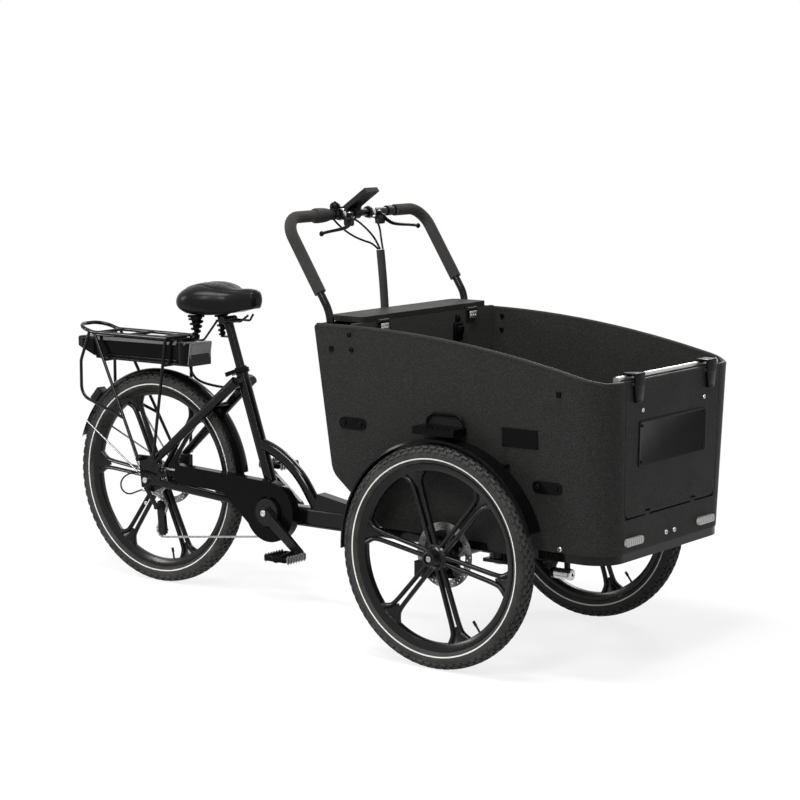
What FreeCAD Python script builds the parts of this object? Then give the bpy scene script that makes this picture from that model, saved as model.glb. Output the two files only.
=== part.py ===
import FreeCAD, Part
import math
import os

# Cargo tricycle, millimetres. +X is forward, +Y the rider's left, +Z up.
# The origin is on the ground under the middle of the whole length.

# Overall stance
FRONT_AXLE_X = 576.74
WHEELBASE = 1345.0
FRONT_WHEEL_RADIUS = 305.0
REAR_WHEEL_RADIUS = 332.0

# Clearances
RUN_GAP = 0.05
SEAT_GAP = 0.1
REST_GAP = 0.3
OVERRUN = 5.0

# Tyres and cast wheels
TYRE_WIDTH = 50.0
TYRE_HEIGHT = 50.0
TYRE_BEAD_SHARE = 0.56
TYRE_SHOULDER_SHARE = 0.78
TYRE_CROWN_SHARE = 0.18
TYRE_BULGE_SHARE = 0.42
RIM_DEPTH = 22.0
RIM_WIDTH = 34.0
RIM_LIP_SHARE = 0.4
RIM_WELL_SHARE = 0.6
SPOKE_COUNT = 6
SPOKE_WIDTH = 36.0
SPOKE_SLOT = 14.0
SPOKE_FLARE = 64.0
SPOKE_FLARE_LENGTH = 32.0
SPOKE_DEPTH = 18.0
SPOKE_ROOT_SHARE = 0.4
SLOT_START = 50.0
SLOT_END_GAP = 9.0
SLOT_END_WIDTH = 28.0
FRONT_SPOKE_ANGLE = 49.0
REAR_SPOKE_ANGLE = 55.0

# Front hubs, stub axles and discs
FRONT_HUB_INNER = 34.0
FRONT_HUB_CAP = 42.5
FRONT_HUB_RADIUS = 34.0
FRONT_HUB_NECK = 24.0
HUB_FLANGE_HALF = 14.0
CAP_RADIUS = 20.0
CAP_ROUND = 8.0
FRONT_BORE_DEPTH = 26.0
FRONT_AXLE_RADIUS = 8.0
AXLE_SHOULDER_RADIUS = 14.0
DISC_RADIUS = 90.0
DISC_BAND = 22.0
DISC_THICKNESS = 2.0
DISC_CENTRE_RADIUS = 30.0
DISC_HOLE_RADIUS = 16.0
DISC_ARM_COUNT = 6
DISC_ARM_WIDTH = 10.0
CALIPER_ANGLE = 215.0
CALIPER_ORBIT = 80.0
CALIPER_LENGTH = 52.0
CALIPER_HEIGHT = 42.0
CALIPER_WIDTH = 26.0
CALIPER_SLOT = 3.2
CALIPER_ARM = 20.0

# Rear hub, axle and sprockets
REAR_HUB_RIGHT = 30.0
REAR_HUB_LEFT = 42.0
REAR_HUB_RADIUS = 38.0
REAR_HUB_END_RADIUS = 26.0
REAR_AXLE_RADIUS = 5.0
AXLE_NUT_RADIUS = 9.0
AXLE_NUT_LENGTH = 10.0
CHAIN_PITCH = 12.7
CHAIN_HEIGHT = 7.0
CHAIN_WIDTH = 6.4
CHAIN_GAP = 0.5
SPROCKET_TEETH = (28, 24, 22, 20, 18, 16, 14)
CHAIN_SPROCKET = 3
SPROCKET_PITCH = 4.8
SPROCKET_THICKNESS = 1.8
SPROCKET_FIRST = 34.0
TOOTH_DEPTH = 4.0
FREEWHEEL_INNER = 31.0
FREEWHEEL_OUTER = 64.0
FREEWHEEL_RADIUS = 19.0
CHAINRING_TEETH = 38
CHAINRING_HOLE = 24.0
CHAINRING_THICKNESS = 2.4

# Rear frame
BRACKET_REACH = 487.0
BRACKET_Z = 282.0
BRACKET_SHELL_RADIUS = 24.0
BRACKET_SHELL_HALF = 36.0
SEAT_TUBE_OFFSET = 14.0
SEAT_TUBE_ANGLE = 19.0
SEAT_TUBE_RADIUS = 19.0
SEAT_TUBE_TOP_Z = 705.0
TOP_TUBE_RADIUS = 18.0
TOP_TUBE_START_Z = 476.0
TOP_TUBE_CORNER_REACH = 38.0
TOP_TUBE_CORNER_Z = 449.0
TOP_TUBE_END_REACH = 158.0
TOP_TUBE_BEND = 300.0
BOOM_Z = 272.5
BOOM_HEIGHT = 59.0
BOOM_WIDTH = 50.0
BOOM_ROUND = 12.0
GUSSET_START_REACH = 133.0
GUSSET_PEAK_REACH = 152.0
GUSSET_PEAK_Z = 347.0
GUSSET_MID_REACH = 264.0
GUSSET_MID_Z = 328.0
GUSSET_END_REACH = 388.0
GUSSET_WIDTH = 38.0
STAY_RADIUS = 12.0
STAY_TOP_RADIUS = 17.0
STAY_DROPOUT_Y = 69.0
SEAT_STAY_REACH = 20.0
SEAT_STAY_RISE = 53.0
SEAT_STAY_TOP_Z = 665.0
SEAT_STAY_TOP_Y = 38.0
CHAIN_STAY_RADIUS = 11.0
CHAIN_STAY_REACH = 34.0
CHAIN_STAY_DROP = 5.0
CHAIN_STAY_BRACKET_BACK = 20.0
CHAIN_STAY_BRACKET_Y = 26.0
DROPOUT_INNER_Y = 66.0
DROPOUT_THICKNESS = 6.0
DROPOUT_LENGTH = 90.0
DROPOUT_HEIGHT = 110.0
DROPOUT_OUTLINE_SHARES = ((-0.25, -0.22), (0.3, -0.32), (0.62, -0.2), (0.62, 0.1), (0.46, 0.58), (0.1, 0.7),
                          (-0.37, 0.7))
BRIDGE_RADIUS = 6.0

# Steering head
PIVOT_BACK = 60.0
HEAD_RADIUS = 30.0
HEAD_LOW_Z = 233.0
HEAD_HIGH_Z = 311.0
PIN_RADIUS = 10.0
PIN_HEAD_RADIUS = 16.0
PIN_HEAD_HEIGHT = 8.0

# Front subframe
BASE_LOW_Z = 322.0
BOX_LOW_Z = 346.0
BASE_INSET = 2.0
BASE_RAIL = 25.0
BASE_REAR_BACK = 250.0
LADDER_REACHES = (-60.0, 110.0, 300.0)
LADDER_WIDTH = 30.0
BEAM_RADIUS = 18.0
END_PLATE_STANDOFF = 59.5
END_PLATE_THICKNESS = 8.0
END_PLATE_BACK = 88.0
END_PLATE_FRONT = 30.0
END_PLATE_LOW_Z = 236.0
YOKE_HALF = 36.0
YOKE_THICKNESS = 10.0
YOKE_REAR = 34.0
WEB_REAR_GAP = 6.0
WEB_FRONT = 12.0

# Cargo box
BOX_WALL = 13.0
BOX_TOP_Z = 902.0
BOX_HALF_TOP = 352.0
BOX_FLARE = 34.0
WHEEL_STANDOFF = 37.5
BOX_FRONT_LOW = 488.0
BOX_FRONT_TOP = 498.0
BOX_CORNER_RADIUS = 83.0
BOX_REAR_TOP_BACK = 448.0
BOX_REAR_KNEE_BACK = 404.0
BOX_REAR_KNEE_Z = 487.0
BOX_REAR_FOOT_BACK = 240.0
BOX_KNEE_ROUND = 60.0
BOX_FOOT_ROUND = 30.0
BOX_REAR_TOP_ROUND = 10.0
CREST_BACK = 350.0
CREST_RADIUS = 3350.0
CREST_FRONT_REACH = 474.0
REAR_PANEL_INSET = 2.0
REAR_PANEL_THICKNESS = 12.0
REAR_CLEARANCE = 136.0
FLOOR_THICKNESS = 12.0
PARTITION_FRONT_BACK = 318.0
PARTITION_THICKNESS = 12.0

# Front door
DOOR_SIDE_MARGIN = 103.0
DOOR_TAPER = 11.0
DOOR_LOW_Z = 435.0
DOOR_CORNER = 28.0
DOOR_GAP = 2.0
DOOR_AXIS_INSET = 5.5
DOOR_AXIS_RISE = 5.0
DOOR_PIN_RADIUS = 2.5
DOOR_PIN_REACH = 26.0
DOOR_LUG_Y = 120.0
DOOR_LUG_WIDTH = 24.0
DOOR_LUG_GAP = 0.6
DOOR_NOTCH_RISE = 9.0
FRONT_SEAM_INSET = 33.0
LATCH_INSET = 59.0
LATCH_WIDTH = 54.0
LATCH_HEIGHT = 50.0
LATCH_THICKNESS = 5.0
LATCH_BARREL_RADIUS = 4.0
LATCH_STANDOFF = 4.5
LATCH_AXIS_DROP = 7.0
LATCH_PIN_RADIUS = 1.5
LATCH_EAR_WIDTH = 4.0
CROSSBAR_RADIUS = 8.0
CROSSBAR_Z = 806.0
CROSSBAR_OVERLAP = 13.0
CROSSBAR_DOOR_GAP = 1.5
CROSSBAR_CLAMP_WIDTH = 12.0
CROSSBAR_CLAMP_DROP = 14.0

# Storage lid
LID_REAR_BACK = 436.0
LID_SIDE_MARGIN = 52.0
LID_LOW_Z = 908.0
LID_THICKNESS = 16.0
LID_CORNER = 24.0
HINGE_INSET = 85.0
HINGE_WIDTH = 44.0
HINGE_KNUCKLE_RADIUS = 5.0
HINGE_PIN_RADIUS = 2.5
HINGE_STANDOFF = 8.0
HINGE_LEAF = 2.0
HINGE_LEAF_DROP = 38.0
HINGE_KNUCKLE_GAP = 0.4
HINGE_CENTRE_SHARE = 0.36

# Handlebar
BAR_RADIUS = 11.0
POLE_LOW_Z = 520.0
POLE_BEND_Z = 938.0
POLE_WALL_GAP = 5.0
POLE_INSET = 36.0
POLE_BEND = 90.0
BAR_BACK = 575.0
BAR_Z = 1188.0
BAR_BEND = 62.0
FOAM_RADIUS = 17.0
FOAM_LOW_SHARE = 0.1
FOAM_END_Y = 190.0
POLE_CLAMP_ZS = (585.0, 845.0)
POLE_CLAMP_LENGTH = 36.0
POLE_CLAMP_HEIGHT = 30.0
POLE_CLAMP_WRAP = 13.5
SHIFTER_INNER_Y = 123.0
SHIFTER_OUTER_Y = 165.0
SHIFTER_RADIUS = 17.0
SHIFTER_RIBS = 20
SHIFTER_RIB_DEPTH = 1.6
MOUNT_Y = 70.0
MOUNT_WIDTH = 24.0
MOUNT_RADIUS = 17.0
LEVER_PIVOT_REACH = 34.0
LEVER_PIVOT_DROP = 8.0
LEVER_BOSS_RADIUS = 8.0
LEVER_BOSS_HEIGHT = 12.0
LEVER_PIN_RADIUS = 3.0
LEVER_ARM_HEIGHT = 8.0
LEVER_RADIUS = 6.0
LEVER_BALL_RADIUS = 8.0
LEVER_BEND = 30.0
LEVER_ROUTE_SHARES = ((0.0, 0.0, 0.0), (0.08, 0.13, 0.0), (0.13, 0.42, -0.17), (0.15, 1.0, -0.27))
LEVER_LENGTH = 165.0
COLLAR_Y = 160.0
COLLAR_WIDTH = 20.0
COLLAR_RADIUS = 15.0
CABLE_COLLAR_Y = 117.0
CABLE_COLLAR_RADIUS = 16.0
BELL_Y = 97.0
BELL_RADIUS = 14.0
BELL_WIDTH = 10.0
DISPLAY_LENGTH = 98.0
DISPLAY_WIDTH = 60.0
DISPLAY_THICKNESS = 14.0
DISPLAY_TILT = 35.0
DISPLAY_REACH = 22.0
DISPLAY_RISE = 41.0
STALK_RADIUS = 8.0

# Control cables, route points as (reach ahead of the front axle, y, z)
CABLE_RADIUS = 3.0
SLEEVE_RADIUS = 12.0
SLEEVE_ROUTE = ((-483, 0, 1085), (-476, 0, 1025), (-470, 0, 960), (-465.5, 0, 895), (-460, 0, 830),
                (-452, 0, 770), (-435, 0, 728), (-404, 0, 708))
RIGHT_BRAKE_ROUTE = ((-546, -60.5, 1176), (-542, -52.5, 1174.8), (-531, -43, 1168), (-516, -36, 1154), (-503, -26, 1138),
                     (-490, -13, 1115), (-479, -6.5, 1086.9))
LEFT_BRAKE_ROUTE = ((-546, 60.5, 1176), (-542, 52.5, 1174.8), (-531, 43, 1168), (-516, 36, 1154), (-503, 26, 1138),
                    (-490, 13, 1115), (-479, 6.5, 1086.9))
SHIFT_ROUTE = ((-563.05, -117, 1176.05), (-550.5, -115, 1163), (-536, -94, 1141), (-523, -66, 1123), (-511, -38, 1111),
               (-500, -13, 1103), (-490.5, 0, 1086.2))

# Front mudguards and steps
GUARD_CLEARANCE = 11.0
GUARD_THICKNESS = 3.0
GUARD_INBOARD = 42.0
GUARD_OUTBOARD = 12.0
GUARD_LIP = 4.0
GUARD_FRONT_ANGLE = 18.0
GUARD_REAR_ANGLE = 182.0
GUARD_TAB_ANGLES = (55.0, 90.0, 128.0)
GUARD_TAB_LENGTH = 24.0
GUARD_TAB_HEIGHT = 7.0
STEP_REAR_BACK = 75.0
STEP_FRONT_REACH = 60.0
STEP_LOW_Z = 634.0
STEP_HIGH_Z = 655.0
STEP_OVERHANG = 10.5
STEP_RIBS = 8
STEP_GROOVE = 4.0
LOOP_RADIUS = 4.0
LOOP_HIGH_Z = 688.0
LOOP_BEND = 26.0

# Box hardware
TIE_LENGTH = 90.0
TIE_HEIGHT = 32.0
TIE_THICKNESS = 4.0
TIE_PLACES = ((-325.0, 632.0), (311.0, 517.0))
TIE_BOLT_SPACING = 56.0
BOLT_RADIUS = 6.0
BOLT_HEIGHT = 4.0
PLATE_LENGTH = 112.0
PLATE_HEIGHT = 50.0
PLATE_THICKNESS = 3.0
PLATE_PLACE = (229.0, 641.0)
SOCKET_SIZE = 14.0
SOCKET_PLACES = ((-390.0, 836.0), (353.0, 767.0))
SIDE_BOLT_PLACES = ((-326.0, 879.0), (-320.0, 838.0), (345.0, 356.0))
REFLECTOR_LENGTH = 85.0
REFLECTOR_HEIGHT = 20.0
REFLECTOR_THICKNESS = 8.0
REFLECTOR_INSET = 48.0
REFLECTOR_Z = 375.0
FRONT_BOLT_Y = 22.0
FRONT_BOLT_Z = 373.0
LAMP_RADIUS = 14.0
LAMP_REAR_REACH = 246.0
LAMP_FRONT_REACH = 308.0
LAMP_Y = -200.0
LAMP_Z = 263.0
LAMP_BRACKET = 12.0

# Crank, pedals and chain guard
CRANK_LENGTH = 170.0
CRANK_ANGLE = -39.0
CRANK_INNER_Y = 74.0
CRANK_THICKNESS = 14.0
CRANK_ROOT_RADIUS = 16.0
CRANK_TIP_RADIUS = 13.0
SPINDLE_RADIUS = 12.0
CUP_RADIUS = 20.0
CUP_WIDTH = 7.0
SPIDER_RADIUS = 42.0
PEDAL_INNER_Y = 97.0
PEDAL_WIDTH = 100.0
PEDAL_LENGTH = 95.0
PEDAL_HEIGHT = 26.0
PEDAL_AXLE_RADIUS = 5.0
PEDAL_SLOT_SHARE = 0.3
PEDAL_CORE_SHARE = 0.16
CHAIN_GUARD_Y = 62.0
CHAIN_GUARD_DEPTH = 32.0
CHAIN_GUARD_WALL = 2.5
CHAIN_GUARD_RADIUS = 92.0
CHAIN_GUARD_WINDOW = 47.0
CHAIN_GUARD_REAR = 378.0
CHAIN_GUARD_TOP_RISE = 108.0
CHAIN_GUARD_LOW_RISE = 51.0
CHAIN_GUARD_KNEE = 186.0
CHAIN_GUARD_KNEE_RISE = 42.0
CHAIN_GUARD_NECK = 60.0
GUARD_POST_RADIUS = 6.0
GUARD_POST_SHARES = (0.19, 0.27)

# Derailleur and jockey wheels, reaches from the rear axle
UPPER_JOCKEY_REACH = 38.0
UPPER_JOCKEY_DROP = 83.0
LOWER_JOCKEY_REACH = 45.0
LOWER_JOCKEY_DROP = 156.0
JOCKEY_RADIUS = 20.0
JOCKEY_THICKNESS = 6.0
JOCKEY_PIN_RADIUS = 2.5
CAGE_RADIUS = 13.0
CAGE_THICKNESS = 2.0
CAGE_GAP = 1.6
HANGER_REACH = 10.0
HANGER_DROP = 26.0
HANGER_RADIUS = 8.0
HANGER_OUTER_Y = 88.0
LINK_WIDTH = 14.0

# Rear brake
REAR_CALIPER_ANGLE = 40.0
REAR_CALIPER_ORBIT = 84.0
REAR_CALIPER_SIZE = 36.0
REAR_CALIPER_WIDTH = 18.0

# Rear mudguard with stays and tail light
FENDER_CLEARANCE = 10.0
FENDER_THICKNESS = 2.5
FENDER_HALF = 28.0
FENDER_CROWN = 9.0
FENDER_FRONT_ANGLE = 8.0
FENDER_REAR_ANGLE = 162.0
WIRE_RADIUS = 2.5
WIRE_ANGLES = (152.0, 122.0)
WIRE_FOOT_BACKS = (20.0, 27.0)
WIRE_FOOT_RISES = (14.0, 34.0)
TAIL_ANGLE = 138.0
TAIL_LENGTH = 46.0
TAIL_WIDTH = 34.0
TAIL_DEPTH = 26.0

# Rack and battery, reaches behind the rear axle are negative
RACK_Y = 60.0
RACK_RISE = 448.0
RACK_RADIUS = 6.0
RACK_FRONT = 83.0
RACK_KINK = -235.0
RACK_REAR = -306.0
RACK_LOOP_RISE = 20.0
RACK_BEND = 48.0
RUNG_RADIUS = 5.0
CARRIER_RADIUS = 4.0
RUNG_PLACES = (45.0, -85.0, -215.0)
STRUT_RADIUS = 5.0
STRUT_FOOT_Y = 87.0
REAR_STRUT_TOP = -228.0
REAR_STRUT_FOOT = -21.0
REAR_STRUT_FOOT_RISE = 66.0
FRONT_STRUT_TOP = 76.0
FRONT_STRUT_FOOT = 43.0
FRONT_STRUT_FOOT_RISE = 76.0
STRUT_BOSS_RADIUS = 7.0
PANNIER_TOP = -247.0
PANNIER_REAR = -270.0
PANNIER_REAR_Y = 77.0
PANNIER_HIGH_RISE = 358.0
PANNIER_LOW_RISE = 246.0
PANNIER_END_SHARE = 0.68
PANNIER_BEND = 45.0
TRAY_RISE = 365.0
TRAY_THICKNESS = 6.0
TRAY_REAR = -212.0
TRAY_FRONT = 120.0
TRAY_HALF = 50.0
BATTERY_HALF = 47.0
BATTERY_REAR = -313.0
BATTERY_TOP_RISE = 437.0
BATTERY_REAR_TOP_RISE = 431.0
BATTERY_REAR_LOW_RISE = 400.0
BATTERY_SLOPE = 70.0
BATTERY_ROUND = 8.0
DOCK_FRONT = 165.0
DOCK_REST = 0.5

# Seat post, clamp and saddle
POST_RADIUS = 14.0
POST_LOW_Z = 400.0
POST_TOP_Z = 840.0
BORE_LOW_Z = 340.0
CLAMP_RADIUS = 26.0
CLAMP_HEIGHT = 26.0
CLAMP_EAR_BACK = 36.0
CLAMP_EAR_WIDTH = 16.0
LEVER_Y = 34.0
QUICK_BOSS_RADIUS = 7.0
QUICK_BOSS_HEIGHT = 13.0
QUICK_PIN_RADIUS = 3.0
QUICK_LENGTH = 74.0
QUICK_BLADE = 5.0
QUICK_TAB = 4.0
SADDLE_REAR = 137.0
SADDLE_LENGTH = 266.0
SADDLE_HALF = 120.0
SADDLE_LOW_Z = 862.0
SADDLE_RISE = 98.0
SADDLE_STATION_SHARES = (0.0, 0.09, 0.26, 0.46, 0.66, 0.86, 1.0)
SADDLE_HALF_SHARES = (0.52, 0.88, 1.0, 0.84, 0.5, 0.31, 0.2)
SADDLE_TOP_SHARES = (0.42, 0.8, 0.99, 1.0, 0.9, 0.76, 0.6)
SADDLE_LOW_SHARES = (0.22, 0.06, 0.0, 0.02, 0.08, 0.16, 0.28)
SADDLE_FLAT_SHARE = 0.74
SADDLE_SIDE_SHARE = 0.3
SADDLE_SHOULDER_SHARE = 0.86
SADDLE_SHOULDER_RISE_SHARE = 0.66
SPRING_X = 203.0
SPRING_Y = 60.0
SPRING_WIRE = 3.0
SPRING_TOP_RADIUS = 28.0
SPRING_LOW_RADIUS = 12.0
SPRING_LOW_Z = 793.0
SPRING_TURNS = 4
SPRING_CUP_RADIUS = 33.0
SPRING_CUP_HEIGHT = 5.0
SPRING_FOOT_RADIUS = 15.0
SPRING_FOOT_HEIGHT = 4.0
RAIL_RADIUS = 3.5
RAIL_Y = 22.0
RAIL_Z = 846.0
RAIL_FRONT = 370.0
RAIL_NOSE_Z = 866.0
RAIL_BEND = 24.0
HEAD_CLAMP_RADIUS = 12.0
HEAD_CLAMP_HALF = 30.0

# Leads on the rear frame, route points as (reach from the rear axle, y, z)
LEAD_RADIUS = 4.0
LEAD_ROUTE = ((142, -22, 695.7), (150, -22, 668), (185, -19, 648), (240, -14, 640), (290, -10, 638), (330, -8, 637))
SHIFT_CABLE_RADIUS = 2.5
SHIFT_LOOP_ROUTE = ((40, -74.8, 352), (12, -77, 357), (-24, -87, 357), (-64, -92, 347), (-92, -93, 322),
                    (-90, -92, 293), (-62, -88, 280), (-28, -83, 295), (1.4, -80.5, 305))

X_AXIS = FreeCAD.Vector(1, 0, 0)
Y_AXIS = FreeCAD.Vector(0, 1, 0)
Z_AXIS = FreeCAD.Vector(0, 0, 1)
ORIGIN = FreeCAD.Vector(0, 0, 0)
FULL_TURN = 360.0

AX = FRONT_AXLE_X
AZ = FRONT_WHEEL_RADIUS
RX = FRONT_AXLE_X - WHEELBASE
RZ = REAR_WHEEL_RADIUS
RACK_Z = RZ + RACK_RISE
PANNIER_HIGH_Z = RZ + PANNIER_HIGH_RISE
PANNIER_LOW_Z = RZ + PANNIER_LOW_RISE
TRAY_Z = RZ + TRAY_RISE
BATTERY_TOP_Z = RZ + BATTERY_TOP_RISE
BATTERY_REAR_TOP_Z = RZ + BATTERY_REAR_TOP_RISE
BATTERY_REAR_LOW_Z = RZ + BATTERY_REAR_LOW_RISE
GUARD_INNER_RADIUS = FRONT_WHEEL_RADIUS + GUARD_CLEARANCE
BX = RX + BRACKET_REACH
PIVOT_X = AX - PIVOT_BACK
BOX_HALF_LOW = BOX_HALF_TOP - BOX_FLARE
FRONT_TRACK = 2 * (BOX_HALF_TOP + WHEEL_STANDOFF)
END_PLATE_OUTER_Y = FRONT_TRACK / 2 - END_PLATE_STANDOFF
STEP_OUTER_Y = FRONT_TRACK / 2 + STEP_OVERHANG
DOOR_HALF_TOP = BOX_HALF_TOP - DOOR_SIDE_MARGIN
DOOR_HALF_LOW = DOOR_HALF_TOP - DOOR_TAPER
FRONT_SEAM_Y = DOOR_HALF_LOW - FRONT_SEAM_INSET
LATCH_Y = DOOR_HALF_TOP - LATCH_INSET
REFLECTOR_Y = DOOR_HALF_LOW - REFLECTOR_INSET
CROSSBAR_HALF = DOOR_HALF_TOP + CROSSBAR_OVERLAP
LID_HALF = BOX_HALF_TOP - LID_SIDE_MARGIN
HINGE_YS = (HINGE_INSET - LID_HALF, LID_HALF - HINGE_INSET)
CHAIN_Y = -(SPROCKET_FIRST + CHAIN_SPROCKET * SPROCKET_PITCH)
SEAT_LEAN = math.tan(math.radians(SEAT_TUBE_ANGLE))


def vec(x, y, z):
    return FreeCAD.Vector(x, y, z)


def fuse(shapes):
    return shapes[0].multiFuse(shapes[1:]).removeSplitter()


def group(shapes):
    return Part.makeCompound(shapes)


def mirrored(shape):
    return shape.mirror(ORIGIN, Y_AXIS)


def rod(start, end, radius):
    axis = end.sub(start)
    return Part.makeCylinder(radius, axis.Length, start, axis)


def tapered_rod(start, end, start_radius, end_radius):
    axis = end.sub(start)
    return Part.makeCone(start_radius, end_radius, axis.Length, start, axis)


def cross_rod(x, z, y_from, y_to, radius):
    return rod(vec(x, y_from, z), vec(x, y_to, z), radius)


def block(low, high):
    size = high.sub(low)
    return Part.makeBox(size.x, size.y, size.z, low)


def polar(x, z, radius, angle):
    turn = math.radians(angle)
    return vec(x + radius * math.cos(turn), 0, z + radius * math.sin(turn))


def prism_y(wire, y_from, y_to):
    face = Part.Face(wire)
    face.translate(vec(0, y_from, 0))
    return face.extrude(vec(0, y_to - y_from, 0))


def polygon(points):
    return Part.makePolygon(list(points) + [points[0]])


def line(start, end):
    return Part.LineSegment(start, end).toShape()


def arc(start, middle, end):
    return Part.Arc(start, middle, end).toShape()


def corner_arc(before, corner, after, radius):
    """Tangent arc that rounds one corner of a path."""
    back = before.sub(corner).normalize()
    ahead = after.sub(corner).normalize()
    half_angle = back.getAngle(ahead) / 2
    reach = radius / math.tan(half_angle)
    start = corner + back * reach
    end = corner + ahead * reach
    middle_line = (back + ahead).normalize()
    middle = corner + middle_line * (radius / math.sin(half_angle) - radius)
    return start, middle, end


def rounded_edges(points, radii):
    """Edges of an open path whose inner points are rounded by the given radii, zero for sharp."""
    edges = []
    place = points[0]
    for index in range(1, len(points) - 1):
        corner = points[index]
        radius = radii[index - 1]
        if radius <= 0:
            edges.append(line(place, corner))
            place = corner
            continue
        start, middle, end = corner_arc(points[index - 1], corner, points[index + 1], radius)
        edges.append(line(place, start))
        edges.append(arc(start, middle, end))
        place = end
    edges.append(line(place, points[-1]))
    return edges


def rounded_loop(points, radii):
    """Closed wire with each point rounded; it starts half way along its last side."""
    start = (points[-1] + points[0]) * 0.5
    return Part.Wire(rounded_edges([start] + list(points) + [start], radii))


def tube(points, bend, radius):
    """Round tube along straight runs joined by tangent arcs of one bend radius."""
    radii = [bend] * (len(points) - 2)
    path = Part.Wire(rounded_edges(points, radii))
    profile = Part.Wire(Part.makeCircle(radius, points[0], points[1].sub(points[0])))
    return path.makePipeShell([profile], True, False)


CORD_RUN_SHARE = 0.45


def cord(points, radius, name):
    """Cable along hand-placed points, each corner rounded as far as its two runs allow."""
    radii = []
    for index in range(1, len(points) - 1):
        before = points[index - 1].sub(points[index])
        after = points[index + 1].sub(points[index])
        turn = math.pi - before.getAngle(after)
        radii.append(CORD_RUN_SHARE * min(before.Length, after.Length) / math.tan(turn / 2))
    path = Part.Wire(rounded_edges(points, radii))
    profile = Part.Wire(Part.makeCircle(radius, points[0], points[1].sub(points[0])))
    solid = path.makePipeShell([profile], True, False)
    expected = math.pi * radius ** 2 * path.Length
    print(name, "least bend", round(min(radii), 1), "volume ratio", round(solid.Volume / expected, 4))
    return solid


def route(points, base_x):
    return [vec(base_x + reach, y, z) for reach, y, z in points]


def ring_of(profile_points):
    """Solid of revolution about the Y axis through the origin, from (y, radius) points."""
    wire = polygon([vec(0, y, radius) for y, radius in profile_points])
    return Part.Face(wire).revolve(ORIGIN, Y_AXIS, FULL_TURN)


def moved(shape, x, y, z):
    shape.translate(vec(x, y, z))
    return shape


def turned_up(shape, angle):
    """Turn about the Y axis so that +X goes towards +Z."""
    shape.rotate(ORIGIN, Y_AXIS * -1, angle)
    return shape


# Wheels

def tyre(radius):
    bead = radius - TYRE_HEIGHT
    half = TYRE_WIDTH / 2
    bead_half = half * TYRE_BEAD_SHARE
    shoulder_half = half * TYRE_SHOULDER_SHARE
    shoulder = radius - TYRE_HEIGHT * TYRE_CROWN_SHARE
    bulge = bead + TYRE_HEIGHT * TYRE_BULGE_SHARE
    edges = [
        line(vec(0, -bead_half, bead), vec(0, bead_half, bead)),
        arc(vec(0, bead_half, bead), vec(0, half, bulge), vec(0, shoulder_half, shoulder)),
        arc(vec(0, shoulder_half, shoulder), vec(0, 0, radius), vec(0, -shoulder_half, shoulder)),
        arc(vec(0, -shoulder_half, shoulder), vec(0, -half, bulge), vec(0, -bead_half, bead)),
    ]
    return Part.Face(Part.Wire(edges)).revolve(ORIGIN, Y_AXIS, FULL_TURN)


def spoke(rim_inner):
    tip = rim_inner + RIM_DEPTH * RIM_LIP_SHARE
    flare_start = rim_inner - SPOKE_FLARE_LENGTH
    half = SPOKE_WIDTH / 2
    root = SLOT_START * SPOKE_ROOT_SHARE
    outline = polygon([
        vec(root, 0, -half), vec(flare_start, 0, -half), vec(tip, 0, -SPOKE_FLARE / 2),
        vec(tip, 0, SPOKE_FLARE / 2), vec(flare_start, 0, half), vec(root, 0, half)])
    slot_end = rim_inner - SLOT_END_GAP
    slot = polygon([
        vec(SLOT_START, 0, -SPOKE_SLOT / 2), vec(flare_start, 0, -SPOKE_SLOT / 2),
        vec(slot_end, 0, -SLOT_END_WIDTH / 2), vec(slot_end, 0, SLOT_END_WIDTH / 2),
        vec(flare_start, 0, SPOKE_SLOT / 2), vec(SLOT_START, 0, SPOKE_SLOT / 2)])
    bar = prism_y(outline, -SPOKE_DEPTH / 2, SPOKE_DEPTH / 2)
    return bar.cut(prism_y(slot, -SPOKE_DEPTH, SPOKE_DEPTH))


def cast_wheel(radius, spoke_angle, hub, bore):
    rim_outer = radius - TYRE_HEIGHT - SEAT_GAP
    rim_inner = rim_outer - RIM_DEPTH
    lip = rim_outer - RIM_DEPTH * RIM_LIP_SHARE
    half = RIM_WIDTH / 2
    well_half = half * RIM_WELL_SHARE
    rim = ring_of([(-half, rim_outer), (half, rim_outer), (half, lip), (well_half, rim_inner),
                   (-well_half, rim_inner), (-half, lip)])
    solids = [rim, hub]
    for index in range(SPOKE_COUNT):
        solids.append(turned_up(spoke(rim_inner), spoke_angle + index * FULL_TURN / SPOKE_COUNT))
    return fuse(solids).cut(bore)


def brake_disc(y_low):
    high = y_low + DISC_THICKNESS
    band = cross_rod(0, 0, y_low, high, DISC_RADIUS)
    band = band.cut(cross_rod(0, 0, y_low - OVERRUN, high + OVERRUN, DISC_RADIUS - DISC_BAND))
    solids = [band, cross_rod(0, 0, y_low, high, DISC_CENTRE_RADIUS)]
    for index in range(DISC_ARM_COUNT):
        arm = block(vec(0, y_low, -DISC_ARM_WIDTH / 2), vec(DISC_RADIUS - DISC_BAND / 2, high, DISC_ARM_WIDTH / 2))
        solids.append(turned_up(arm, index * FULL_TURN / DISC_ARM_COUNT))
    return fuse(solids).cut(cross_rod(0, 0, y_low - OVERRUN, high + OVERRUN, DISC_HOLE_RADIUS))


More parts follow.
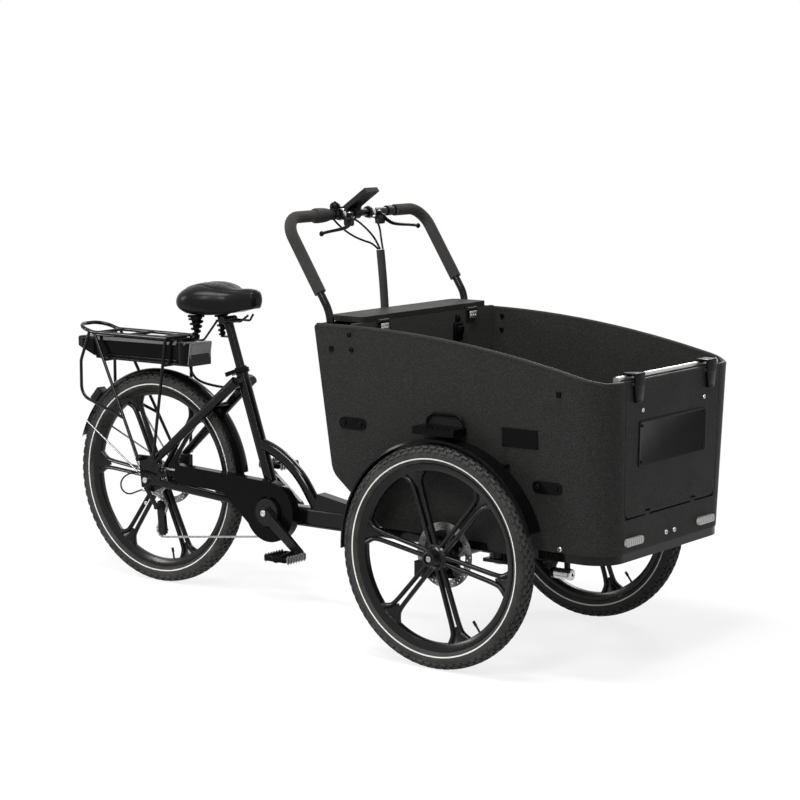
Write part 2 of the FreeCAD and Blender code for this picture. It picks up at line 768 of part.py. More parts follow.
def front_wheel_left():
    """Tyre, cast wheel and disc of the left front wheel, outer side towards +Y."""
    hub = ring_of([
        (-FRONT_HUB_INNER, 0), (-FRONT_HUB_INNER, FRONT_HUB_NECK), (-HUB_FLANGE_HALF, FRONT_HUB_RADIUS),
        (HUB_FLANGE_HALF, FRONT_HUB_RADIUS), (FRONT_BORE_DEPTH, FRONT_HUB_NECK), (FRONT_BORE_DEPTH, CAP_RADIUS),
        (FRONT_HUB_CAP - CAP_ROUND, CAP_RADIUS), (FRONT_HUB_CAP, CAP_RADIUS - CAP_ROUND), (FRONT_HUB_CAP, 0)])
    bore = cross_rod(0, 0, -FRONT_HUB_INNER - OVERRUN, FRONT_BORE_DEPTH, FRONT_AXLE_RADIUS + RUN_GAP)
    wheel = cast_wheel(FRONT_WHEEL_RADIUS, FRONT_SPOKE_ANGLE, hub, bore)
    disc = brake_disc(-FRONT_HUB_INNER - DISC_THICKNESS)
    place = (AX, FRONT_TRACK / 2, AZ)
    return [moved(shape, *place) for shape in (tyre(FRONT_WHEEL_RADIUS), wheel, disc)]


def rear_wheel():
    flange = REAR_HUB_RIGHT - (REAR_HUB_RADIUS - REAR_HUB_END_RADIUS)
    hub = ring_of([
        (-REAR_HUB_RIGHT, 0), (-REAR_HUB_RIGHT, REAR_HUB_END_RADIUS), (-flange, REAR_HUB_RADIUS),
        (flange, REAR_HUB_RADIUS), (REAR_HUB_RIGHT, REAR_HUB_END_RADIUS), (REAR_HUB_LEFT, REAR_HUB_END_RADIUS),
        (REAR_HUB_LEFT, 0)])
    bore = cross_rod(0, 0, -REAR_HUB_LEFT - OVERRUN, REAR_HUB_LEFT + OVERRUN, REAR_AXLE_RADIUS + RUN_GAP)
    wheel = cast_wheel(REAR_WHEEL_RADIUS, REAR_SPOKE_ANGLE, hub, bore)
    disc = brake_disc(REAR_HUB_LEFT)
    return [moved(shape, RX, 0, RZ) for shape in (tyre(REAR_WHEEL_RADIUS), wheel, disc)]


# Drive train

def pitch_radius(teeth):
    return teeth * CHAIN_PITCH / (2 * math.pi)


def tip_radius(teeth):
    return pitch_radius(teeth) - CHAIN_HEIGHT / 2 - CHAIN_GAP


def toothed_plate(teeth, y_low, thickness):
    tip = tip_radius(teeth)
    points = []
    for index in range(teeth * 2):
        radius = tip - TOOTH_DEPTH * (index % 2)
        points.append(polar(0, 0, radius, index * FULL_TURN / (teeth * 2)))
    return prism_y(polygon(points), y_low, y_low + thickness)


def freewheel_sprockets():
    bore = cross_rod(0, 0, -FREEWHEEL_OUTER - OVERRUN, 0, REAR_AXLE_RADIUS + RUN_GAP)
    solids = [cross_rod(0, 0, -FREEWHEEL_OUTER, -FREEWHEEL_INNER, FREEWHEEL_RADIUS)]
    for index, teeth in enumerate(SPROCKET_TEETH):
        middle = -(SPROCKET_FIRST + index * SPROCKET_PITCH)
        solids.append(toothed_plate(teeth, middle - SPROCKET_THICKNESS / 2, SPROCKET_THICKNESS))
    return moved(fuse(solids).cut(bore), RX, 0, RZ)


def jockey_place(reach, drop):
    return vec(RX + reach, CHAIN_Y, RZ - drop)


UPPER_JOCKEY = jockey_place(UPPER_JOCKEY_REACH, UPPER_JOCKEY_DROP)
LOWER_JOCKEY = jockey_place(LOWER_JOCKEY_REACH, LOWER_JOCKEY_DROP)


def jockey_wheel(place):
    half = JOCKEY_THICKNESS / 2
    wheel = cross_rod(place.x, place.z, place.y - half, place.y + half, JOCKEY_RADIUS)
    return wheel.cut(cross_rod(place.x, place.z, place.y - OVERRUN, place.y + OVERRUN, JOCKEY_PIN_RADIUS + RUN_GAP))


def chain_circles(side):
    """Circles that one edge of the chain follows: centre x, z, radius and sense of travel."""
    half = side * CHAIN_HEIGHT / 2
    jockey = JOCKEY_RADIUS + CHAIN_GAP + CHAIN_HEIGHT / 2
    return [
        (BX, BRACKET_Z, pitch_radius(CHAINRING_TEETH) + half, 1),
        (RX, RZ, pitch_radius(SPROCKET_TEETH[CHAIN_SPROCKET]) + half, 1),
        (UPPER_JOCKEY.x, UPPER_JOCKEY.z, jockey - half, -1),
        (LOWER_JOCKEY.x, LOWER_JOCKEY.z, jockey + half, 1),
    ]


def belt_wire(circles):
    """Closed wire of straight runs and arcs round a list of circles."""
    headings = []
    for index, (x, z, radius, sense) in enumerate(circles):
        next_x, next_z, next_radius, next_sense = circles[(index + 1) % len(circles)]
        across = next_sense * next_radius - sense * radius
        distance = math.hypot(next_x - x, next_z - z)
        headings.append(math.atan2(next_z - z, next_x - x) - math.asin(across / distance))
    edges = []
    for index, (x, z, radius, sense) in enumerate(circles):
        next_x, next_z, next_radius, next_sense = circles[(index + 1) % len(circles)]
        arrive = math.degrees(headings[index - 1]) - sense * FULL_TURN / 4
        leave = math.degrees(headings[index]) - sense * FULL_TURN / 4
        sweep = (sense * (leave - arrive)) % FULL_TURN
        edges.append(arc(polar(x, z, radius, arrive), polar(x, z, radius, arrive + sense * sweep / 2),
                         polar(x, z, radius, leave)))
        next_arrive = math.degrees(headings[index]) - next_sense * FULL_TURN / 4
        edges.append(line(polar(x, z, radius, leave), polar(next_x, next_z, next_radius, next_arrive)))
    return Part.Wire(edges)


def chain():
    outer = prism_y(belt_wire(chain_circles(1)), CHAIN_Y - CHAIN_WIDTH / 2, CHAIN_Y + CHAIN_WIDTH / 2)
    inner = prism_y(belt_wire(chain_circles(-1)), CHAIN_Y - CHAIN_WIDTH, CHAIN_Y + CHAIN_WIDTH)
    return outer.cut(inner)


def chainring():
    plate = toothed_plate(CHAINRING_TEETH, CHAIN_Y - CHAINRING_THICKNESS / 2, CHAINRING_THICKNESS)
    plate = plate.cut(cross_rod(0, 0, CHAIN_Y - OVERRUN, CHAIN_Y + OVERRUN, CHAINRING_HOLE))
    return moved(plate, BX, 0, BRACKET_Z)


def crank_arm(angle, y_low, y_high):
    """Tapered arm between the spindle and the pedal axle, about the spindle at the origin."""
    tip = vec(CRANK_LENGTH, 0, 0)
    web = prism_y(polygon([
        vec(0, 0, -CRANK_ROOT_RADIUS), vec(tip.x, 0, -CRANK_TIP_RADIUS),
        vec(tip.x, 0, CRANK_TIP_RADIUS), vec(0, 0, CRANK_ROOT_RADIUS)]), y_low, y_high)
    arm = fuse([web, cross_rod(0, 0, y_low, y_high, CRANK_ROOT_RADIUS),
                cross_rod(tip.x, 0, y_low, y_high, CRANK_TIP_RADIUS)])
    return turned_up(arm, angle)


def pedal_centre(angle):
    return polar(BX, BRACKET_Z, CRANK_LENGTH, angle)


CRANK_OUTER_Y = CRANK_INNER_Y + CRANK_THICKNESS
PEDAL_OUTER_Y = PEDAL_INNER_Y + PEDAL_WIDTH


def crank_arm_right():
    arm = crank_arm(CRANK_ANGLE, -CRANK_OUTER_Y, -CRANK_INNER_Y)
    spider = cross_rod(0, 0, -CRANK_INNER_Y, CHAIN_Y - CHAINRING_THICKNESS / 2, SPIDER_RADIUS)
    hole = cross_rod(0, 0, -CRANK_OUTER_Y + CRANK_THICKNESS / 2, 0, SPINDLE_RADIUS + SEAT_GAP)
    solid = moved(fuse([arm, spider]).cut(hole), BX, 0, BRACKET_Z)
    end = pedal_centre(CRANK_ANGLE)
    axle = cross_rod(end.x, end.z, -PEDAL_OUTER_Y + OVERRUN, -CRANK_INNER_Y, PEDAL_AXLE_RADIUS)
    return fuse([solid, axle])


def crank_arm_left():
    arm = moved(crank_arm(CRANK_ANGLE + FULL_TURN / 2, CRANK_INNER_Y, CRANK_OUTER_Y), BX, 0, BRACKET_Z)
    spindle = cross_rod(BX, BRACKET_Z, -CRANK_OUTER_Y + CRANK_THICKNESS / 2 + REST_GAP, CRANK_OUTER_Y, SPINDLE_RADIUS)
    end = pedal_centre(CRANK_ANGLE + FULL_TURN / 2)
    axle = cross_rod(end.x, end.z, CRANK_INNER_Y, PEDAL_OUTER_Y - OVERRUN, PEDAL_AXLE_RADIUS)
    return fuse([arm, spindle, axle])


def pedal(centre, side):
    """Platform with two long openings beside its axle core."""
    inner = side * PEDAL_INNER_Y
    outer = side * PEDAL_OUTER_Y
    low, high = sorted((inner, outer))
    half = PEDAL_LENGTH / 2
    rise = PEDAL_HEIGHT / 2
    body = block(vec(centre.x - half, low, centre.z - rise), vec(centre.x + half, high, centre.z + rise))
    edge = PEDAL_WIDTH * (1 - PEDAL_SLOT_SHARE * 2) / 2
    for sign in (-1, 1):
        near, far = sorted((centre.x + sign * PEDAL_LENGTH * PEDAL_CORE_SHARE,
                            centre.x + sign * (half - PEDAL_LENGTH * PEDAL_CORE_SHARE / 2)))
        body = body.cut(block(vec(near, low + edge, centre.z - PEDAL_HEIGHT),
                              vec(far, high - edge, centre.z + PEDAL_HEIGHT)))
    bore = cross_rod(centre.x, centre.z, low - OVERRUN, high + OVERRUN, PEDAL_AXLE_RADIUS + RUN_GAP)
    return body.cut(bore)


def chain_guard_outline(inset):
    radius = CHAIN_GUARD_RADIUS - inset
    rear = BX - CHAIN_GUARD_REAR + inset
    top = BRACKET_Z + CHAIN_GUARD_TOP_RISE - inset
    low = BRACKET_Z + CHAIN_GUARD_LOW_RISE + inset
    knee = BX - CHAIN_GUARD_KNEE
    circle = cross_rod(BX, BRACKET_Z, 0, 1, radius)
    band = prism_y(polygon([
        vec(rear, 0, top), vec(rear, 0, low), vec(knee, 0, BRACKET_Z + CHAIN_GUARD_KNEE_RISE + inset),
        vec(BX - CHAIN_GUARD_NECK, 0, BRACKET_Z - CHAIN_GUARD_NECK + inset),
        vec(BX, 0, BRACKET_Z), vec(BX, 0, BRACKET_Z + radius)]), 0, 1)
    return fuse([circle, band])


def slab_y(unit_slab, y_from, y_to):
    """Stretch a slab that lies between y = 0 and y = 1 to lie between two other planes."""
    face = [face for face in unit_slab.Faces if abs(face.CenterOfMass.y) < SLAB_TOLERANCE_SHARE]
    flat = Part.makeCompound(face)
    flat.translate(vec(0, y_from, 0))
    return Part.makeSolid(flat.Faces[0].extrude(vec(0, y_to - y_from, 0)))


SLAB_TOLERANCE_SHARE = 0.001


def stay_point(start, end, share):
    return start + (end.sub(start)) * share


def chain_stay_ends(side):
    front = vec(BX - CHAIN_STAY_BRACKET_BACK, side * CHAIN_STAY_BRACKET_Y, BRACKET_Z)
    rear = vec(RX + CHAIN_STAY_REACH, side * STAY_DROPOUT_Y, RZ - CHAIN_STAY_DROP)
    return front, rear


def chain_guard():
    outer_y = -CHAIN_GUARD_Y
    inner_y = outer_y + CHAIN_GUARD_DEPTH
    outline = chain_guard_outline(0)
    plate = slab_y(outline, outer_y, outer_y + CHAIN_GUARD_WALL)
    plate = plate.cut(cross_rod(BX, BRACKET_Z, outer_y - OVERRUN, 0, CHAIN_GUARD_WINDOW))
    wall = slab_y(outline, outer_y, inner_y)
    wall = wall.cut(slab_y(chain_guard_outline(CHAIN_GUARD_WALL), outer_y - OVERRUN, inner_y + OVERRUN))
    far = CHAIN_GUARD_REAR + OVERRUN
    wall = wall.cut(block(vec(BX - far, outer_y - OVERRUN, BRACKET_Z - far),
                          vec(BX, inner_y + OVERRUN, BRACKET_Z + CHAIN_GUARD_RADIUS - CHAIN_GUARD_WALL * 2)))
    rear_edge = BX - CHAIN_GUARD_REAR
    wall = wall.cut(block(vec(rear_edge - OVERRUN, outer_y - OVERRUN, BRACKET_Z),
                          vec(rear_edge + OVERRUN, inner_y + OVERRUN,
                              BRACKET_Z + CHAIN_GUARD_TOP_RISE - CHAIN_GUARD_WALL * 1.5)))
    solids = [plate, wall]
    front, rear = chain_stay_ends(-1)
    for share in GUARD_POST_SHARES:
        foot = stay_point(front, rear, share)
        solids.append(cross_rod(foot.x, foot.z, outer_y + CHAIN_GUARD_WALL / 2, foot.y - CHAIN_STAY_RADIUS - REST_GAP * 3,
                                GUARD_POST_RADIUS))
    return fuse(solids)


def rear_derailleur():
    inner = CHAIN_Y + JOCKEY_THICKNESS / 2 + CAGE_GAP
    outer = CHAIN_Y - JOCKEY_THICKNESS / 2 - CAGE_GAP
    solids = []
    for y_low in (inner, outer - CAGE_THICKNESS):
        for place in (UPPER_JOCKEY, LOWER_JOCKEY):
            solids.append(cross_rod(place.x, place.z, y_low, y_low + CAGE_THICKNESS, CAGE_RADIUS))
        run = LOWER_JOCKEY.sub(UPPER_JOCKEY)
        side = vec(run.z, 0, -run.x).normalize() * CAGE_RADIUS
        plan = [UPPER_JOCKEY + side, LOWER_JOCKEY + side, LOWER_JOCKEY - side, UPPER_JOCKEY - side]
        solids.append(prism_y(polygon([vec(p.x, 0, p.z) for p in plan]), y_low, y_low + CAGE_THICKNESS))
    for place in (UPPER_JOCKEY, LOWER_JOCKEY):
        solids.append(cross_rod(place.x, place.z, outer - CAGE_THICKNESS, inner + CAGE_THICKNESS, JOCKEY_PIN_RADIUS))
    hanger = vec(RX + HANGER_REACH, 0, RZ - HANGER_DROP)
    hanger_inner = -(DROPOUT_INNER_Y + DROPOUT_THICKNESS)
    solids.append(cross_rod(hanger.x, hanger.z, -HANGER_OUTER_Y, hanger_inner, HANGER_RADIUS))
    link_y = outer - CAGE_THICKNESS
    solids.append(rod(vec(hanger.x, -HANGER_OUTER_Y + LINK_WIDTH / 3, hanger.z),
                      vec(UPPER_JOCKEY.x, link_y - LINK_WIDTH, UPPER_JOCKEY.z), LINK_WIDTH / 2))
    solids.append(cross_rod(UPPER_JOCKEY.x, UPPER_JOCKEY.z, link_y - LINK_WIDTH * 1.5, link_y, LINK_WIDTH / 2))
    return fuse(solids)


def rear_axle():
    dropout = DROPOUT_INNER_Y + DROPOUT_THICKNESS
    end = dropout + AXLE_NUT_LENGTH
    solids = [cross_rod(RX, RZ, -end, end, REAR_AXLE_RADIUS)]
    for side in (-1, 1):
        solids.append(cross_rod(RX, RZ, side * dropout, side * end, AXLE_NUT_RADIUS))
        inner = {-1: FREEWHEEL_OUTER, 1: REAR_HUB_LEFT + DISC_THICKNESS}[side] + REST_GAP
        solids.append(cross_rod(RX, RZ, side * inner, side * DROPOUT_INNER_Y, AXLE_NUT_RADIUS))
    return fuse(solids)


def rear_brake_caliper():
    middle = REAR_HUB_LEFT + DISC_THICKNESS / 2
    place = polar(RX, RZ, REAR_CALIPER_ORBIT, REAR_CALIPER_ANGLE)
    half = REAR_CALIPER_SIZE / 2
    body = block(vec(place.x - half, middle - REAR_CALIPER_WIDTH / 2, place.z - half),
                 vec(place.x + half, middle + REAR_CALIPER_WIDTH / 2, place.z + half))
    body = body.cut(cross_rod(RX, RZ, middle - CALIPER_SLOT / 2, middle + CALIPER_SLOT / 2, DISC_RADIUS + OVERRUN / 2))
    foot = vec(RX + DROPOUT_LENGTH * DROPOUT_OUTLINE_SHARES[3][0] / 2, 0, RZ + DROPOUT_HEIGHT / 3)
    bolt = cross_rod(foot.x + CALIPER_ARM / 2, foot.z, middle + CALIPER_SLOT, DROPOUT_INNER_Y, CALIPER_ARM / 4)
    arm = rod(vec(foot.x + CALIPER_ARM / 2, middle + CALIPER_SLOT * 2, foot.z),
              vec(place.x, middle + CALIPER_SLOT * 2, place.z), CALIPER_ARM / 8)
    return fuse([body, bolt, arm])


# Rear frame

def seat_point(z):
    """Point on the seat tube's axis at a given height."""
    return vec(BX - SEAT_TUBE_OFFSET - (z - BRACKET_Z) * SEAT_LEAN, 0, z)


def seat_stay_ends(side):
    low = vec(RX + SEAT_STAY_REACH, side * STAY_DROPOUT_Y, RZ + SEAT_STAY_RISE)
    top = seat_point(SEAT_STAY_TOP_Z)
    return low, vec(top.x, side * SEAT_STAY_TOP_Y, top.z)


FENDER_OUTER_RADIUS = REAR_WHEEL_RADIUS + FENDER_CLEARANCE + FENDER_THICKNESS


def bridge_place():
    """Place on the seat stays, seen from the side, where the bridge just clears the mudguard."""
    low, top = seat_stay_ends(1)
    reach = FENDER_OUTER_RADIUS + BRIDGE_RADIUS + REST_GAP
    start = vec(low.x - RX, 0, low.z - RZ)
    run = vec(top.x - low.x, 0, top.z - low.z)
    square = run.dot(run)
    half_middle = start.dot(run)
    share = (-half_middle + math.sqrt(half_middle ** 2 - square * (start.dot(start) - reach ** 2))) / square
    return stay_point(low, top, share)


def main_frame():
    top = seat_point(SEAT_TUBE_TOP_Z)
    solids = [rod(seat_point(BRACKET_Z), top, SEAT_TUBE_RADIUS)]
    solids.append(cross_rod(BX, BRACKET_Z, -BRACKET_SHELL_HALF, BRACKET_SHELL_HALF, BRACKET_SHELL_RADIUS))
    solids.append(tube([seat_point(TOP_TUBE_START_Z), vec(BX + TOP_TUBE_CORNER_REACH, 0, TOP_TUBE_CORNER_Z),
                        vec(BX + TOP_TUBE_END_REACH, 0, BOOM_Z)], TOP_TUBE_BEND, TOP_TUBE_RADIUS))
    half = BOOM_WIDTH / 2
    rise = BOOM_HEIGHT / 2
    boom_loop = rounded_loop([vec(0, -half, -rise), vec(0, half, -rise), vec(0, half, rise), vec(0, -half, rise)],
                             [BOOM_ROUND] * 4)
    boom = Part.Face(boom_loop).extrude(vec(PIVOT_X - BX, 0, 0))
    solids.append(moved(boom, BX, 0, BOOM_Z))
    solids.append(rod(vec(PIVOT_X, 0, HEAD_LOW_Z), vec(PIVOT_X, 0, HEAD_HIGH_Z), HEAD_RADIUS))
    gusset = polygon([vec(BX + GUSSET_START_REACH, 0, BOOM_Z), vec(BX + GUSSET_PEAK_REACH, 0, GUSSET_PEAK_Z),
                      vec(BX + GUSSET_MID_REACH, 0, GUSSET_MID_Z), vec(BX + GUSSET_END_REACH, 0, BOOM_Z)])
    solids.append(prism_y(gusset, -GUSSET_WIDTH / 2, GUSSET_WIDTH / 2))
    for side in (-1, 1):
        solids.append(tapered_rod(*seat_stay_ends(side), STAY_RADIUS, STAY_TOP_RADIUS))
        solids.append(rod(*chain_stay_ends(side), CHAIN_STAY_RADIUS))
        outline = polygon([vec(RX + DROPOUT_LENGTH * x, 0, RZ + DROPOUT_HEIGHT * z) for x, z in DROPOUT_OUTLINE_SHARES])
        plate = prism_y(outline, DROPOUT_INNER_Y, DROPOUT_INNER_Y + DROPOUT_THICKNESS)
        solids.append(plate if side > 0 else mirrored(plate))
    joint = seat_point(SEAT_STAY_TOP_Z)
    solids.append(cross_rod(joint.x, joint.z, -SEAT_STAY_TOP_Y, SEAT_STAY_TOP_Y, STAY_RADIUS))
    bridge = bridge_place()
    solids.append(cross_rod(bridge.x, bridge.z, -bridge.y, bridge.y, BRIDGE_RADIUS))
    frame = fuse(solids)
    axis = top.sub(seat_point(BRACKET_Z)).normalize()
    frame = frame.cut(rod(seat_point(BORE_LOW_Z), top + axis * OVERRUN, POST_RADIUS + RUN_GAP))
    frame = frame.cut(cross_rod(BX, BRACKET_Z, -BRACKET_SHELL_HALF * 2, BRACKET_SHELL_HALF * 2,
                                SPINDLE_RADIUS + REST_GAP * 2))
    for side in (-1, 1):
        frame = frame.cut(cross_rod(BX, BRACKET_Z, side * BRACKET_SHELL_HALF, side * BRACKET_SHELL_HALF * 2,
                                    CUP_RADIUS + REST_GAP))
    frame = frame.cut(rod(vec(PIVOT_X, 0, HEAD_LOW_Z - OVERRUN), vec(PIVOT_X, 0, HEAD_HIGH_Z + OVERRUN),
                          PIN_RADIUS + RUN_GAP))
    span = DROPOUT_INNER_Y + DROPOUT_THICKNESS + OVERRUN
    return frame.cut(cross_rod(RX, RZ, -span, span, REAR_AXLE_RADIUS + SEAT_GAP))


def bottom_bracket_cups():
    cups = []
    for side in (-1, 1):
        cup = cross_rod(BX, BRACKET_Z, side * BRACKET_SHELL_HALF, side * (BRACKET_SHELL_HALF + CUP_WIDTH), CUP_RADIUS)
        cups.append(cup.cut(cross_rod(BX, BRACKET_Z, -CRANK_INNER_Y, CRANK_INNER_Y, SPINDLE_RADIUS + RUN_GAP)))
    return group(cups)


def curved_strip(inner_radius, half_width, crown, thickness):
    """Closed face of a crowned mudguard section in the XY plane, x being the radius."""
    edge = inner_radius - crown
    outer_edge = edge + thickness
    edges = [
        arc(vec(edge, -half_width, 0), vec(inner_radius, 0, 0), vec(edge, half_width, 0)),
        line(vec(edge, half_width, 0), vec(outer_edge, half_width, 0)),
        arc(vec(outer_edge, half_width, 0), vec(inner_radius + thickness, 0, 0), vec(outer_edge, -half_width, 0)),
        line(vec(outer_edge, -half_width, 0), vec(edge, -half_width, 0)),
    ]
    return Part.Face(Part.Wire(edges))


def swept_guard(face, start_angle, end_angle):
    face = turned_up(face, start_angle)
    return face.revolve(ORIGIN, Y_AXIS * -1, end_angle - start_angle)


def rear_mudguard():
    inner = REAR_WHEEL_RADIUS + FENDER_CLEARANCE
    strip = curved_strip(inner, FENDER_HALF, FENDER_CROWN, FENDER_THICKNESS)
    guard = moved(swept_guard(strip, FENDER_FRONT_ANGLE, FENDER_REAR_ANGLE), RX, 0, RZ)
    solids = [guard]
    outer_y = DROPOUT_INNER_Y + DROPOUT_THICKNESS + WIRE_RADIUS + REST_GAP * 4
    edge_y = FENDER_HALF + WIRE_RADIUS + REST_GAP
    for index, angle in enumerate(WIRE_ANGLES):
        end = polar(RX, RZ, inner - FENDER_CROWN + FENDER_THICKNESS, angle)
        foot = vec(RX - WIRE_FOOT_BACKS[index], 0, RZ + WIRE_FOOT_RISES[index])
        for side in (-1, 1):
            solids.append(rod(vec(foot.x, side * outer_y, foot.z), vec(end.x, side * edge_y, end.z), WIRE_RADIUS))
    lamp = block(vec(FENDER_OUTER_RADIUS + REST_GAP, -TAIL_WIDTH / 2, -TAIL_LENGTH / 2),
                 vec(FENDER_OUTER_RADIUS + TAIL_DEPTH, TAIL_WIDTH / 2, TAIL_LENGTH / 2))
    solids.append(moved(turned_up(lamp, TAIL_ANGLE), RX, 0, RZ))
    return group(solids)


# Rack and battery

def rack_strut(top_reach, foot_reach, foot_rise, side):
    top = vec(RX + top_reach, side * RACK_Y, RACK_Z)
    foot = vec(RX + foot_reach, side * STRUT_FOOT_Y, RZ + foot_rise)
    return top, foot


def rear_rack():
    rail = tube([
        vec(RX + RACK_FRONT, -RACK_Y, RACK_Z), vec(RX + RACK_KINK, -RACK_Y, RACK_Z),
        vec(RX + RACK_REAR, -RACK_Y, RACK_Z + RACK_LOOP_RISE), vec(RX + RACK_REAR, RACK_Y, RACK_Z + RACK_LOOP_RISE),
        vec(RX + RACK_KINK, RACK_Y, RACK_Z), vec(RX + RACK_FRONT, RACK_Y, RACK_Z)], RACK_BEND, RACK_RADIUS)
    solids = [rail]
    for place in (RACK_FRONT - RACK_RADIUS * 2,) + RUNG_PLACES:
        solids.append(cross_rod(RX + place, RACK_Z, -RACK_Y, RACK_Y, RUNG_RADIUS))
    struts = ((REAR_STRUT_TOP, REAR_STRUT_FOOT, REAR_STRUT_FOOT_RISE, DROPOUT_INNER_Y + DROPOUT_THICKNESS),
              (FRONT_STRUT_TOP, FRONT_STRUT_FOOT, FRONT_STRUT_FOOT_RISE, STAY_DROPOUT_Y + STAY_RADIUS))
    for top_reach, foot_reach, foot_rise, seat_y in struts:
        tray_share = (RACK_Z - TRAY_Z + CARRIER_RADIUS / 2) / (RACK_Z - RZ - foot_rise)
        for side in (-1, 1):
            top, foot = rack_strut(top_reach, foot_reach, foot_rise, side)
            solids.append(rod(top, foot, STRUT_RADIUS))
            solids.append(cross_rod(foot.x, foot.z, side * (seat_y + REST_GAP), side * (STRUT_FOOT_Y + STRUT_RADIUS),
                                    STRUT_BOSS_RADIUS))
        carrier = stay_point(top, foot, tray_share)
        solids.append(cross_rod(carrier.x, carrier.z, -carrier.y, carrier.y, CARRIER_RADIUS))
    loop_share = (PANNIER_TOP - RACK_KINK) / (RACK_REAR - RACK_KINK)
    for side in (-1, 1):
        top, foot = rack_strut(REAR_STRUT_TOP, REAR_STRUT_FOOT, REAR_STRUT_FOOT_RISE, side)
        end = stay_point(top, foot, PANNIER_END_SHARE)
        start = vec(RX + PANNIER_TOP, side * RACK_Y, RACK_Z + RACK_LOOP_RISE * loop_share)
        high = vec(RX + PANNIER_REAR, side * PANNIER_REAR_Y, PANNIER_HIGH_Z)
        low = vec(RX + PANNIER_REAR, side * PANNIER_REAR_Y, PANNIER_LOW_Z)
        solids.append(tube([start, high, low, end], PANNIER_BEND, STRUT_RADIUS))
    solids.append(block(vec(RX + TRAY_REAR, -TRAY_HALF, TRAY_Z), vec(RX + TRAY_FRONT, TRAY_HALF, TRAY_Z + TRAY_THICKNESS)))
    dock = block(vec(RX + TRAY_FRONT, -TRAY_HALF, TRAY_Z), vec(RX + DOCK_FRONT, TRAY_HALF, BATTERY_TOP_Z))
    return group([fuse(solids), dock])


def battery_case():
    low = TRAY_Z + TRAY_THICKNESS + REST_GAP
    front = RX + TRAY_FRONT - DOCK_REST
    rear = RX + BATTERY_REAR
    outline = [vec(rear, 0, BATTERY_REAR_LOW_Z), vec(rear + BATTERY_SLOPE, 0, low), vec(front, 0, low),
               vec(front, 0, BATTERY_TOP_Z), vec(rear, 0, BATTERY_REAR_TOP_Z)]
    radii = [BATTERY_ROUND, BATTERY_ROUND, 0, 0, BATTERY_ROUND]
    return prism_y(rounded_loop(outline, radii), -BATTERY_HALF, BATTERY_HALF)


# Seat

def on_seat_axis(shape):
    """Place a piece built round the Z axis at the top of the seat tube, along its slope."""
    shape.rotate(ORIGIN, Y_AXIS, -SEAT_TUBE_ANGLE)
    top = seat_point(SEAT_TUBE_TOP_Z)
    return moved(shape, top.x, top.y, top.z)


def seat_clamp():
    low = -CLAMP_HEIGHT
    collar = rod(vec(0, 0, low), ORIGIN, CLAMP_RADIUS)
    collar = collar.cut(rod(vec(0, 0, low - OVERRUN), vec(0, 0, OVERRUN), SEAT_TUBE_RADIUS + SEAT_GAP))
    ear = block(vec(-CLAMP_EAR_BACK, -CLAMP_EAR_WIDTH / 2, low), vec(-SEAT_TUBE_RADIUS - OVERRUN / 2, CLAMP_EAR_WIDTH / 2, 0))
    middle = low / 2
    half = QUICK_BOSS_HEIGHT / 2
    pivot_x = -CLAMP_EAR_BACK + QUICK_BOSS_RADIUS
    solids = [collar, ear]
    for tab_low in (middle - half - REST_GAP - QUICK_TAB, middle + half + REST_GAP):
        solids.append(block(vec(pivot_x - QUICK_BOSS_RADIUS, -LEVER_Y - QUICK_BOSS_RADIUS, tab_low),
                            vec(pivot_x + QUICK_BOSS_RADIUS, 0, tab_low + QUICK_TAB)))
    solids.append(rod(vec(pivot_x, -LEVER_Y, middle - half - QUICK_TAB), vec(pivot_x, -LEVER_Y, middle + half + QUICK_TAB),
                      QUICK_PIN_RADIUS))
    return on_seat_axis(fuse(solids))


def seat_clamp_lever():
    middle = -CLAMP_HEIGHT / 2
    half = QUICK_BOSS_HEIGHT / 2
    pivot_x = -CLAMP_EAR_BACK + QUICK_BOSS_RADIUS
    boss = rod(vec(pivot_x, -LEVER_Y, middle - half), vec(pivot_x, -LEVER_Y, middle + half), QUICK_BOSS_RADIUS)
    outer = -LEVER_Y - QUICK_BOSS_RADIUS
    blade = block(vec(pivot_x, outer, middle - half), vec(pivot_x + QUICK_LENGTH, outer + QUICK_BLADE, middle + half))
    hole = rod(vec(pivot_x, -LEVER_Y, middle - half - OVERRUN), vec(pivot_x, -LEVER_Y, middle + half + OVERRUN),
               QUICK_PIN_RADIUS + RUN_GAP)
    return on_seat_axis(fuse([boss, blade]).cut(hole))


def seat_post():
    return rod(seat_point(POST_LOW_Z), seat_point(POST_TOP_Z), POST_RADIUS)


SADDLE_X = RX + SADDLE_REAR


def saddle_section(station, half_share, top_share, low_share):
    x = SADDLE_X + SADDLE_LENGTH * station
    half = SADDLE_HALF * half_share
    low = SADDLE_LOW_Z + SADDLE_RISE * low_share
    rise = SADDLE_LOW_Z + SADDLE_RISE * top_share - low
    flat = half * SADDLE_FLAT_SHARE
    shoulder = half * SADDLE_SHOULDER_SHARE
    side_z = low + rise * SADDLE_SIDE_SHARE
    shoulder_z = low + rise * SADDLE_SHOULDER_RISE_SHARE
    return Part.Wire([
        line(vec(x, -flat, low), vec(x, flat, low)),
        arc(vec(x, flat, low), vec(x, half, side_z), vec(x, shoulder, shoulder_z)),
        arc(vec(x, shoulder, shoulder_z), vec(x, 0, low + rise), vec(x, -shoulder, shoulder_z)),
        arc(vec(x, -shoulder, shoulder_z), vec(x, -half, side_z), vec(x, -flat, low)),
    ])


def saddle():
    sections = [saddle_section(*shares) for shares in
                zip(SADDLE_STATION_SHARES, SADDLE_HALF_SHARES, SADDLE_TOP_SHARES, SADDLE_LOW_SHARES)]
    return Part.makeLoft(sections, True, False)


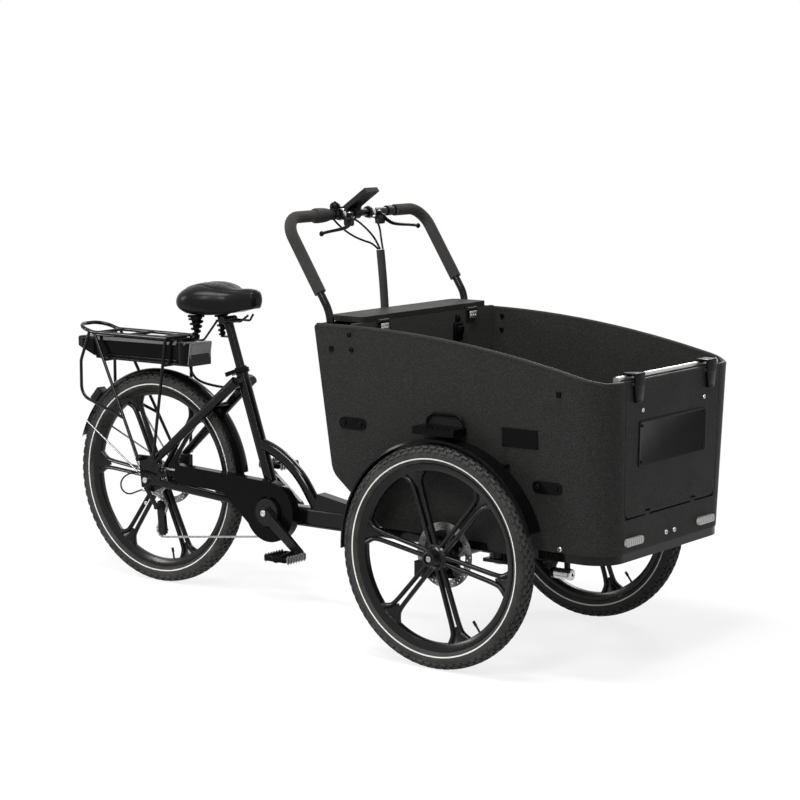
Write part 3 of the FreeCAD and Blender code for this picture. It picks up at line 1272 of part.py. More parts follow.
def tangent_arc(start, heading, end):
    """Arc that leaves start along heading and ends at end."""
    chord = end.sub(start)
    normal = (chord - heading * chord.dot(heading)).normalize()
    radius = chord.dot(chord) / (2 * chord.dot(normal))
    centre = start + normal * radius
    outward = ((start + end) * 0.5 - centre).normalize()
    return arc(start, centre + outward * radius, end)


def biarc(start, heading, end, end_heading):
    """Two arcs that join two points and match a heading at each."""
    chord = end.sub(start)
    both = heading + end_heading
    bend = 2 * (1 - heading.dot(end_heading))
    along = chord.dot(both)
    reach = (-along + math.sqrt(along ** 2 + bend * chord.dot(chord))) / bend
    middle = (start + end + (heading - end_heading) * reach) * 0.5
    first = tangent_arc(start, heading, middle)
    middle_heading = (end - end_heading * reach).sub(start + heading * reach).normalize()
    return [first, tangent_arc(middle, middle_heading, end)]


SPRING_TOP_Z = SADDLE_LOW_Z - REST_GAP - SPRING_CUP_HEIGHT
QUARTERS = 4


def spring_point(turn):
    """Place and heading on the cone-shaped coil after a number of turns from its foot."""
    share = turn / SPRING_TURNS
    radius = SPRING_LOW_RADIUS + (SPRING_TOP_RADIUS - SPRING_LOW_RADIUS) * share
    low = SPRING_LOW_Z + SPRING_WIRE
    rise = SPRING_TOP_Z - SPRING_WIRE - REST_GAP - low
    angle = 2 * math.pi * turn
    place = vec(radius * math.cos(angle), radius * math.sin(angle), low + rise * share)
    growth = (SPRING_TOP_RADIUS - SPRING_LOW_RADIUS) / (2 * math.pi * SPRING_TURNS)
    heading = vec(growth * math.cos(angle) - radius * math.sin(angle),
                  growth * math.sin(angle) + radius * math.cos(angle), rise / (2 * math.pi * SPRING_TURNS))
    return place, heading.normalize()


SPRING_SAMPLES = 48


def spring_gap():
    """Least gap between neighbouring turns, measured on points along the wire."""
    points = [spring_point(index / SPRING_SAMPLES)[0] for index in range(SPRING_TURNS * SPRING_SAMPLES + 1)]
    least = min(a.distanceToPoint(b) for i, a in enumerate(points) for b in points[i + SPRING_SAMPLES // 2:])
    return least - 2 * SPRING_WIRE


def saddle_spring():
    edges = []
    for quarter in range(SPRING_TURNS * QUARTERS):
        start, heading = spring_point(quarter / QUARTERS)
        end, end_heading = spring_point((quarter + 1) / QUARTERS)
        edges.extend(biarc(start, heading, end, end_heading))
    start, heading = spring_point(0)
    profile = Part.Wire(Part.makeCircle(SPRING_WIRE, start, heading))
    return Part.Wire(edges).makePipeShell([profile], True, False)


def saddle_springs():
    print("saddle spring gap", round(spring_gap(), 2))
    solids = []
    for side in (-1, 1):
        x = RX + SPRING_X
        y = side * SPRING_Y
        solids.append(moved(saddle_spring(), x, y, 0))
        solids.append(rod(vec(x, y, SPRING_TOP_Z), vec(x, y, SPRING_TOP_Z + SPRING_CUP_HEIGHT), SPRING_CUP_RADIUS))
        solids.append(rod(vec(x, y, SPRING_LOW_Z - REST_GAP - SPRING_FOOT_HEIGHT), vec(x, y, SPRING_LOW_Z - REST_GAP),
                          SPRING_FOOT_RADIUS))
    return group(solids)


def saddle_rails():
    """Two wire rails from under the nose to the spring feet, held by the clamp on the seat post."""
    head = seat_point(POST_TOP_Z)
    foot_z = SPRING_LOW_Z - REST_GAP - SPRING_FOOT_HEIGHT - RAIL_RADIUS - SEAT_GAP
    drop_x = RX + SPRING_X + SPRING_FOOT_RADIUS * 2
    solids = []
    for side in (-1, 1):
        solids.append(tube([
            vec(RX + RAIL_FRONT, side * RAIL_Y / 2, RAIL_NOSE_Z), vec(RX + RAIL_FRONT - RAIL_Y, side * RAIL_Y, RAIL_Z),
            vec(drop_x + RAIL_BEND, side * RAIL_Y, RAIL_Z), vec(drop_x, side * SPRING_Y, foot_z),
            vec(RX + SPRING_X - RAIL_RADIUS, side * SPRING_Y, foot_z)], RAIL_BEND / 2, RAIL_RADIUS))
    solids.append(cross_rod(head.x, RAIL_Z, -HEAD_CLAMP_HALF, HEAD_CLAMP_HALF, HEAD_CLAMP_RADIUS))
    clamp = fuse(solids)
    post_hole = rod(seat_point(POST_LOW_Z), head, POST_RADIUS + SEAT_GAP)
    return clamp.cut(post_hole)


# Cargo box

def box_half_width(z):
    return BOX_HALF_LOW + (BOX_HALF_TOP - BOX_HALF_LOW) * (z - BOX_LOW_Z) / (BOX_TOP_Z - BOX_LOW_Z)


def box_front(z):
    return AX + BOX_FRONT_LOW + (BOX_FRONT_TOP - BOX_FRONT_LOW) * (z - BOX_LOW_Z) / (BOX_TOP_Z - BOX_LOW_Z)


BOX_CUT_BACK = BOX_REAR_TOP_BACK + BAR_RADIUS * 4
BOX_CUT_Z = LID_LOW_Z + LID_THICKNESS


def box_plan(z, inset, rear_x):
    """Plan of the box at one height: square at the rear, round at the two front corners."""
    half = box_half_width(z) - inset
    front = box_front(z) - inset
    radius = BOX_CORNER_RADIUS - inset
    bend = radius * (1 - math.sqrt(0.5))
    return Part.Wire([
        line(vec(rear_x, -half, z), vec(front - radius, -half, z)),
        arc(vec(front - radius, -half, z), vec(front - bend, -half + bend, z), vec(front, -half + radius, z)),
        line(vec(front, -half + radius, z), vec(front, half - radius, z)),
        arc(vec(front, half - radius, z), vec(front - bend, half - bend, z), vec(front - radius, half, z)),
        line(vec(front - radius, half, z), vec(rear_x, half, z)),
        line(vec(rear_x, half, z), vec(rear_x, -half, z)),
    ])


def box_volume(inset, low_z, high_z, rear_x):
    return Part.makeLoft([box_plan(low_z, inset, rear_x), box_plan(high_z, inset, rear_x)], True, True)


def inner_volume():
    return box_volume(BOX_WALL + REST_GAP, BOX_LOW_Z, BOX_CUT_Z, AX - BOX_CUT_BACK)


def front_top_z():
    run = CREST_FRONT_REACH + CREST_BACK
    return BOX_TOP_Z - CREST_RADIUS + math.sqrt(CREST_RADIUS ** 2 - run ** 2)


def side_profile():
    """Side view of the box: flat rear top, long falling arc, square front, slanted and rounded rear."""
    crest = vec(AX - CREST_BACK, 0, BOX_TOP_Z)
    arc_end = vec(AX + CREST_FRONT_REACH, 0, front_top_z())
    middle_run = (CREST_FRONT_REACH + CREST_BACK) / 2
    middle = vec(crest.x + middle_run, 0, BOX_TOP_Z - CREST_RADIUS + math.sqrt(CREST_RADIUS ** 2 - middle_run ** 2))
    far_front = AX + BOX_FRONT_TOP + OVERRUN
    points = [
        arc_end, vec(far_front, 0, arc_end.z), vec(far_front, 0, BOX_LOW_Z), vec(AX - BOX_REAR_FOOT_BACK, 0, BOX_LOW_Z),
        vec(AX - BOX_REAR_KNEE_BACK, 0, BOX_REAR_KNEE_Z), vec(AX - BOX_REAR_TOP_BACK, 0, BOX_TOP_Z), crest]
    edges = rounded_edges(points, [0, 0, BOX_FOOT_ROUND, BOX_KNEE_ROUND, BOX_REAR_TOP_ROUND])
    edges.append(arc(crest, middle, arc_end))
    return Part.Wire(edges)


def box_walls():
    rear = AX - BOX_CUT_BACK
    outer = box_volume(0, BOX_LOW_Z - OVERRUN / 2, BOX_CUT_Z, rear)
    inner = box_volume(BOX_WALL, BOX_LOW_Z - OVERRUN, BOX_CUT_Z + OVERRUN, rear - OVERRUN)
    return outer.cut(inner).common(prism_y(side_profile(), -BOX_HALF_TOP * 2, BOX_HALF_TOP * 2))


def door_half(z):
    top = front_top_z()
    return DOOR_HALF_LOW + (DOOR_HALF_TOP - DOOR_HALF_LOW) * (z - DOOR_LOW_Z) / (top - DOOR_LOW_Z)


def door_prism(gap):
    """Volume of the door opening, drawn in by a gap at its sides and bottom."""
    low = DOOR_LOW_Z + gap
    high = BOX_TOP_Z
    x = AX + BOX_FRONT_LOW - BOX_CORNER_RADIUS
    points = [vec(x, -door_half(low) + gap, low), vec(x, door_half(low) - gap, low),
              vec(x, door_half(high) - gap, high), vec(x, -door_half(high) + gap, high)]
    face = Part.Face(rounded_loop(points, [DOOR_CORNER, DOOR_CORNER, 0, 0]))
    return face.extrude(vec(BOX_CORNER_RADIUS * 2, 0, 0))


def front_band():
    x = AX + BOX_FRONT_LOW - BOX_CORNER_RADIUS
    return block(vec(x, -FRONT_SEAM_Y, BOX_LOW_Z - OVERRUN), vec(x + BOX_CORNER_RADIUS * 2, FRONT_SEAM_Y, DOOR_LOW_Z))


WALLS = box_walls()


def box_side(side):
    far = BOX_HALF_TOP * 2
    low, high = sorted((0, side * far))
    keep = block(vec(AX - far, low, 0), vec(AX + far, high, BOX_CUT_Z))
    return WALLS.common(keep).cut(door_prism(0)).cut(front_band()).cut(door_swing())


def door_swing():
    """Room before the hinge axis that the door's rounded lower corners sweep as it opens."""
    far = DOOR_HALF_LOW - DOOR_GAP * 2
    round_room = cross_rod(DOOR_AXIS_X, DOOR_AXIS_Z, -far, far, DOOR_SWING_RADIUS)
    return round_room.common(block(vec(DOOR_AXIS_X - DOOR_GAP - REST_GAP * 2, -far, DOOR_AXIS_Z - DOOR_SWING_RADIUS),
                                   vec(DOOR_AXIS_X + BOX_WALL, far, DOOR_AXIS_Z + DOOR_SWING_RADIUS)))


def box_front_panel():
    return WALLS.common(front_band())


DOOR_AXIS_Z = DOOR_LOW_Z + DOOR_GAP + DOOR_AXIS_RISE
DOOR_AXIS_X = box_front(DOOR_AXIS_Z) - DOOR_AXIS_INSET
DOOR_SWING_RADIUS = math.hypot(DOOR_AXIS_INSET + REST_GAP * 2, DOOR_AXIS_INSET + REST_GAP * 2)
LATCH_AXIS_Z = front_top_z() - LATCH_AXIS_DROP
LATCH_AXIS_X = box_front(LATCH_AXIS_Z) + LATCH_STANDOFF


def box_front_door():
    door = WALLS.common(door_prism(DOOR_GAP))
    far = DOOR_HALF_TOP
    corner = block(vec(DOOR_AXIS_X, -far, DOOR_LOW_Z), vec(DOOR_AXIS_X + BOX_WALL, far, DOOR_AXIS_Z))
    door = door.cut(corner.cut(cross_rod(DOOR_AXIS_X, DOOR_AXIS_Z, -far, far, DOOR_AXIS_RISE)))
    notch = DOOR_LUG_WIDTH / 2 + DOOR_LUG_GAP
    for side in (-1, 1):
        y = side * DOOR_LUG_Y
        door = door.cut(block(vec(DOOR_AXIS_X - BOX_WALL, y - notch, DOOR_LOW_Z),
                              vec(DOOR_AXIS_X + BOX_WALL, y + notch, DOOR_AXIS_Z + DOOR_NOTCH_RISE)))
        reach = DOOR_PIN_REACH + RUN_GAP
        door = door.cut(cross_rod(DOOR_AXIS_X, DOOR_AXIS_Z, y - reach, y + reach, DOOR_PIN_RADIUS + RUN_GAP))
    solids = [door]
    ear_inner = LATCH_WIDTH / 2 + REST_GAP
    ear_outer = ear_inner + LATCH_EAR_WIDTH
    for side in (-1, 1):
        y = side * LATCH_Y
        for low, high in ((y - ear_outer, y - ear_inner), (y + ear_inner, y + ear_outer)):
            solids.append(block(vec(LATCH_AXIS_X - LATCH_STANDOFF * 2, low, LATCH_AXIS_Z - LATCH_BARREL_RADIUS),
                                vec(LATCH_AXIS_X + LATCH_THICKNESS / 2, high, LATCH_AXIS_Z + LATCH_BARREL_RADIUS)))
        solids.append(cross_rod(LATCH_AXIS_X, LATCH_AXIS_Z, y - ear_outer, y + ear_outer, LATCH_PIN_RADIUS))
    return fuse(solids)


def door_latch(side):
    y = side * LATCH_Y
    half = LATCH_WIDTH / 2
    barrel = cross_rod(LATCH_AXIS_X, LATCH_AXIS_Z, y - half, y + half, LATCH_BARREL_RADIUS)
    x = LATCH_AXIS_X + LATCH_THICKNESS / 2
    outline = rounded_loop([
        vec(x, y - half, LATCH_AXIS_Z - LATCH_HEIGHT), vec(x, y + half, LATCH_AXIS_Z - LATCH_HEIGHT),
        vec(x, y + half, LATCH_AXIS_Z), vec(x, y - half, LATCH_AXIS_Z)],
        [LATCH_HEIGHT / 4, LATCH_HEIGHT / 4, 0, 0])
    tab = Part.Face(outline).extrude(vec(-LATCH_THICKNESS, 0, 0))
    hole = cross_rod(LATCH_AXIS_X, LATCH_AXIS_Z, y - LATCH_WIDTH, y + LATCH_WIDTH, LATCH_PIN_RADIUS + RUN_GAP)
    return fuse([barrel, tab]).cut(hole)


def front_crossbar():
    wall_x = box_front(CROSSBAR_Z) - BOX_WALL
    x = wall_x - CROSSBAR_RADIUS - CROSSBAR_DOOR_GAP
    solids = [cross_rod(x, CROSSBAR_Z, -CROSSBAR_HALF, CROSSBAR_HALF, CROSSBAR_RADIUS)]
    low = front_top_z() - CROSSBAR_CLAMP_DROP
    reach = box_front(low) - BOX_WALL - REST_GAP * 3
    for side in (-1, 1):
        near, far = sorted((side * CROSSBAR_HALF, side * (CROSSBAR_HALF - CROSSBAR_CLAMP_WIDTH)))
        solids.append(block(vec(x - CROSSBAR_RADIUS, near, low), vec(reach, far, CROSSBAR_Z)))
    return fuse(solids)


def rear_line():
    """The slanted rear edge of the box sides, from the top to below the foot."""
    knee = vec(AX - BOX_REAR_KNEE_BACK, 0, BOX_REAR_KNEE_Z)
    foot = vec(AX - BOX_REAR_FOOT_BACK, 0, BOX_LOW_Z)
    run = foot.sub(knee)
    return vec(AX - BOX_REAR_TOP_BACK, 0, BOX_TOP_Z), knee, foot + run * (REAR_PANEL_INSET / run.Length)


def rear_line_x(z):
    top, knee, foot = rear_line()
    return top.x + (knee.x - top.x) * (top.z - z) / (top.z - knee.z)


def offset_rear_line(distance):
    """The rear edge moved into the box by a distance, with its knee kept sharp."""
    top, knee, foot = rear_line()
    upper = knee.sub(top).normalize()
    lower = foot.sub(knee).normalize()
    upper_normal = vec(-upper.z, 0, upper.x)
    lower_normal = vec(-lower.z, 0, lower.x)
    bisector = (upper_normal + lower_normal).normalize()
    knee_reach = distance / bisector.dot(upper_normal)
    return [top + upper_normal * distance, knee + bisector * knee_reach, foot + lower_normal * distance]


def rear_strip(near, far):
    loop = offset_rear_line(near) + list(reversed(offset_rear_line(far)))
    return prism_y(polygon(loop), -BOX_HALF_TOP * 2, BOX_HALF_TOP * 2)


REAR_PANEL_FAR = REAR_PANEL_INSET + REAR_PANEL_THICKNESS


def box_rear_panel():
    return rear_strip(REAR_PANEL_INSET, REAR_PANEL_FAR).common(inner_volume())


def storage_partition():
    front = AX - PARTITION_FRONT_BACK
    slab = block(vec(front - PARTITION_THICKNESS, -BOX_HALF_TOP, BOX_LOW_Z),
                 vec(front, BOX_HALF_TOP, LID_LOW_Z - REST_GAP))
    return slab.common(inner_volume()).cut(rear_strip(-REAR_CLEARANCE, REAR_PANEL_FAR + REST_GAP))


def box_floor():
    slab = block(vec(AX - BOX_REAR_FOOT_BACK - REAR_PANEL_INSET, -BOX_HALF_TOP, BOX_LOW_Z),
                 vec(AX + BOX_FRONT_TOP, BOX_HALF_TOP, BOX_LOW_Z + FLOOR_THICKNESS))
    return slab.common(inner_volume()).cut(rear_strip(-REAR_CLEARANCE, REAR_PANEL_FAR + REST_GAP))


HINGE_X = AX - PARTITION_FRONT_BACK + HINGE_STANDOFF


def hinge_spans(y):
    half = HINGE_WIDTH / 2
    centre = HINGE_WIDTH * HINGE_CENTRE_SHARE / 2
    gap = HINGE_KNUCKLE_GAP
    return (y - centre, y + centre), ((y - half, y - centre - gap), (y + centre + gap, y + half))


def knuckle(span, z_low, z_high):
    low, high = span
    barrel = cross_rod(HINGE_X, LID_LOW_Z, low, high, HINGE_KNUCKLE_RADIUS)
    web = block(vec(HINGE_X - HINGE_STANDOFF, low, z_low), vec(HINGE_X, high, z_high))
    return fuse([barrel, web])


def box_hinges():
    """Fixed halves: the lid's lower hinge leaves with pins, and the door's lugs with pins."""
    solids = []
    face_x = HINGE_X - HINGE_STANDOFF
    for y in HINGE_YS:
        centre, sides = hinge_spans(y)
        half = HINGE_WIDTH / 2
        leaf_top = LID_LOW_Z - HINGE_KNUCKLE_RADIUS
        leaf = block(vec(face_x, y - half, LID_LOW_Z - HINGE_LEAF_DROP), vec(face_x + HINGE_LEAF, y + half, leaf_top))
        pin = cross_rod(HINGE_X, LID_LOW_Z, y - half, y + half, HINGE_PIN_RADIUS)
        solids.append(fuse([leaf, knuckle(centre, leaf_top - HINGE_LEAF, LID_LOW_Z - REST_GAP), pin]))
    for side in (-1, 1):
        y = side * DOOR_LUG_Y
        half = DOOR_LUG_WIDTH / 2
        lug = block(vec(DOOR_AXIS_X - DOOR_AXIS_RISE, y - half, DOOR_LOW_Z),
                    vec(DOOR_AXIS_X + DOOR_AXIS_RISE, y + half, DOOR_AXIS_Z))
        eye = cross_rod(DOOR_AXIS_X, DOOR_AXIS_Z, y - half, y + half, DOOR_AXIS_RISE)
        pin = cross_rod(DOOR_AXIS_X, DOOR_AXIS_Z, y - DOOR_PIN_REACH, y + DOOR_PIN_REACH, DOOR_PIN_RADIUS)
        solids.append(fuse([lug, eye, pin]))
    return group(solids)


def storage_lid():
    front = AX - PARTITION_FRONT_BACK
    rear = AX - LID_REAR_BACK
    loop = rounded_loop([
        vec(rear, -LID_HALF, LID_LOW_Z), vec(front, -LID_HALF, LID_LOW_Z),
        vec(front, LID_HALF, LID_LOW_Z), vec(rear, LID_HALF, LID_LOW_Z)],
        [LID_CORNER, LID_CORNER / 2, LID_CORNER / 2, LID_CORNER])
    lid = Part.Face(loop).extrude(vec(0, 0, LID_THICKNESS))
    solids = [lid]
    for y in HINGE_YS:
        centre, sides = hinge_spans(y)
        half = HINGE_WIDTH / 2
        leaf = block(vec(front, y - half, LID_LOW_Z), vec(front + HINGE_LEAF, y + half, LID_LOW_Z + LID_THICKNESS))
        leaf = fuse([leaf] + [knuckle(span, LID_LOW_Z, LID_LOW_Z + HINGE_KNUCKLE_RADIUS) for span in sides])
        hole = cross_rod(HINGE_X, LID_LOW_Z, y - HINGE_WIDTH, y + HINGE_WIDTH, HINGE_PIN_RADIUS + RUN_GAP)
        solids.append(leaf.cut(hole))
    return group(solids)


# Front subframe and steering

def front_subframe():
    rear = AX - BASE_REAR_BACK
    solids = []
    outer = Part.Face(box_plan(BOX_LOW_Z, BASE_INSET, rear)).extrude(vec(0, 0, BASE_LOW_Z - BOX_LOW_Z))
    inner_wire = box_plan(BOX_LOW_Z, BASE_INSET + BASE_RAIL, rear + BASE_RAIL)
    inner = Part.Face(inner_wire).extrude(vec(0, 0, BASE_LOW_Z - BOX_LOW_Z))
    solids.append(outer.cut(inner))
    rail_half = BOX_HALF_LOW - BASE_INSET - BASE_RAIL / 2
    for reach in LADDER_REACHES:
        solids.append(block(vec(AX + reach - LADDER_WIDTH / 2, -rail_half, BASE_LOW_Z),
                            vec(AX + reach + LADDER_WIDTH / 2, rail_half, BOX_LOW_Z)))
    plate_inner = END_PLATE_OUTER_Y - END_PLATE_THICKNESS
    solids.append(cross_rod(AX, AZ, -plate_inner, plate_inner, BEAM_RADIUS))
    for side in (-1, 1):
        near, far = sorted((side * plate_inner, side * END_PLATE_OUTER_Y))
        solids.append(block(vec(AX - END_PLATE_BACK, near, END_PLATE_LOW_Z), vec(AX + END_PLATE_FRONT, far, BOX_LOW_Z)))
        near, far = sorted((side * rail_half, side * plate_inner))
        solids.append(block(vec(AX - END_PLATE_FRONT, near, BASE_LOW_Z), vec(AX + END_PLATE_FRONT, far, BOX_LOW_Z)))
    low = HEAD_LOW_Z - 1.5 * REST_GAP
    high = HEAD_HIGH_Z + 1.5 * REST_GAP
    solids.append(block(vec(PIVOT_X - YOKE_REAR, -YOKE_HALF, high), vec(PIVOT_X + YOKE_REAR, YOKE_HALF, BASE_LOW_Z)))
    solids.append(block(vec(PIVOT_X - YOKE_REAR, -YOKE_HALF, low - YOKE_THICKNESS), vec(AX + WEB_FRONT, YOKE_HALF, low)))
    web_rear = PIVOT_X + HEAD_RADIUS + WEB_REAR_GAP
    solids.append(block(vec(web_rear, -YOKE_HALF, low - YOKE_THICKNESS), vec(AX + WEB_FRONT, YOKE_HALF, AZ)))
    frame = fuse(solids)
    return frame.cut(rod(vec(PIVOT_X, 0, low - YOKE_THICKNESS - OVERRUN), vec(PIVOT_X, 0, BOX_LOW_Z + OVERRUN),
                         PIN_RADIUS + SEAT_GAP))


def steering_pin():
    low = HEAD_LOW_Z - 1.5 * REST_GAP - YOKE_THICKNESS
    pin = rod(vec(PIVOT_X, 0, low - PIN_HEAD_HEIGHT), vec(PIVOT_X, 0, BOX_LOW_Z - REST_GAP), PIN_RADIUS)
    head = rod(vec(PIVOT_X, 0, low - PIN_HEAD_HEIGHT), vec(PIVOT_X, 0, low), PIN_HEAD_RADIUS)
    return fuse([pin, head])


def front_axles():
    solids = []
    hub_mid = FRONT_TRACK / 2
    shoulder_end = hub_mid - FRONT_HUB_INNER - DISC_THICKNESS - REST_GAP
    tip = hub_mid + FRONT_BORE_DEPTH - REST_GAP
    for side in (-1, 1):
        stub = cross_rod(AX, AZ, side * END_PLATE_OUTER_Y, side * tip, FRONT_AXLE_RADIUS)
        shoulder = cross_rod(AX, AZ, side * END_PLATE_OUTER_Y, side * shoulder_end, AXLE_SHOULDER_RADIUS)
        solids.append(fuse([stub, shoulder]))
    return group(solids)


def front_brake_calipers():
    middle = FRONT_TRACK / 2 - FRONT_HUB_INNER - DISC_THICKNESS / 2
    place = polar(AX, AZ, CALIPER_ORBIT, CALIPER_ANGLE)
    body = block(vec(place.x - CALIPER_LENGTH / 2, middle - CALIPER_WIDTH / 2, place.z - CALIPER_HEIGHT / 2),
                 vec(place.x + CALIPER_LENGTH / 2, middle + CALIPER_WIDTH / 2, place.z + CALIPER_HEIGHT / 2))
    body = body.cut(cross_rod(AX, AZ, middle - CALIPER_SLOT / 2, middle + CALIPER_SLOT / 2, DISC_RADIUS + OVERRUN / 2))
    arm = block(vec(place.x - CALIPER_ARM / 2, END_PLATE_OUTER_Y, place.z - CALIPER_ARM / 2),
                vec(place.x + CALIPER_ARM / 2, middle - CALIPER_WIDTH / 3, place.z + CALIPER_ARM / 2))
    caliper = fuse([body, arm])
    return group([caliper, mirrored(caliper)])


# Handlebar and controls

BAR_X = AX - BAR_BACK


def pole_point(z):
    """Place on the left pole between its foot and its first bend."""
    y = box_half_width(z) - BOX_WALL - POLE_WALL_GAP - BAR_RADIUS
    return vec(rear_line_x(z) + POLE_INSET, y, z)


def bar_corner():
    """Corner of the handlebar where the left pole turns into the bar."""
    return vec(BAR_X, pole_point(POLE_BEND_Z).y, BAR_Z)


def handlebar_tube(radius):
    left = [pole_point(POLE_LOW_Z), pole_point(POLE_BEND_Z), bar_corner()]
    right = [vec(p.x, -p.y, p.z) for p in reversed(left)]
    points = left + right
    edges = rounded_edges(points, [POLE_BEND, BAR_BEND, BAR_BEND, POLE_BEND])
    profile = Part.Wire(Part.makeCircle(radius, points[0], points[1].sub(points[0])))
    return Part.Wire(edges).makePipeShell([profile], True, False)


def foam_grip():
    bend = pole_point(POLE_BEND_Z)
    top = bar_corner()
    low = stay_point(bend, top, FOAM_LOW_SHARE + POLE_BEND / (BAR_Z - POLE_BEND_Z) / 4)
    points = [low, top, vec(BAR_X, FOAM_END_Y, BAR_Z)]
    core = [stay_point(low, bend, OVERRUN / low.distanceToPoint(bend)), top, vec(BAR_X, FOAM_END_Y - OVERRUN, BAR_Z)]
    return tube(points, BAR_BEND, FOAM_RADIUS).cut(tube(core, BAR_BEND, BAR_RADIUS + SEAT_GAP))


def foam_grips():
    grip = foam_grip()
    return group([grip, mirrored(grip)])


def bar_ring(y_low, y_high, radius, bore):
    ring = cross_rod(BAR_X, BAR_Z, y_low, y_high, radius)
    return ring.cut(cross_rod(BAR_X, BAR_Z, y_low - OVERRUN, y_high + OVERRUN, bore))


def twist_shifter():
    points = []
    for index in range(SHIFTER_RIBS * 2):
        points.append(polar(BAR_X, BAR_Z, SHIFTER_RADIUS - SHIFTER_RIB_DEPTH * (index % 2),
                            index * FULL_TURN / (SHIFTER_RIBS * 2)))
    sleeve = prism_y(polygon(points), -SHIFTER_OUTER_Y, -SHIFTER_INNER_Y)
    return sleeve.cut(cross_rod(BAR_X, BAR_Z, -SHIFTER_OUTER_Y - OVERRUN, -SHIFTER_INNER_Y + OVERRUN,
                                BAR_RADIUS + RUN_GAP))


LEVER_X = BAR_X + LEVER_PIVOT_REACH
LEVER_Z = BAR_Z - LEVER_PIVOT_DROP


def lever_mount_left():
    ring = bar_ring(MOUNT_Y - MOUNT_WIDTH / 2, MOUNT_Y + MOUNT_WIDTH / 2, MOUNT_RADIUS, BAR_RADIUS + SEAT_GAP)
    arm = block(vec(BAR_X + BAR_RADIUS + SEAT_GAP, MOUNT_Y - LEVER_BOSS_RADIUS, LEVER_Z - LEVER_ARM_HEIGHT),
                vec(LEVER_X + LEVER_BOSS_RADIUS, MOUNT_Y + LEVER_BOSS_RADIUS, LEVER_Z))
    pin = rod(vec(LEVER_X, MOUNT_Y, LEVER_Z - LEVER_ARM_HEIGHT / 2),
              vec(LEVER_X, MOUNT_Y, LEVER_Z + LEVER_BOSS_HEIGHT + REST_GAP * 2), LEVER_PIN_RADIUS)
    return fuse([ring, arm, pin])


def brake_lever_left():
    low = LEVER_Z + REST_GAP
    boss = rod(vec(LEVER_X, MOUNT_Y, low), vec(LEVER_X, MOUNT_Y, low + LEVER_BOSS_HEIGHT), LEVER_BOSS_RADIUS)
    middle = low + LEVER_BOSS_HEIGHT / 2
    points = [vec(LEVER_X + LEVER_LENGTH * x, MOUNT_Y + LEVER_LENGTH * y, middle + LEVER_LENGTH * z)
              for x, y, z in LEVER_ROUTE_SHARES]
    blade = tube(points, LEVER_BEND, LEVER_RADIUS)
    ball = Part.makeSphere(LEVER_BALL_RADIUS, points[-1])
    hole = rod(vec(LEVER_X, MOUNT_Y, low - OVERRUN), vec(LEVER_X, MOUNT_Y, low + LEVER_BOSS_HEIGHT + OVERRUN),
               LEVER_PIN_RADIUS + RUN_GAP)
    return fuse([boss, blade, ball]).cut(hole)


def display_unit():
    half_length = DISPLAY_LENGTH / 2
    panel = block(vec(-half_length, -DISPLAY_WIDTH / 2, -DISPLAY_THICKNESS / 2),
                  vec(half_length, DISPLAY_WIDTH / 2, DISPLAY_THICKNESS / 2))
    centre = vec(BAR_X + DISPLAY_REACH, 0, BAR_Z + DISPLAY_RISE)
    panel = moved(turned_up(panel, DISPLAY_TILT), centre.x, centre.y, centre.z)
    ring = bar_ring(-STALK_RADIUS * 1.5, STALK_RADIUS * 1.5, MOUNT_RADIUS, BAR_RADIUS + SEAT_GAP)
    stalk = rod(vec(BAR_X + BAR_RADIUS, 0, BAR_Z + BAR_RADIUS), centre, STALK_RADIUS)
    stalk = stalk.cut(cross_rod(BAR_X, BAR_Z, -MOUNT_WIDTH, MOUNT_WIDTH, BAR_RADIUS + SEAT_GAP))
    return fuse([panel, ring, stalk])


def bell():
    ring = bar_ring(-BELL_Y - BELL_WIDTH / 2, -BELL_Y + BELL_WIDTH / 2, COLLAR_RADIUS, BAR_RADIUS + SEAT_GAP)
    dome = Part.makeSphere(BELL_RADIUS, vec(BAR_X, -BELL_Y, BAR_Z + COLLAR_RADIUS - BELL_WIDTH / 4))
    dome = dome.common(block(vec(BAR_X - BELL_RADIUS, -BELL_Y - BELL_RADIUS, BAR_Z + COLLAR_RADIUS - BELL_WIDTH / 4),
                             vec(BAR_X + BELL_RADIUS, -BELL_Y + BELL_RADIUS, BAR_Z + COLLAR_RADIUS + BELL_RADIUS)))
    return fuse([ring, dome])


def bar_fittings():
    mount = lever_mount_left()
    collar = bar_ring(COLLAR_Y - COLLAR_WIDTH / 2, COLLAR_Y + COLLAR_WIDTH / 2, COLLAR_RADIUS, BAR_RADIUS + SEAT_GAP)
    cable_collar = bar_ring(-SHIFTER_INNER_Y + REST_GAP * 2, -CABLE_COLLAR_Y + COLLAR_WIDTH / 4, CABLE_COLLAR_RADIUS,
                            BAR_RADIUS + SEAT_GAP)
    return group([mount, mirrored(mount), collar, cable_collar, bell(), display_unit()])


def control_cables():
    sleeve = cord(route(SLEEVE_ROUTE, AX), SLEEVE_RADIUS, "cable sleeve")
    solids = [sleeve.cut(rear_strip(REAR_PANEL_INSET - REST_GAP, REAR_CLEARANCE))]
    for name, points in (("right brake cable", RIGHT_BRAKE_ROUTE), ("left brake cable", LEFT_BRAKE_ROUTE),
                         ("shift cable", SHIFT_ROUTE)):
        solids.append(cord(route(points, AX), CABLE_RADIUS, name))
    return group(solids)


def frame_cables():
    return group([cord(route(LEAD_ROUTE, RX), LEAD_RADIUS, "battery lead"),
                  cord(route(SHIFT_LOOP_ROUTE, RX), SHIFT_CABLE_RADIUS, "shift cable loop")])


# Front mudguards, steps and box hardware

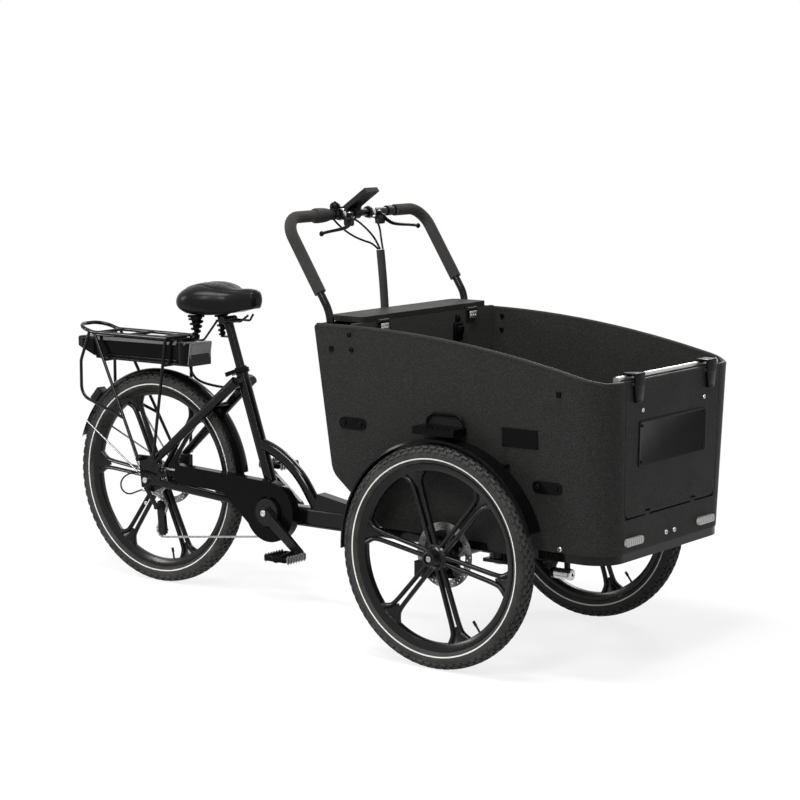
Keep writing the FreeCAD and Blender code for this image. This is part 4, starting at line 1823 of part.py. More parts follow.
def front_mudguard_left():
    inner = GUARD_INNER_RADIUS
    outer = inner + GUARD_THICKNESS
    section = polygon([
        vec(inner, -GUARD_INBOARD, 0), vec(inner, GUARD_OUTBOARD - GUARD_LIP, 0), vec(inner - GUARD_LIP, GUARD_OUTBOARD, 0),
        vec(inner - GUARD_LIP, GUARD_OUTBOARD + GUARD_THICKNESS, 0), vec(outer, GUARD_OUTBOARD, 0),
        vec(outer, -GUARD_INBOARD, 0)])
    guard = swept_guard(Part.Face(section), GUARD_FRONT_ANGLE, GUARD_REAR_ANGLE)
    guard = moved(guard, AX, FRONT_TRACK / 2, AZ)
    solids = [guard]
    for angle in GUARD_TAB_ANGLES:
        place = polar(AX, AZ, inner + GUARD_THICKNESS / 2, angle)
        solids.append(block(
            vec(place.x - GUARD_TAB_LENGTH / 2, box_half_width(place.z + GUARD_TAB_HEIGHT) + REST_GAP,
                place.z - GUARD_TAB_HEIGHT / 2),
            vec(place.x + GUARD_TAB_LENGTH / 2, FRONT_TRACK / 2 - GUARD_INBOARD + GUARD_TAB_HEIGHT,
                place.z + GUARD_TAB_HEIGHT / 2)))
    return fuse(solids)


def front_mudguards():
    guard = front_mudguard_left()
    return group([guard, mirrored(guard)])


def mudguard_step_left():
    inner = box_half_width(LOOP_HIGH_Z) + REST_GAP
    rear = AX - STEP_REAR_BACK
    front = AX + STEP_FRONT_REACH
    tread = block(vec(rear, inner, STEP_LOW_Z), vec(front, STEP_OUTER_Y, STEP_HIGH_Z))
    pitch = (front - rear) / STEP_RIBS
    for index in range(1, STEP_RIBS):
        x = rear + index * pitch
        tread = tread.cut(block(vec(x - STEP_GROOVE / 2, inner + STEP_GROOVE * 4, STEP_HIGH_Z - STEP_GROOVE),
                                vec(x + STEP_GROOVE / 2, STEP_OUTER_Y + OVERRUN, STEP_HIGH_Z + OVERRUN)))
    y = inner + LOOP_RADIUS + REST_GAP
    loop = tube([
        vec(rear + LOOP_RADIUS * 2, y, STEP_LOW_Z + LOOP_RADIUS), vec(rear + LOOP_RADIUS * 2, y, LOOP_HIGH_Z - LOOP_RADIUS),
        vec(front - LOOP_RADIUS * 2, y, LOOP_HIGH_Z - LOOP_RADIUS), vec(front - LOOP_RADIUS * 2, y, STEP_LOW_Z + LOOP_RADIUS)],
        LOOP_BEND, LOOP_RADIUS)
    return fuse([tread, loop])


def mudguard_steps():
    step = mudguard_step_left()
    return group([step, mirrored(step)])


WALL_TILT = math.degrees(math.atan((BOX_HALF_TOP - BOX_HALF_LOW) / (BOX_TOP_Z - BOX_LOW_Z)))
FRONT_TILT = math.degrees(math.atan((BOX_FRONT_TOP - BOX_FRONT_LOW) / (BOX_TOP_Z - BOX_LOW_Z)))


def on_left_wall(shape, reach, z):
    """Seat a piece built on the XZ plane, outer side +Y, on the slanted left wall."""
    shape.rotate(ORIGIN, X_AXIS, -WALL_TILT)
    return moved(shape, AX + reach, box_half_width(z), z)


def on_front(shape, y, z):
    """Seat a piece built on the YZ plane, outer side +X, on the slanted front."""
    shape.rotate(ORIGIN, Y_AXIS, FRONT_TILT)
    return moved(shape, box_front(z), y, z)


def bolt_y():
    return cross_rod(0, 0, 0, BOLT_HEIGHT, BOLT_RADIUS)


def tie_plate():
    half = TIE_LENGTH / 2
    rise = TIE_HEIGHT / 2
    loop = rounded_loop([vec(-half, 0, -rise), vec(half, 0, -rise), vec(half, 0, rise), vec(-half, 0, rise)],
                        [rise * 0.9] * 4)
    solids = [prism_y(loop, 0, TIE_THICKNESS)]
    for sign in (-1, 1):
        solids.append(moved(cross_rod(0, 0, 0, TIE_THICKNESS + BOLT_HEIGHT, BOLT_RADIUS), sign * TIE_BOLT_SPACING / 2, 0, 0))
    return fuse(solids)


def left_wall_hardware():
    solids = [on_left_wall(tie_plate(), reach, z) for reach, z in TIE_PLACES]
    half = PLATE_LENGTH / 2
    rise = PLATE_HEIGHT / 2
    plate = block(vec(-half, 0, -rise), vec(half, PLATE_THICKNESS, rise))
    solids.append(on_left_wall(plate, *PLATE_PLACE))
    for reach, z in SOCKET_PLACES:
        socket = block(vec(-SOCKET_SIZE / 2, 0, -SOCKET_SIZE / 2), vec(SOCKET_SIZE / 2, PLATE_THICKNESS, SOCKET_SIZE / 2))
        solids.append(on_left_wall(socket, reach, z))
    for reach, z in SIDE_BOLT_PLACES:
        solids.append(on_left_wall(bolt_y(), reach, z))
    for z in POLE_CLAMP_ZS:
        centre = pole_point(z)
        half_height = POLE_CLAMP_HEIGHT / 2
        clamp = block(vec(centre.x - POLE_CLAMP_LENGTH / 2, centre.y - POLE_CLAMP_WRAP, z - half_height),
                      vec(centre.x + POLE_CLAMP_LENGTH / 2, BOX_HALF_TOP, z + half_height))
        clamp = clamp.common(inner_volume()).cut(rear_strip(REAR_PANEL_INSET - REST_GAP, REAR_PANEL_FAR + OVERRUN))
        pole = rod(pole_point(POLE_LOW_Z), pole_point(POLE_BEND_Z), BAR_RADIUS + SEAT_GAP)
        solids.append(clamp.cut(pole))
    return solids


def reflector(y):
    half = REFLECTOR_LENGTH / 2
    rise = REFLECTOR_HEIGHT / 2
    loop = rounded_loop([vec(0, -half, -rise), vec(0, half, -rise), vec(0, half, rise), vec(0, -half, rise)],
                        [rise * 0.8] * 4)
    body = Part.Face(loop).extrude(vec(REFLECTOR_THICKNESS, 0, 0))
    return on_front(body, y, REFLECTOR_Z)


def lamp():
    tube_solid = rod(vec(AX + LAMP_REAR_REACH, LAMP_Y, LAMP_Z), vec(AX + LAMP_FRONT_REACH, LAMP_Y, LAMP_Z), LAMP_RADIUS)
    half = LAMP_BRACKET / 2
    reach = AX + LADDER_REACHES[2] - LADDER_WIDTH / 4
    bracket = block(vec(reach - half, LAMP_Y - half, LAMP_Z), vec(reach + half, LAMP_Y + half, BASE_LOW_Z))
    return fuse([tube_solid, bracket])


def box_hardware():
    left = left_wall_hardware()
    solids = left + [mirrored(piece) for piece in left]
    for side in (-1, 1):
        solids.append(reflector(side * REFLECTOR_Y))
        bolt = rod(ORIGIN, vec(BOLT_HEIGHT, 0, 0), BOLT_RADIUS)
        solids.append(on_front(bolt, side * FRONT_BOLT_Y, FRONT_BOLT_Z))
    solids.append(lamp())
    return group(solids)


def build_all():
    left_tyre, left_wheel, left_disc = front_wheel_left()
    rear_tyre, rear_cast_wheel, rear_disc = rear_wheel()
    lever = brake_lever_left()
    right_pedal = pedal_centre(CRANK_ANGLE)
    left_pedal = pedal_centre(CRANK_ANGLE + FULL_TURN / 2)
    return {
        "main_frame": main_frame(),
        "bottom_bracket_cups": bottom_bracket_cups(),
        "rear_axle": rear_axle(),
        "rear_brake_caliper": rear_brake_caliper(),
        "rear_derailleur": rear_derailleur(),
        "chain": chain(),
        "chain_guard": chain_guard(),
        "rear_mudguard": rear_mudguard(),
        "rear_rack": rear_rack(),
        "frame_cables": frame_cables(),
        "seat_clamp": seat_clamp(),
        "seat_clamp_lever": seat_clamp_lever(),
        "battery_case": battery_case(),
        "seat_post": seat_post(),
        "saddle": saddle(),
        "saddle_rails": saddle_rails(),
        "saddle_springs": saddle_springs(),
        "rear_tyre": rear_tyre,
        "rear_cast_wheel": rear_cast_wheel,
        "rear_brake_disc": rear_disc,
        "freewheel_sprockets": freewheel_sprockets(),
        "jockey_wheel_upper": jockey_wheel(UPPER_JOCKEY),
        "jockey_wheel_lower": jockey_wheel(LOWER_JOCKEY),
        "crank_arm_right": crank_arm_right(),
        "crank_arm_left": crank_arm_left(),
        "chainring": chainring(),
        "pedal_right": pedal(right_pedal, -1),
        "pedal_left": pedal(left_pedal, 1),
        "front_subframe": front_subframe(),
        "steering_pin": steering_pin(),
        "front_axles": front_axles(),
        "front_brake_calipers": front_brake_calipers(),
        "front_tyre_left": left_tyre,
        "front_tyre_right": mirrored(left_tyre),
        "front_cast_wheel_left": left_wheel,
        "front_cast_wheel_right": mirrored(left_wheel),
        "front_brake_disc_left": left_disc,
        "front_brake_disc_right": mirrored(left_disc),
        "front_mudguards": front_mudguards(),
        "mudguard_steps": mudguard_steps(),
        "box_side_right": box_side(-1),
        "box_side_left": box_side(1),
        "box_front_panel": box_front_panel(),
        "box_front_door": box_front_door(),
        "door_latch_right": door_latch(-1),
        "door_latch_left": door_latch(1),
        "front_crossbar": front_crossbar(),
        "box_rear_panel": box_rear_panel(),
        "storage_partition": storage_partition(),
        "storage_lid": storage_lid(),
        "box_floor": box_floor(),
        "box_hinges": box_hinges(),
        "box_hardware": box_hardware(),
        "handlebar": handlebar_tube(BAR_RADIUS),
        "foam_grips": foam_grips(),
        "twist_shifter": twist_shifter(),
        "bar_fittings": bar_fittings(),
        "brake_lever_left": lever,
        "brake_lever_right": mirrored(lever),
        "control_cables": control_cables(),
    }


os.makedirs("parts", exist_ok=True)
for node, shape in build_all().items():
    shape.exportStep(os.path.join("parts", node + ".step"))
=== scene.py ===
import bmesh
import bpy
import math
from mathutils import Matrix, Vector


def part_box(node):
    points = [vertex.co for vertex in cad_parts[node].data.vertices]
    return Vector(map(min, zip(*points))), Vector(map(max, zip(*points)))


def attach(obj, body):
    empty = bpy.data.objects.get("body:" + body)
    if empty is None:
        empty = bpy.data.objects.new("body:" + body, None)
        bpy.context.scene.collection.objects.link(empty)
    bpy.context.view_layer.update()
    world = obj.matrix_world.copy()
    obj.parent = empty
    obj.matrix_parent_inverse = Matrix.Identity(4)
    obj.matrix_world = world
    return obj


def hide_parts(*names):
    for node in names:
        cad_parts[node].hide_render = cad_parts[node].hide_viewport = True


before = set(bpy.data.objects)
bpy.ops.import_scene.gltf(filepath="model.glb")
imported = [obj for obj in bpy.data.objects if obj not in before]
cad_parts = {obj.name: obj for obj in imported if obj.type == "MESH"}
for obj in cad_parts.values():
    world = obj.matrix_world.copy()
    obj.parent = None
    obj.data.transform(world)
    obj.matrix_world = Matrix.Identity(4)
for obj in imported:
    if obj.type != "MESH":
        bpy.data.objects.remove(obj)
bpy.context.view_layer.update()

bl_info = {
    "name": "Cargo tricycle finish",
    "version": (1, 0, 0),
    "blender": (4, 5, 0),
    "location": "3D View > Sidebar > Tricycle",
    "description": "Dresses the cargo tricycle frame with tyres, saddle, chain, trim and surface finishes",
    "category": "Object",
}

# Places and sizes that several pieces share, in metres
FRONT_AXLE = Vector((0.57674, 0.0, 0.305))
REAR_AXLE = Vector((-0.76826, 0.0, 0.332))
BRACKET = Vector((-0.28126, 0.0, 0.282))
BAR = Vector((FRONT_AXLE.x - 0.575, 0.0, 1.188))
ORIGIN = Vector((0.0, 0.0, 0.0))
FRONT_TRACK = 0.779
TYRE_HEIGHT = 0.05
TYRE_HALF = 0.025
CHAIN_Y = -0.0484
CHAIN_HALF = 0.0035
BOX_LOW, BOX_TOP = 0.346, 0.902
BOX_HALF_LOW, BOX_HALF_TOP = 0.318, 0.352
BOX_FRONT_LOW, BOX_FRONT_TOP = 0.488, 0.498
BOX_CORNER = 0.083
BOX_WALL = 0.013
CREST_RADIUS = 3.35
CREST_BACK, CREST_FRONT = 0.350, 0.474
MERGE = 0.00002
SEED = 0.01
FULL_TURN = math.tau
QUARTER = math.pi / 2
SIDES = ((-1, "r", "right"), (1, "l", "left"))


def colour_field(label, note, *channels):
    return bpy.props.FloatVectorProperty(name=label, description=note, subtype="COLOR", size=4, min=0.0, max=1.0,
                                         default=channels + (1.0,))


def length_field(label, note, default):
    return bpy.props.FloatProperty(name=label, description=note, default=default, min=0.0, unit="LENGTH")


class TricycleSizes(bpy.types.PropertyGroup):
    lug_count: bpy.props.IntProperty(name="Tread lugs", description="Lugs in one row round a tyre", default=72,
                                     min=24, max=140)
    lug_height: length_field("Lug height", "How far the tread stands above the casing", 0.005)
    stripe_width: length_field("Stripe width", "Width of the reflecting stripe on the sidewalls", 0.0036)
    plate_width: length_field("Plate width", "Width of the bare plate on the front door", 0.352)
    plate_height: length_field("Plate height", "Height of the bare plate on the front door", 0.122)
    rim_radius: length_field("Rim radius", "Radius of the rounded bead along the box's top edge", 0.0071)
    groove_depth: length_field("Groove depth", "Depth of the sewn channels in the saddle cover", 0.0022)
    chain_pitch: length_field("Chain pitch", "Distance between two chain pins", 0.0127)


class TricycleColours(bpy.types.PropertyGroup):
    panel: colour_field("Panel", "Charcoal of the box panels", 0.0082, 0.008, 0.0077)
    panel_fleck: colour_field("Panel fleck", "Paler fleck in the box panels", 0.0265, 0.0258, 0.025)
    paint: colour_field("Paint", "Black of the frame tubes", 0.0022, 0.0022, 0.0024)
    moulded: colour_field("Moulded black", "Black of matte moulded fittings", 0.006, 0.006, 0.0061)
    rubber: colour_field("Rubber", "Black of the tyres and rubber fittings", 0.0125, 0.0122, 0.0118)
    stripe: colour_field("Stripe", "Reflecting stripe on the tyres", 0.5, 0.49, 0.46)
    foam: colour_field("Foam", "Foam of the handlebar sleeves", 0.0135, 0.0122, 0.0112)
    leather: colour_field("Leather", "Cover of the saddle", 0.0032, 0.0032, 0.0034)
    steel: colour_field("Steel", "Bright steel of hinges, bolts and discs", 0.58, 0.575, 0.56)
    cap: colour_field("Dock cover", "Grey cover of the battery dock", 0.12, 0.121, 0.125)


def sizes():
    return bpy.context.scene.tricycle_sizes


def shade(colour, factor=1.0):
    """Named colour or three channels, made paler or darker."""
    channels = getattr(bpy.context.scene.tricycle_colours, colour) if isinstance(colour, str) else colour
    return tuple(min(1.0, channel * factor) for channel in channels[:3]) + (1.0,)


# Placing, selecting and shaping

def shift(*place):
    """Move by a vector or by three lengths."""
    return Matrix.Translation(place[0] if len(place) == 1 else place)


def rotation(angle, axis):
    return Matrix.Rotation(angle, 4, axis)


def sided(place, side):
    return Vector((place[0], side * place[1], place[2]))


def moved(piece, place):
    piece.data.transform(place)
    return piece


def extents(name):
    """Low corner, high corner, middle and size of a CAD piece."""
    low, high = (Vector(corner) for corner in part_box(name))
    return low, high, (low + high) / 2, high - low


def clear_selection():
    if bpy.context.mode != "OBJECT":
        bpy.ops.object.mode_set(mode="OBJECT")
    bpy.ops.object.select_all(action="DESELECT")


def make_active(piece):
    clear_selection()
    piece.select_set(True)
    bpy.context.view_layer.objects.active = piece


def enter_edit(piece):
    make_active(piece)
    bpy.ops.object.mode_set(mode="EDIT")
    bpy.ops.mesh.select_mode(type="FACE")


def leave_edit():
    bpy.ops.object.mode_set(mode="OBJECT")


def select_all():
    bpy.ops.mesh.select_all(action="SELECT")


def pick(piece, kind, test):
    """Select in edit mode the faces, edges or vertices that pass a test."""
    bpy.ops.mesh.select_mode(type=kind)
    bpy.ops.mesh.select_all(action="DESELECT")
    cage = bmesh.from_edit_mesh(piece.data)
    for element in {"FACE": cage.faces, "EDGE": cage.edges, "VERT": cage.verts}[kind]:
        element.select_set(bool(test(element)))
    cage.select_flush_mode()
    bmesh.update_edit_mesh(piece.data)


# How far a face's normal leans to an axis that it looks along, roughly or squarely
FACING, FLAT = 0.9, 0.98


def pick_out(piece, limit):
    """Select the faces that look towards +X."""
    pick(piece, "FACE", lambda face: face.normal.x > limit)


def bevel(offset, segments):
    bpy.ops.mesh.bevel(offset=offset, segments=segments, affect="EDGES")


def bevel_rim(offset, segments):
    bpy.ops.mesh.region_to_loop()
    bevel(offset, segments)


def inset(thickness, depth=0.0):
    bpy.ops.mesh.inset(thickness=thickness, depth=depth)


def trace(piece, points):
    """Put the vertices in edit mode on a list of points."""
    cage = bmesh.from_edit_mesh(piece.data)
    for vertex, point in zip(cage.verts, points):
        vertex.co = point
    bmesh.update_edit_mesh(piece.data)


def reshape(piece, rule):
    """Move every vertex in edit mode to where a rule puts it."""
    trace(piece, [rule(vertex.co.copy()) for vertex in bmesh.from_edit_mesh(piece.data).verts])


def apply_place(piece):
    make_active(piece)
    bpy.ops.object.transform_apply(location=True, rotation=True, scale=True)


def apply_modifier(piece, kind, **values):
    make_active(piece)
    modifier = piece.modifiers.new(kind.lower(), kind)
    for key, value in values.items():
        setattr(modifier, key, value)
    bpy.ops.object.modifier_apply(modifier=modifier.name)


def mend(piece):
    """Merge doubles and turn every face outwards."""
    enter_edit(piece)
    select_all()
    bpy.ops.mesh.remove_doubles(threshold=MERGE)
    bpy.ops.mesh.normals_make_consistent(inside=False)
    leave_edit()


def primitive(kind, **values):
    clear_selection()
    getattr(bpy.ops.mesh, "primitive_" + kind + "_add")(**values)
    return bpy.context.active_object


def cube(size):
    piece = primitive("cube", size=1.0)
    piece.scale = size
    apply_place(piece)
    return piece


def cylinder(vertices, radius, depth, axis):
    angles = {"X": (0, QUARTER, 0), "Y": (QUARTER, 0, 0)}[axis]
    piece = primitive("cylinder", vertices=vertices, radius=radius, depth=depth, rotation=angles)
    apply_place(piece)
    return piece


def block(size, edge, segments=2, place=(0, 0, 0)):
    """Rounded block at its full size about a place."""
    piece = cube(size)
    enter_edit(piece)
    select_all()
    bevel(edge, segments)
    leave_edit()
    return moved(piece, shift(*place))


def blocks(rows, base):
    """Rounded blocks from rows of size, edge, segments and place, all moved by one matrix."""
    return [moved(block(*row), base) for row in rows]


PLATE_CORNER_STEPS = 5


def plate(width, height, depth, corner, edge):
    """Plate in the YZ plane, outer face towards +X, with round corners and a softened outer edge."""
    piece = cube((depth, width, height))
    enter_edit(piece)
    pick(piece, "EDGE", lambda line: abs(line.verts[0].co.x - line.verts[1].co.x) > depth * 0.5)
    bevel(corner, PLATE_CORNER_STEPS)
    pick_out(piece, FACING)
    bevel_rim(edge, 2)
    leave_edit()
    return piece


def sink(piece, limit, rim, step, depth):
    """Sink the faces in edit mode that look towards +X, inside a rim."""
    pick_out(piece, limit)
    inset(rim)
    inset(step, -depth)


def sunk(piece, *measures):
    enter_edit(piece)
    sink(piece, *measures)
    leave_edit()
    return piece


HEAD_SIDES = 24
HEAD_DOME = 0.42
SOCKET_LIP = 0.04


def bolt_head(radius, height, socket=0.5):
    """Round bolt head along +X with a domed rim and a six-sided socket."""
    piece = moved(cylinder(HEAD_SIDES, radius, height, "X"), shift(height / 2, 0, 0))
    enter_edit(piece)
    pick_out(piece, FACING)
    bevel_rim(min(radius, height) * HEAD_DOME, 3)
    pick_out(piece, FLAT)
    inset(radius * (1 - socket) * 0.5)
    inset(radius * SOCKET_LIP)
    bpy.ops.mesh.extrude_region_move(TRANSFORM_OT_translate={"value": (-height * 0.5, 0, 0)})
    leave_edit()
    return piece


def join(pieces):
    clear_selection()
    for piece in pieces:
        piece.select_set(True)
    bpy.context.view_layer.objects.active = pieces[0]
    if len(pieces) > 1:
        bpy.ops.object.join()
    return pieces[0]


def copies(model, places):
    """Copy a modelled piece to many places, each with its own mesh, and join them into one."""
    made = []
    for place in places:
        twin = model.copy()
        twin.data = model.data.copy()
        bpy.context.collection.objects.link(twin)
        made.append(moved(twin, place))
    bpy.data.objects.remove(model)
    return join(made)


def spun(profile, steps, centre=ORIGIN):
    """Turn a closed (y, radius) outline round the Y axis through a centre."""
    piece = primitive("circle", vertices=len(profile), radius=SEED)
    enter_edit(piece)
    trace(piece, [(centre.x, centre.y + y, centre.z + radius) for y, radius in profile])
    select_all()
    bpy.ops.mesh.spin(steps=steps, angle=FULL_TURN, center=centre, axis=(0, 1, 0))
    leave_edit()
    mend(piece)
    return piece


def stood(profile, steps, place=Matrix()):
    """Turned piece that stands along Z."""
    return moved(spun(profile, steps), place @ rotation(QUARTER, "X"))


CURVE_STEPS = 10
ROUND_STEPS = 5


def swept_line(points, radius, straight=False, name="line", swell=()):
    """Round wire along listed points, with its own thickness at each point where that is given."""
    line = bpy.data.curves.new(name, "CURVE")
    line.dimensions = "3D"
    spline = line.splines.new("POLY" if straight else "NURBS")
    spline.points.add(len(points) - 1)
    for point, place in zip(spline.points, points):
        point.co = (place[0], place[1], place[2], 1.0)
    for point, factor in zip(spline.points, swell):
        point.radius = factor
    if not straight:
        spline.order_u = 3
        spline.use_endpoint_u = True
    spline.resolution_u = CURVE_STEPS
    line.bevel_depth = radius
    line.bevel_resolution = ROUND_STEPS
    line.use_fill_caps = True
    piece = bpy.data.objects.new(name, line)
    bpy.context.collection.objects.link(piece)
    return piece


def wire_mesh(*line, **values):
    make_active(swept_line(*line, **values))
    bpy.ops.object.convert(target="MESH")
    return bpy.context.active_object


def finished(piece, name, body, finish, angle=32.0, replaces=()):
    """Name a piece, settle its place, shade it and hand it to the body that carries it."""
    apply_place(piece)
    piece.name = name
    if piece.type == "MESH":
        make_active(piece)
        bpy.ops.object.shade_smooth_by_angle(angle=math.radians(angle))
    if finish:
        piece.data.materials.append(FINISHES[finish])
    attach(piece, body)
    if replaces:
        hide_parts(*replaces)
    return piece


def two_finishes(piece, first, second, test):
    """Give the faces that pass a test the second finish, and the rest the first."""
    piece.data.materials.append(FINISHES[first])
    piece.data.materials.append(FINISHES[second])
    for face in piece.data.polygons:
        face.material_index = 1 if test(face) else 0


# Box outline

def box_share(z):
    return (z - BOX_LOW) / (BOX_TOP - BOX_LOW)


def box_half(z):
    return BOX_HALF_LOW + (BOX_HALF_TOP - BOX_HALF_LOW) * box_share(z)


def box_front(z):
    return FRONT_AXLE.x + BOX_FRONT_LOW + (BOX_FRONT_TOP - BOX_FRONT_LOW) * box_share(z)


def crest_height(x):
    """Height of the box's top edge at a place along its length."""
    run = min(max(x - FRONT_AXLE.x + CREST_BACK, 0.0), CREST_FRONT + CREST_BACK)
    return BOX_TOP - CREST_RADIUS + math.sqrt(CREST_RADIUS ** 2 - run ** 2)


FRONT_TOP = crest_height(FRONT_AXLE.x + CREST_FRONT)
FRONT_LEAN = math.atan((BOX_FRONT_TOP - BOX_FRONT_LOW) / (BOX_TOP - BOX_LOW))
WALL_LEAN = math.atan((BOX_HALF_TOP - BOX_HALF_LOW) / (BOX_TOP - BOX_LOW))


def on_front(y, z, proud=0.0):
    """Place for a piece whose outer side is +X on the box's leaning front."""
    return shift(box_front(z) + proud, y, z) @ rotation(FRONT_LEAN, "Y")


def on_wall(side, reach, z, proud=0.0):
    """Place for a piece whose outer side is +X on a leaning side wall of the box."""
    place = shift(FRONT_AXLE.x + reach, side * (box_half(z) + proud), z)
    return place @ rotation(-side * WALL_LEAN, "X") @ rotation(side * QUARTER, "Z")


# Finishes and the node groups that they share

SPECULAR = "Specular IOR Level"
FLOAT = "NodeSocketFloat"
FINISHES = {}
# Marks: scale, and roughness from and to. Grain: scale and mix. Bump: strength and depth
TYRE_SPECULAR, DUST_PALER = 0.16, 2.6
TYRE_DUST, TYRE_GRAIN, TYRE_BUMP = (16.0, 0.62, 0.82), (700.0, 0.6), (0.25, 0.0004)
RING_SCALE, RING_TINTS, RING_MARKS, RING_BUMP = 2600.0, (0.2, 0.48), (30.0, 0.26, 0.42), (0.12, 0.0002)
RIDGE_SCALE, LENS_MARKS, LENS_BUMP = 0.05, (40.0, 0.08, 0.2), (0.6, 0.0008)


def new_group(name, floats, outputs):
    """Node group with a vector, some plain numbers and its outputs."""
    tree = bpy.data.node_groups.new(name, "ShaderNodeTree")
    tree.interface.new_socket("Vector", in_out="INPUT", socket_type="NodeSocketVector")
    for label, default in floats.items():
        tree.interface.new_socket(label, in_out="INPUT", socket_type=FLOAT).default_value = default
    for label in outputs:
        tree.interface.new_socket(label, in_out="OUTPUT", socket_type=FLOAT)
    return tree, tree.nodes.new("NodeGroupInput"), tree.nodes.new("NodeGroupOutput")


def node(tree, kind, values=None, **settings):
    made = tree.nodes.new("ShaderNode" + kind)
    for key, value in settings.items():
        setattr(made, key, value)
    for key, value in (values or {}).items():
        made.inputs[key].default_value = value
    return made


def maths(tree, operation, values=None):
    return node(tree, "Math", values, operation=operation)


def wires(tree, *links):
    """Link sockets: a node and its outlet to a node and its inlet."""
    for source, outlet, target, inlet in links:
        tree.links.new(source.outputs[outlet], target.inputs[inlet])


def grain_group():
    """Fine moulded grain: small cells broken up by noise."""
    tree, start, end = new_group("moulded_grain", {"Scale": 900.0, "Mix": 0.5}, ("Mask", "Height"))
    cells = node(tree, "TexVoronoi", feature="F1")
    noise = node(tree, "TexNoise", {"Detail": 4.0, "Roughness": 0.65})
    coarser = maths(tree, "MULTIPLY", {1: 0.62})
    blend = node(tree, "Mix", data_type="FLOAT")
    ramp = node(tree, "MapRange", {"From Min": 0.28, "From Max": 0.72})
    wires(tree, (start, "Scale", cells, "Scale"), (start, "Scale", coarser, 0), (coarser, 0, noise, "Scale"),
          (start, "Vector", cells, "Vector"), (start, "Vector", noise, "Vector"), (start, "Mix", blend, 0),
          (cells, "Distance", blend, 2), (noise, "Fac", blend, 3), (blend, 0, ramp, "Value"),
          (ramp, "Result", end, "Mask"), (blend, 0, end, "Height"))


def smudge_group():
    """Large soft patches, for handling marks, dust and uneven gloss."""
    tree, start, end = new_group("handling_marks", {"Scale": 9.0, "Low": 0.0, "High": 1.0}, ("Value", "Mask"))
    noise = node(tree, "TexNoise", {"Detail": 6.0, "Roughness": 0.6, "Distortion": 0.4})
    ramp = node(tree, "MapRange", {"From Min": 0.32, "From Max": 0.68})
    span = node(tree, "MapRange")
    wires(tree, (start, "Vector", noise, "Vector"), (start, "Scale", noise, "Scale"), (noise, "Fac", ramp, "Value"),
          (ramp, "Result", span, "Value"), (start, "Low", span, "To Min"), (start, "High", span, "To Max"),
          (span, "Result", end, "Value"), (ramp, "Result", end, "Mask"))


def ring_group():
    """Distance from an axle that lies along Y, and a soft-edged band at one radius."""
    tree, start, end = new_group("band_round_axle", {"Centre X": 0.0, "Centre Z": 0.0, "Radius": 0.27,
                                                     "Half width": 0.002}, ("Band", "Distance"))
    parts = node(tree, "SeparateXYZ")
    across, rise, offset = (maths(tree, "SUBTRACT") for count in range(3))
    both = node(tree, "CombineXYZ")
    length = node(tree, "VectorMath", operation="LENGTH")
    size = maths(tree, "ABSOLUTE")
    share = maths(tree, "DIVIDE")
    band = node(tree, "MapRange", {"From Min": 0.85, "From Max": 1.1, "To Min": 1.0, "To Max": 0.0})
    wires(tree, (start, "Vector", parts, 0), (parts, "X", across, 0), (start, "Centre X", across, 1),
          (parts, "Z", rise, 0), (start, "Centre Z", rise, 1), (across, 0, both, "X"), (rise, 0, both, "Y"),
          (both, 0, length, 0), (length, "Value", offset, 0), (start, "Radius", offset, 1), (offset, 0, size, 0),
          (size, 0, share, 0), (start, "Half width", share, 1), (share, 0, band, "Value"),
          (band, "Result", end, "Band"), (length, "Value", end, "Distance"))


def begin(name, values):
    """Material with a Principled shader and plain values on the shader's own sockets."""
    material = bpy.data.materials.new(name)
    material.use_nodes = True
    tree = material.node_tree
    shader = tree.nodes["Principled BSDF"]
    for key, value in values.items():
        shader.inputs[key].default_value = value
    return material, tree, shader


def place_group(tree, place, name, values):
    made = tree.nodes.new("ShaderNodeGroup")
    made.node_tree = bpy.data.node_groups[name]
    for key, value in values.items():
        made.inputs[key].default_value = value
    wires(tree, (place, "Object", made, "Vector"))
    return made


def grain(tree, place, scale, mix):
    return place_group(tree, place, "moulded_grain", {"Scale": scale, "Mix": mix})


def marks(tree, place, scale, low, high):
    return place_group(tree, place, "handling_marks", {"Scale": scale, "Low": low, "High": high})


def colour_mix(tree, first, second):
    return node(tree, "Mix", {6: first, 7: second}, data_type="RGBA")


def surface(tree, shader, colour, gloss, height, strength, distance):
    """Wire a colour, a roughness and a bump into the shader, and give back the bump."""
    relief = node(tree, "Bump", {"Strength": strength, "Distance": distance})
    wires(tree, (colour, 2, shader, "Base Color"), (gloss, "Value", shader, "Roughness"), (*height, relief, "Height"),
          (relief, "Normal", shader, "Normal"))
    return relief


def flecked(name, base, fleck, fleck_share, cells, bump, rough, mark_scale, edge, values):
    """Common finish: flecked colour, patches of gloss and a fine bump, with softened edges."""
    material, tree, shader = begin(name, values)
    place = node(tree, "TexCoord")
    mask = grain(tree, place, *cells)
    share = maths(tree, "MULTIPLY", {1: fleck_share})
    colour = colour_mix(tree, shade(*base), shade(*fleck))
    wires(tree, (mask, "Mask", share, 0), (share, 0, colour, 0))
    relief = surface(tree, shader, colour, marks(tree, place, mark_scale, *rough), (mask, "Height"), *bump)
    if edge > 0:
        wires(tree, (node(tree, "Bevel", {"Radius": edge}, samples=4), "Normal", relief, "Normal"))
    return material


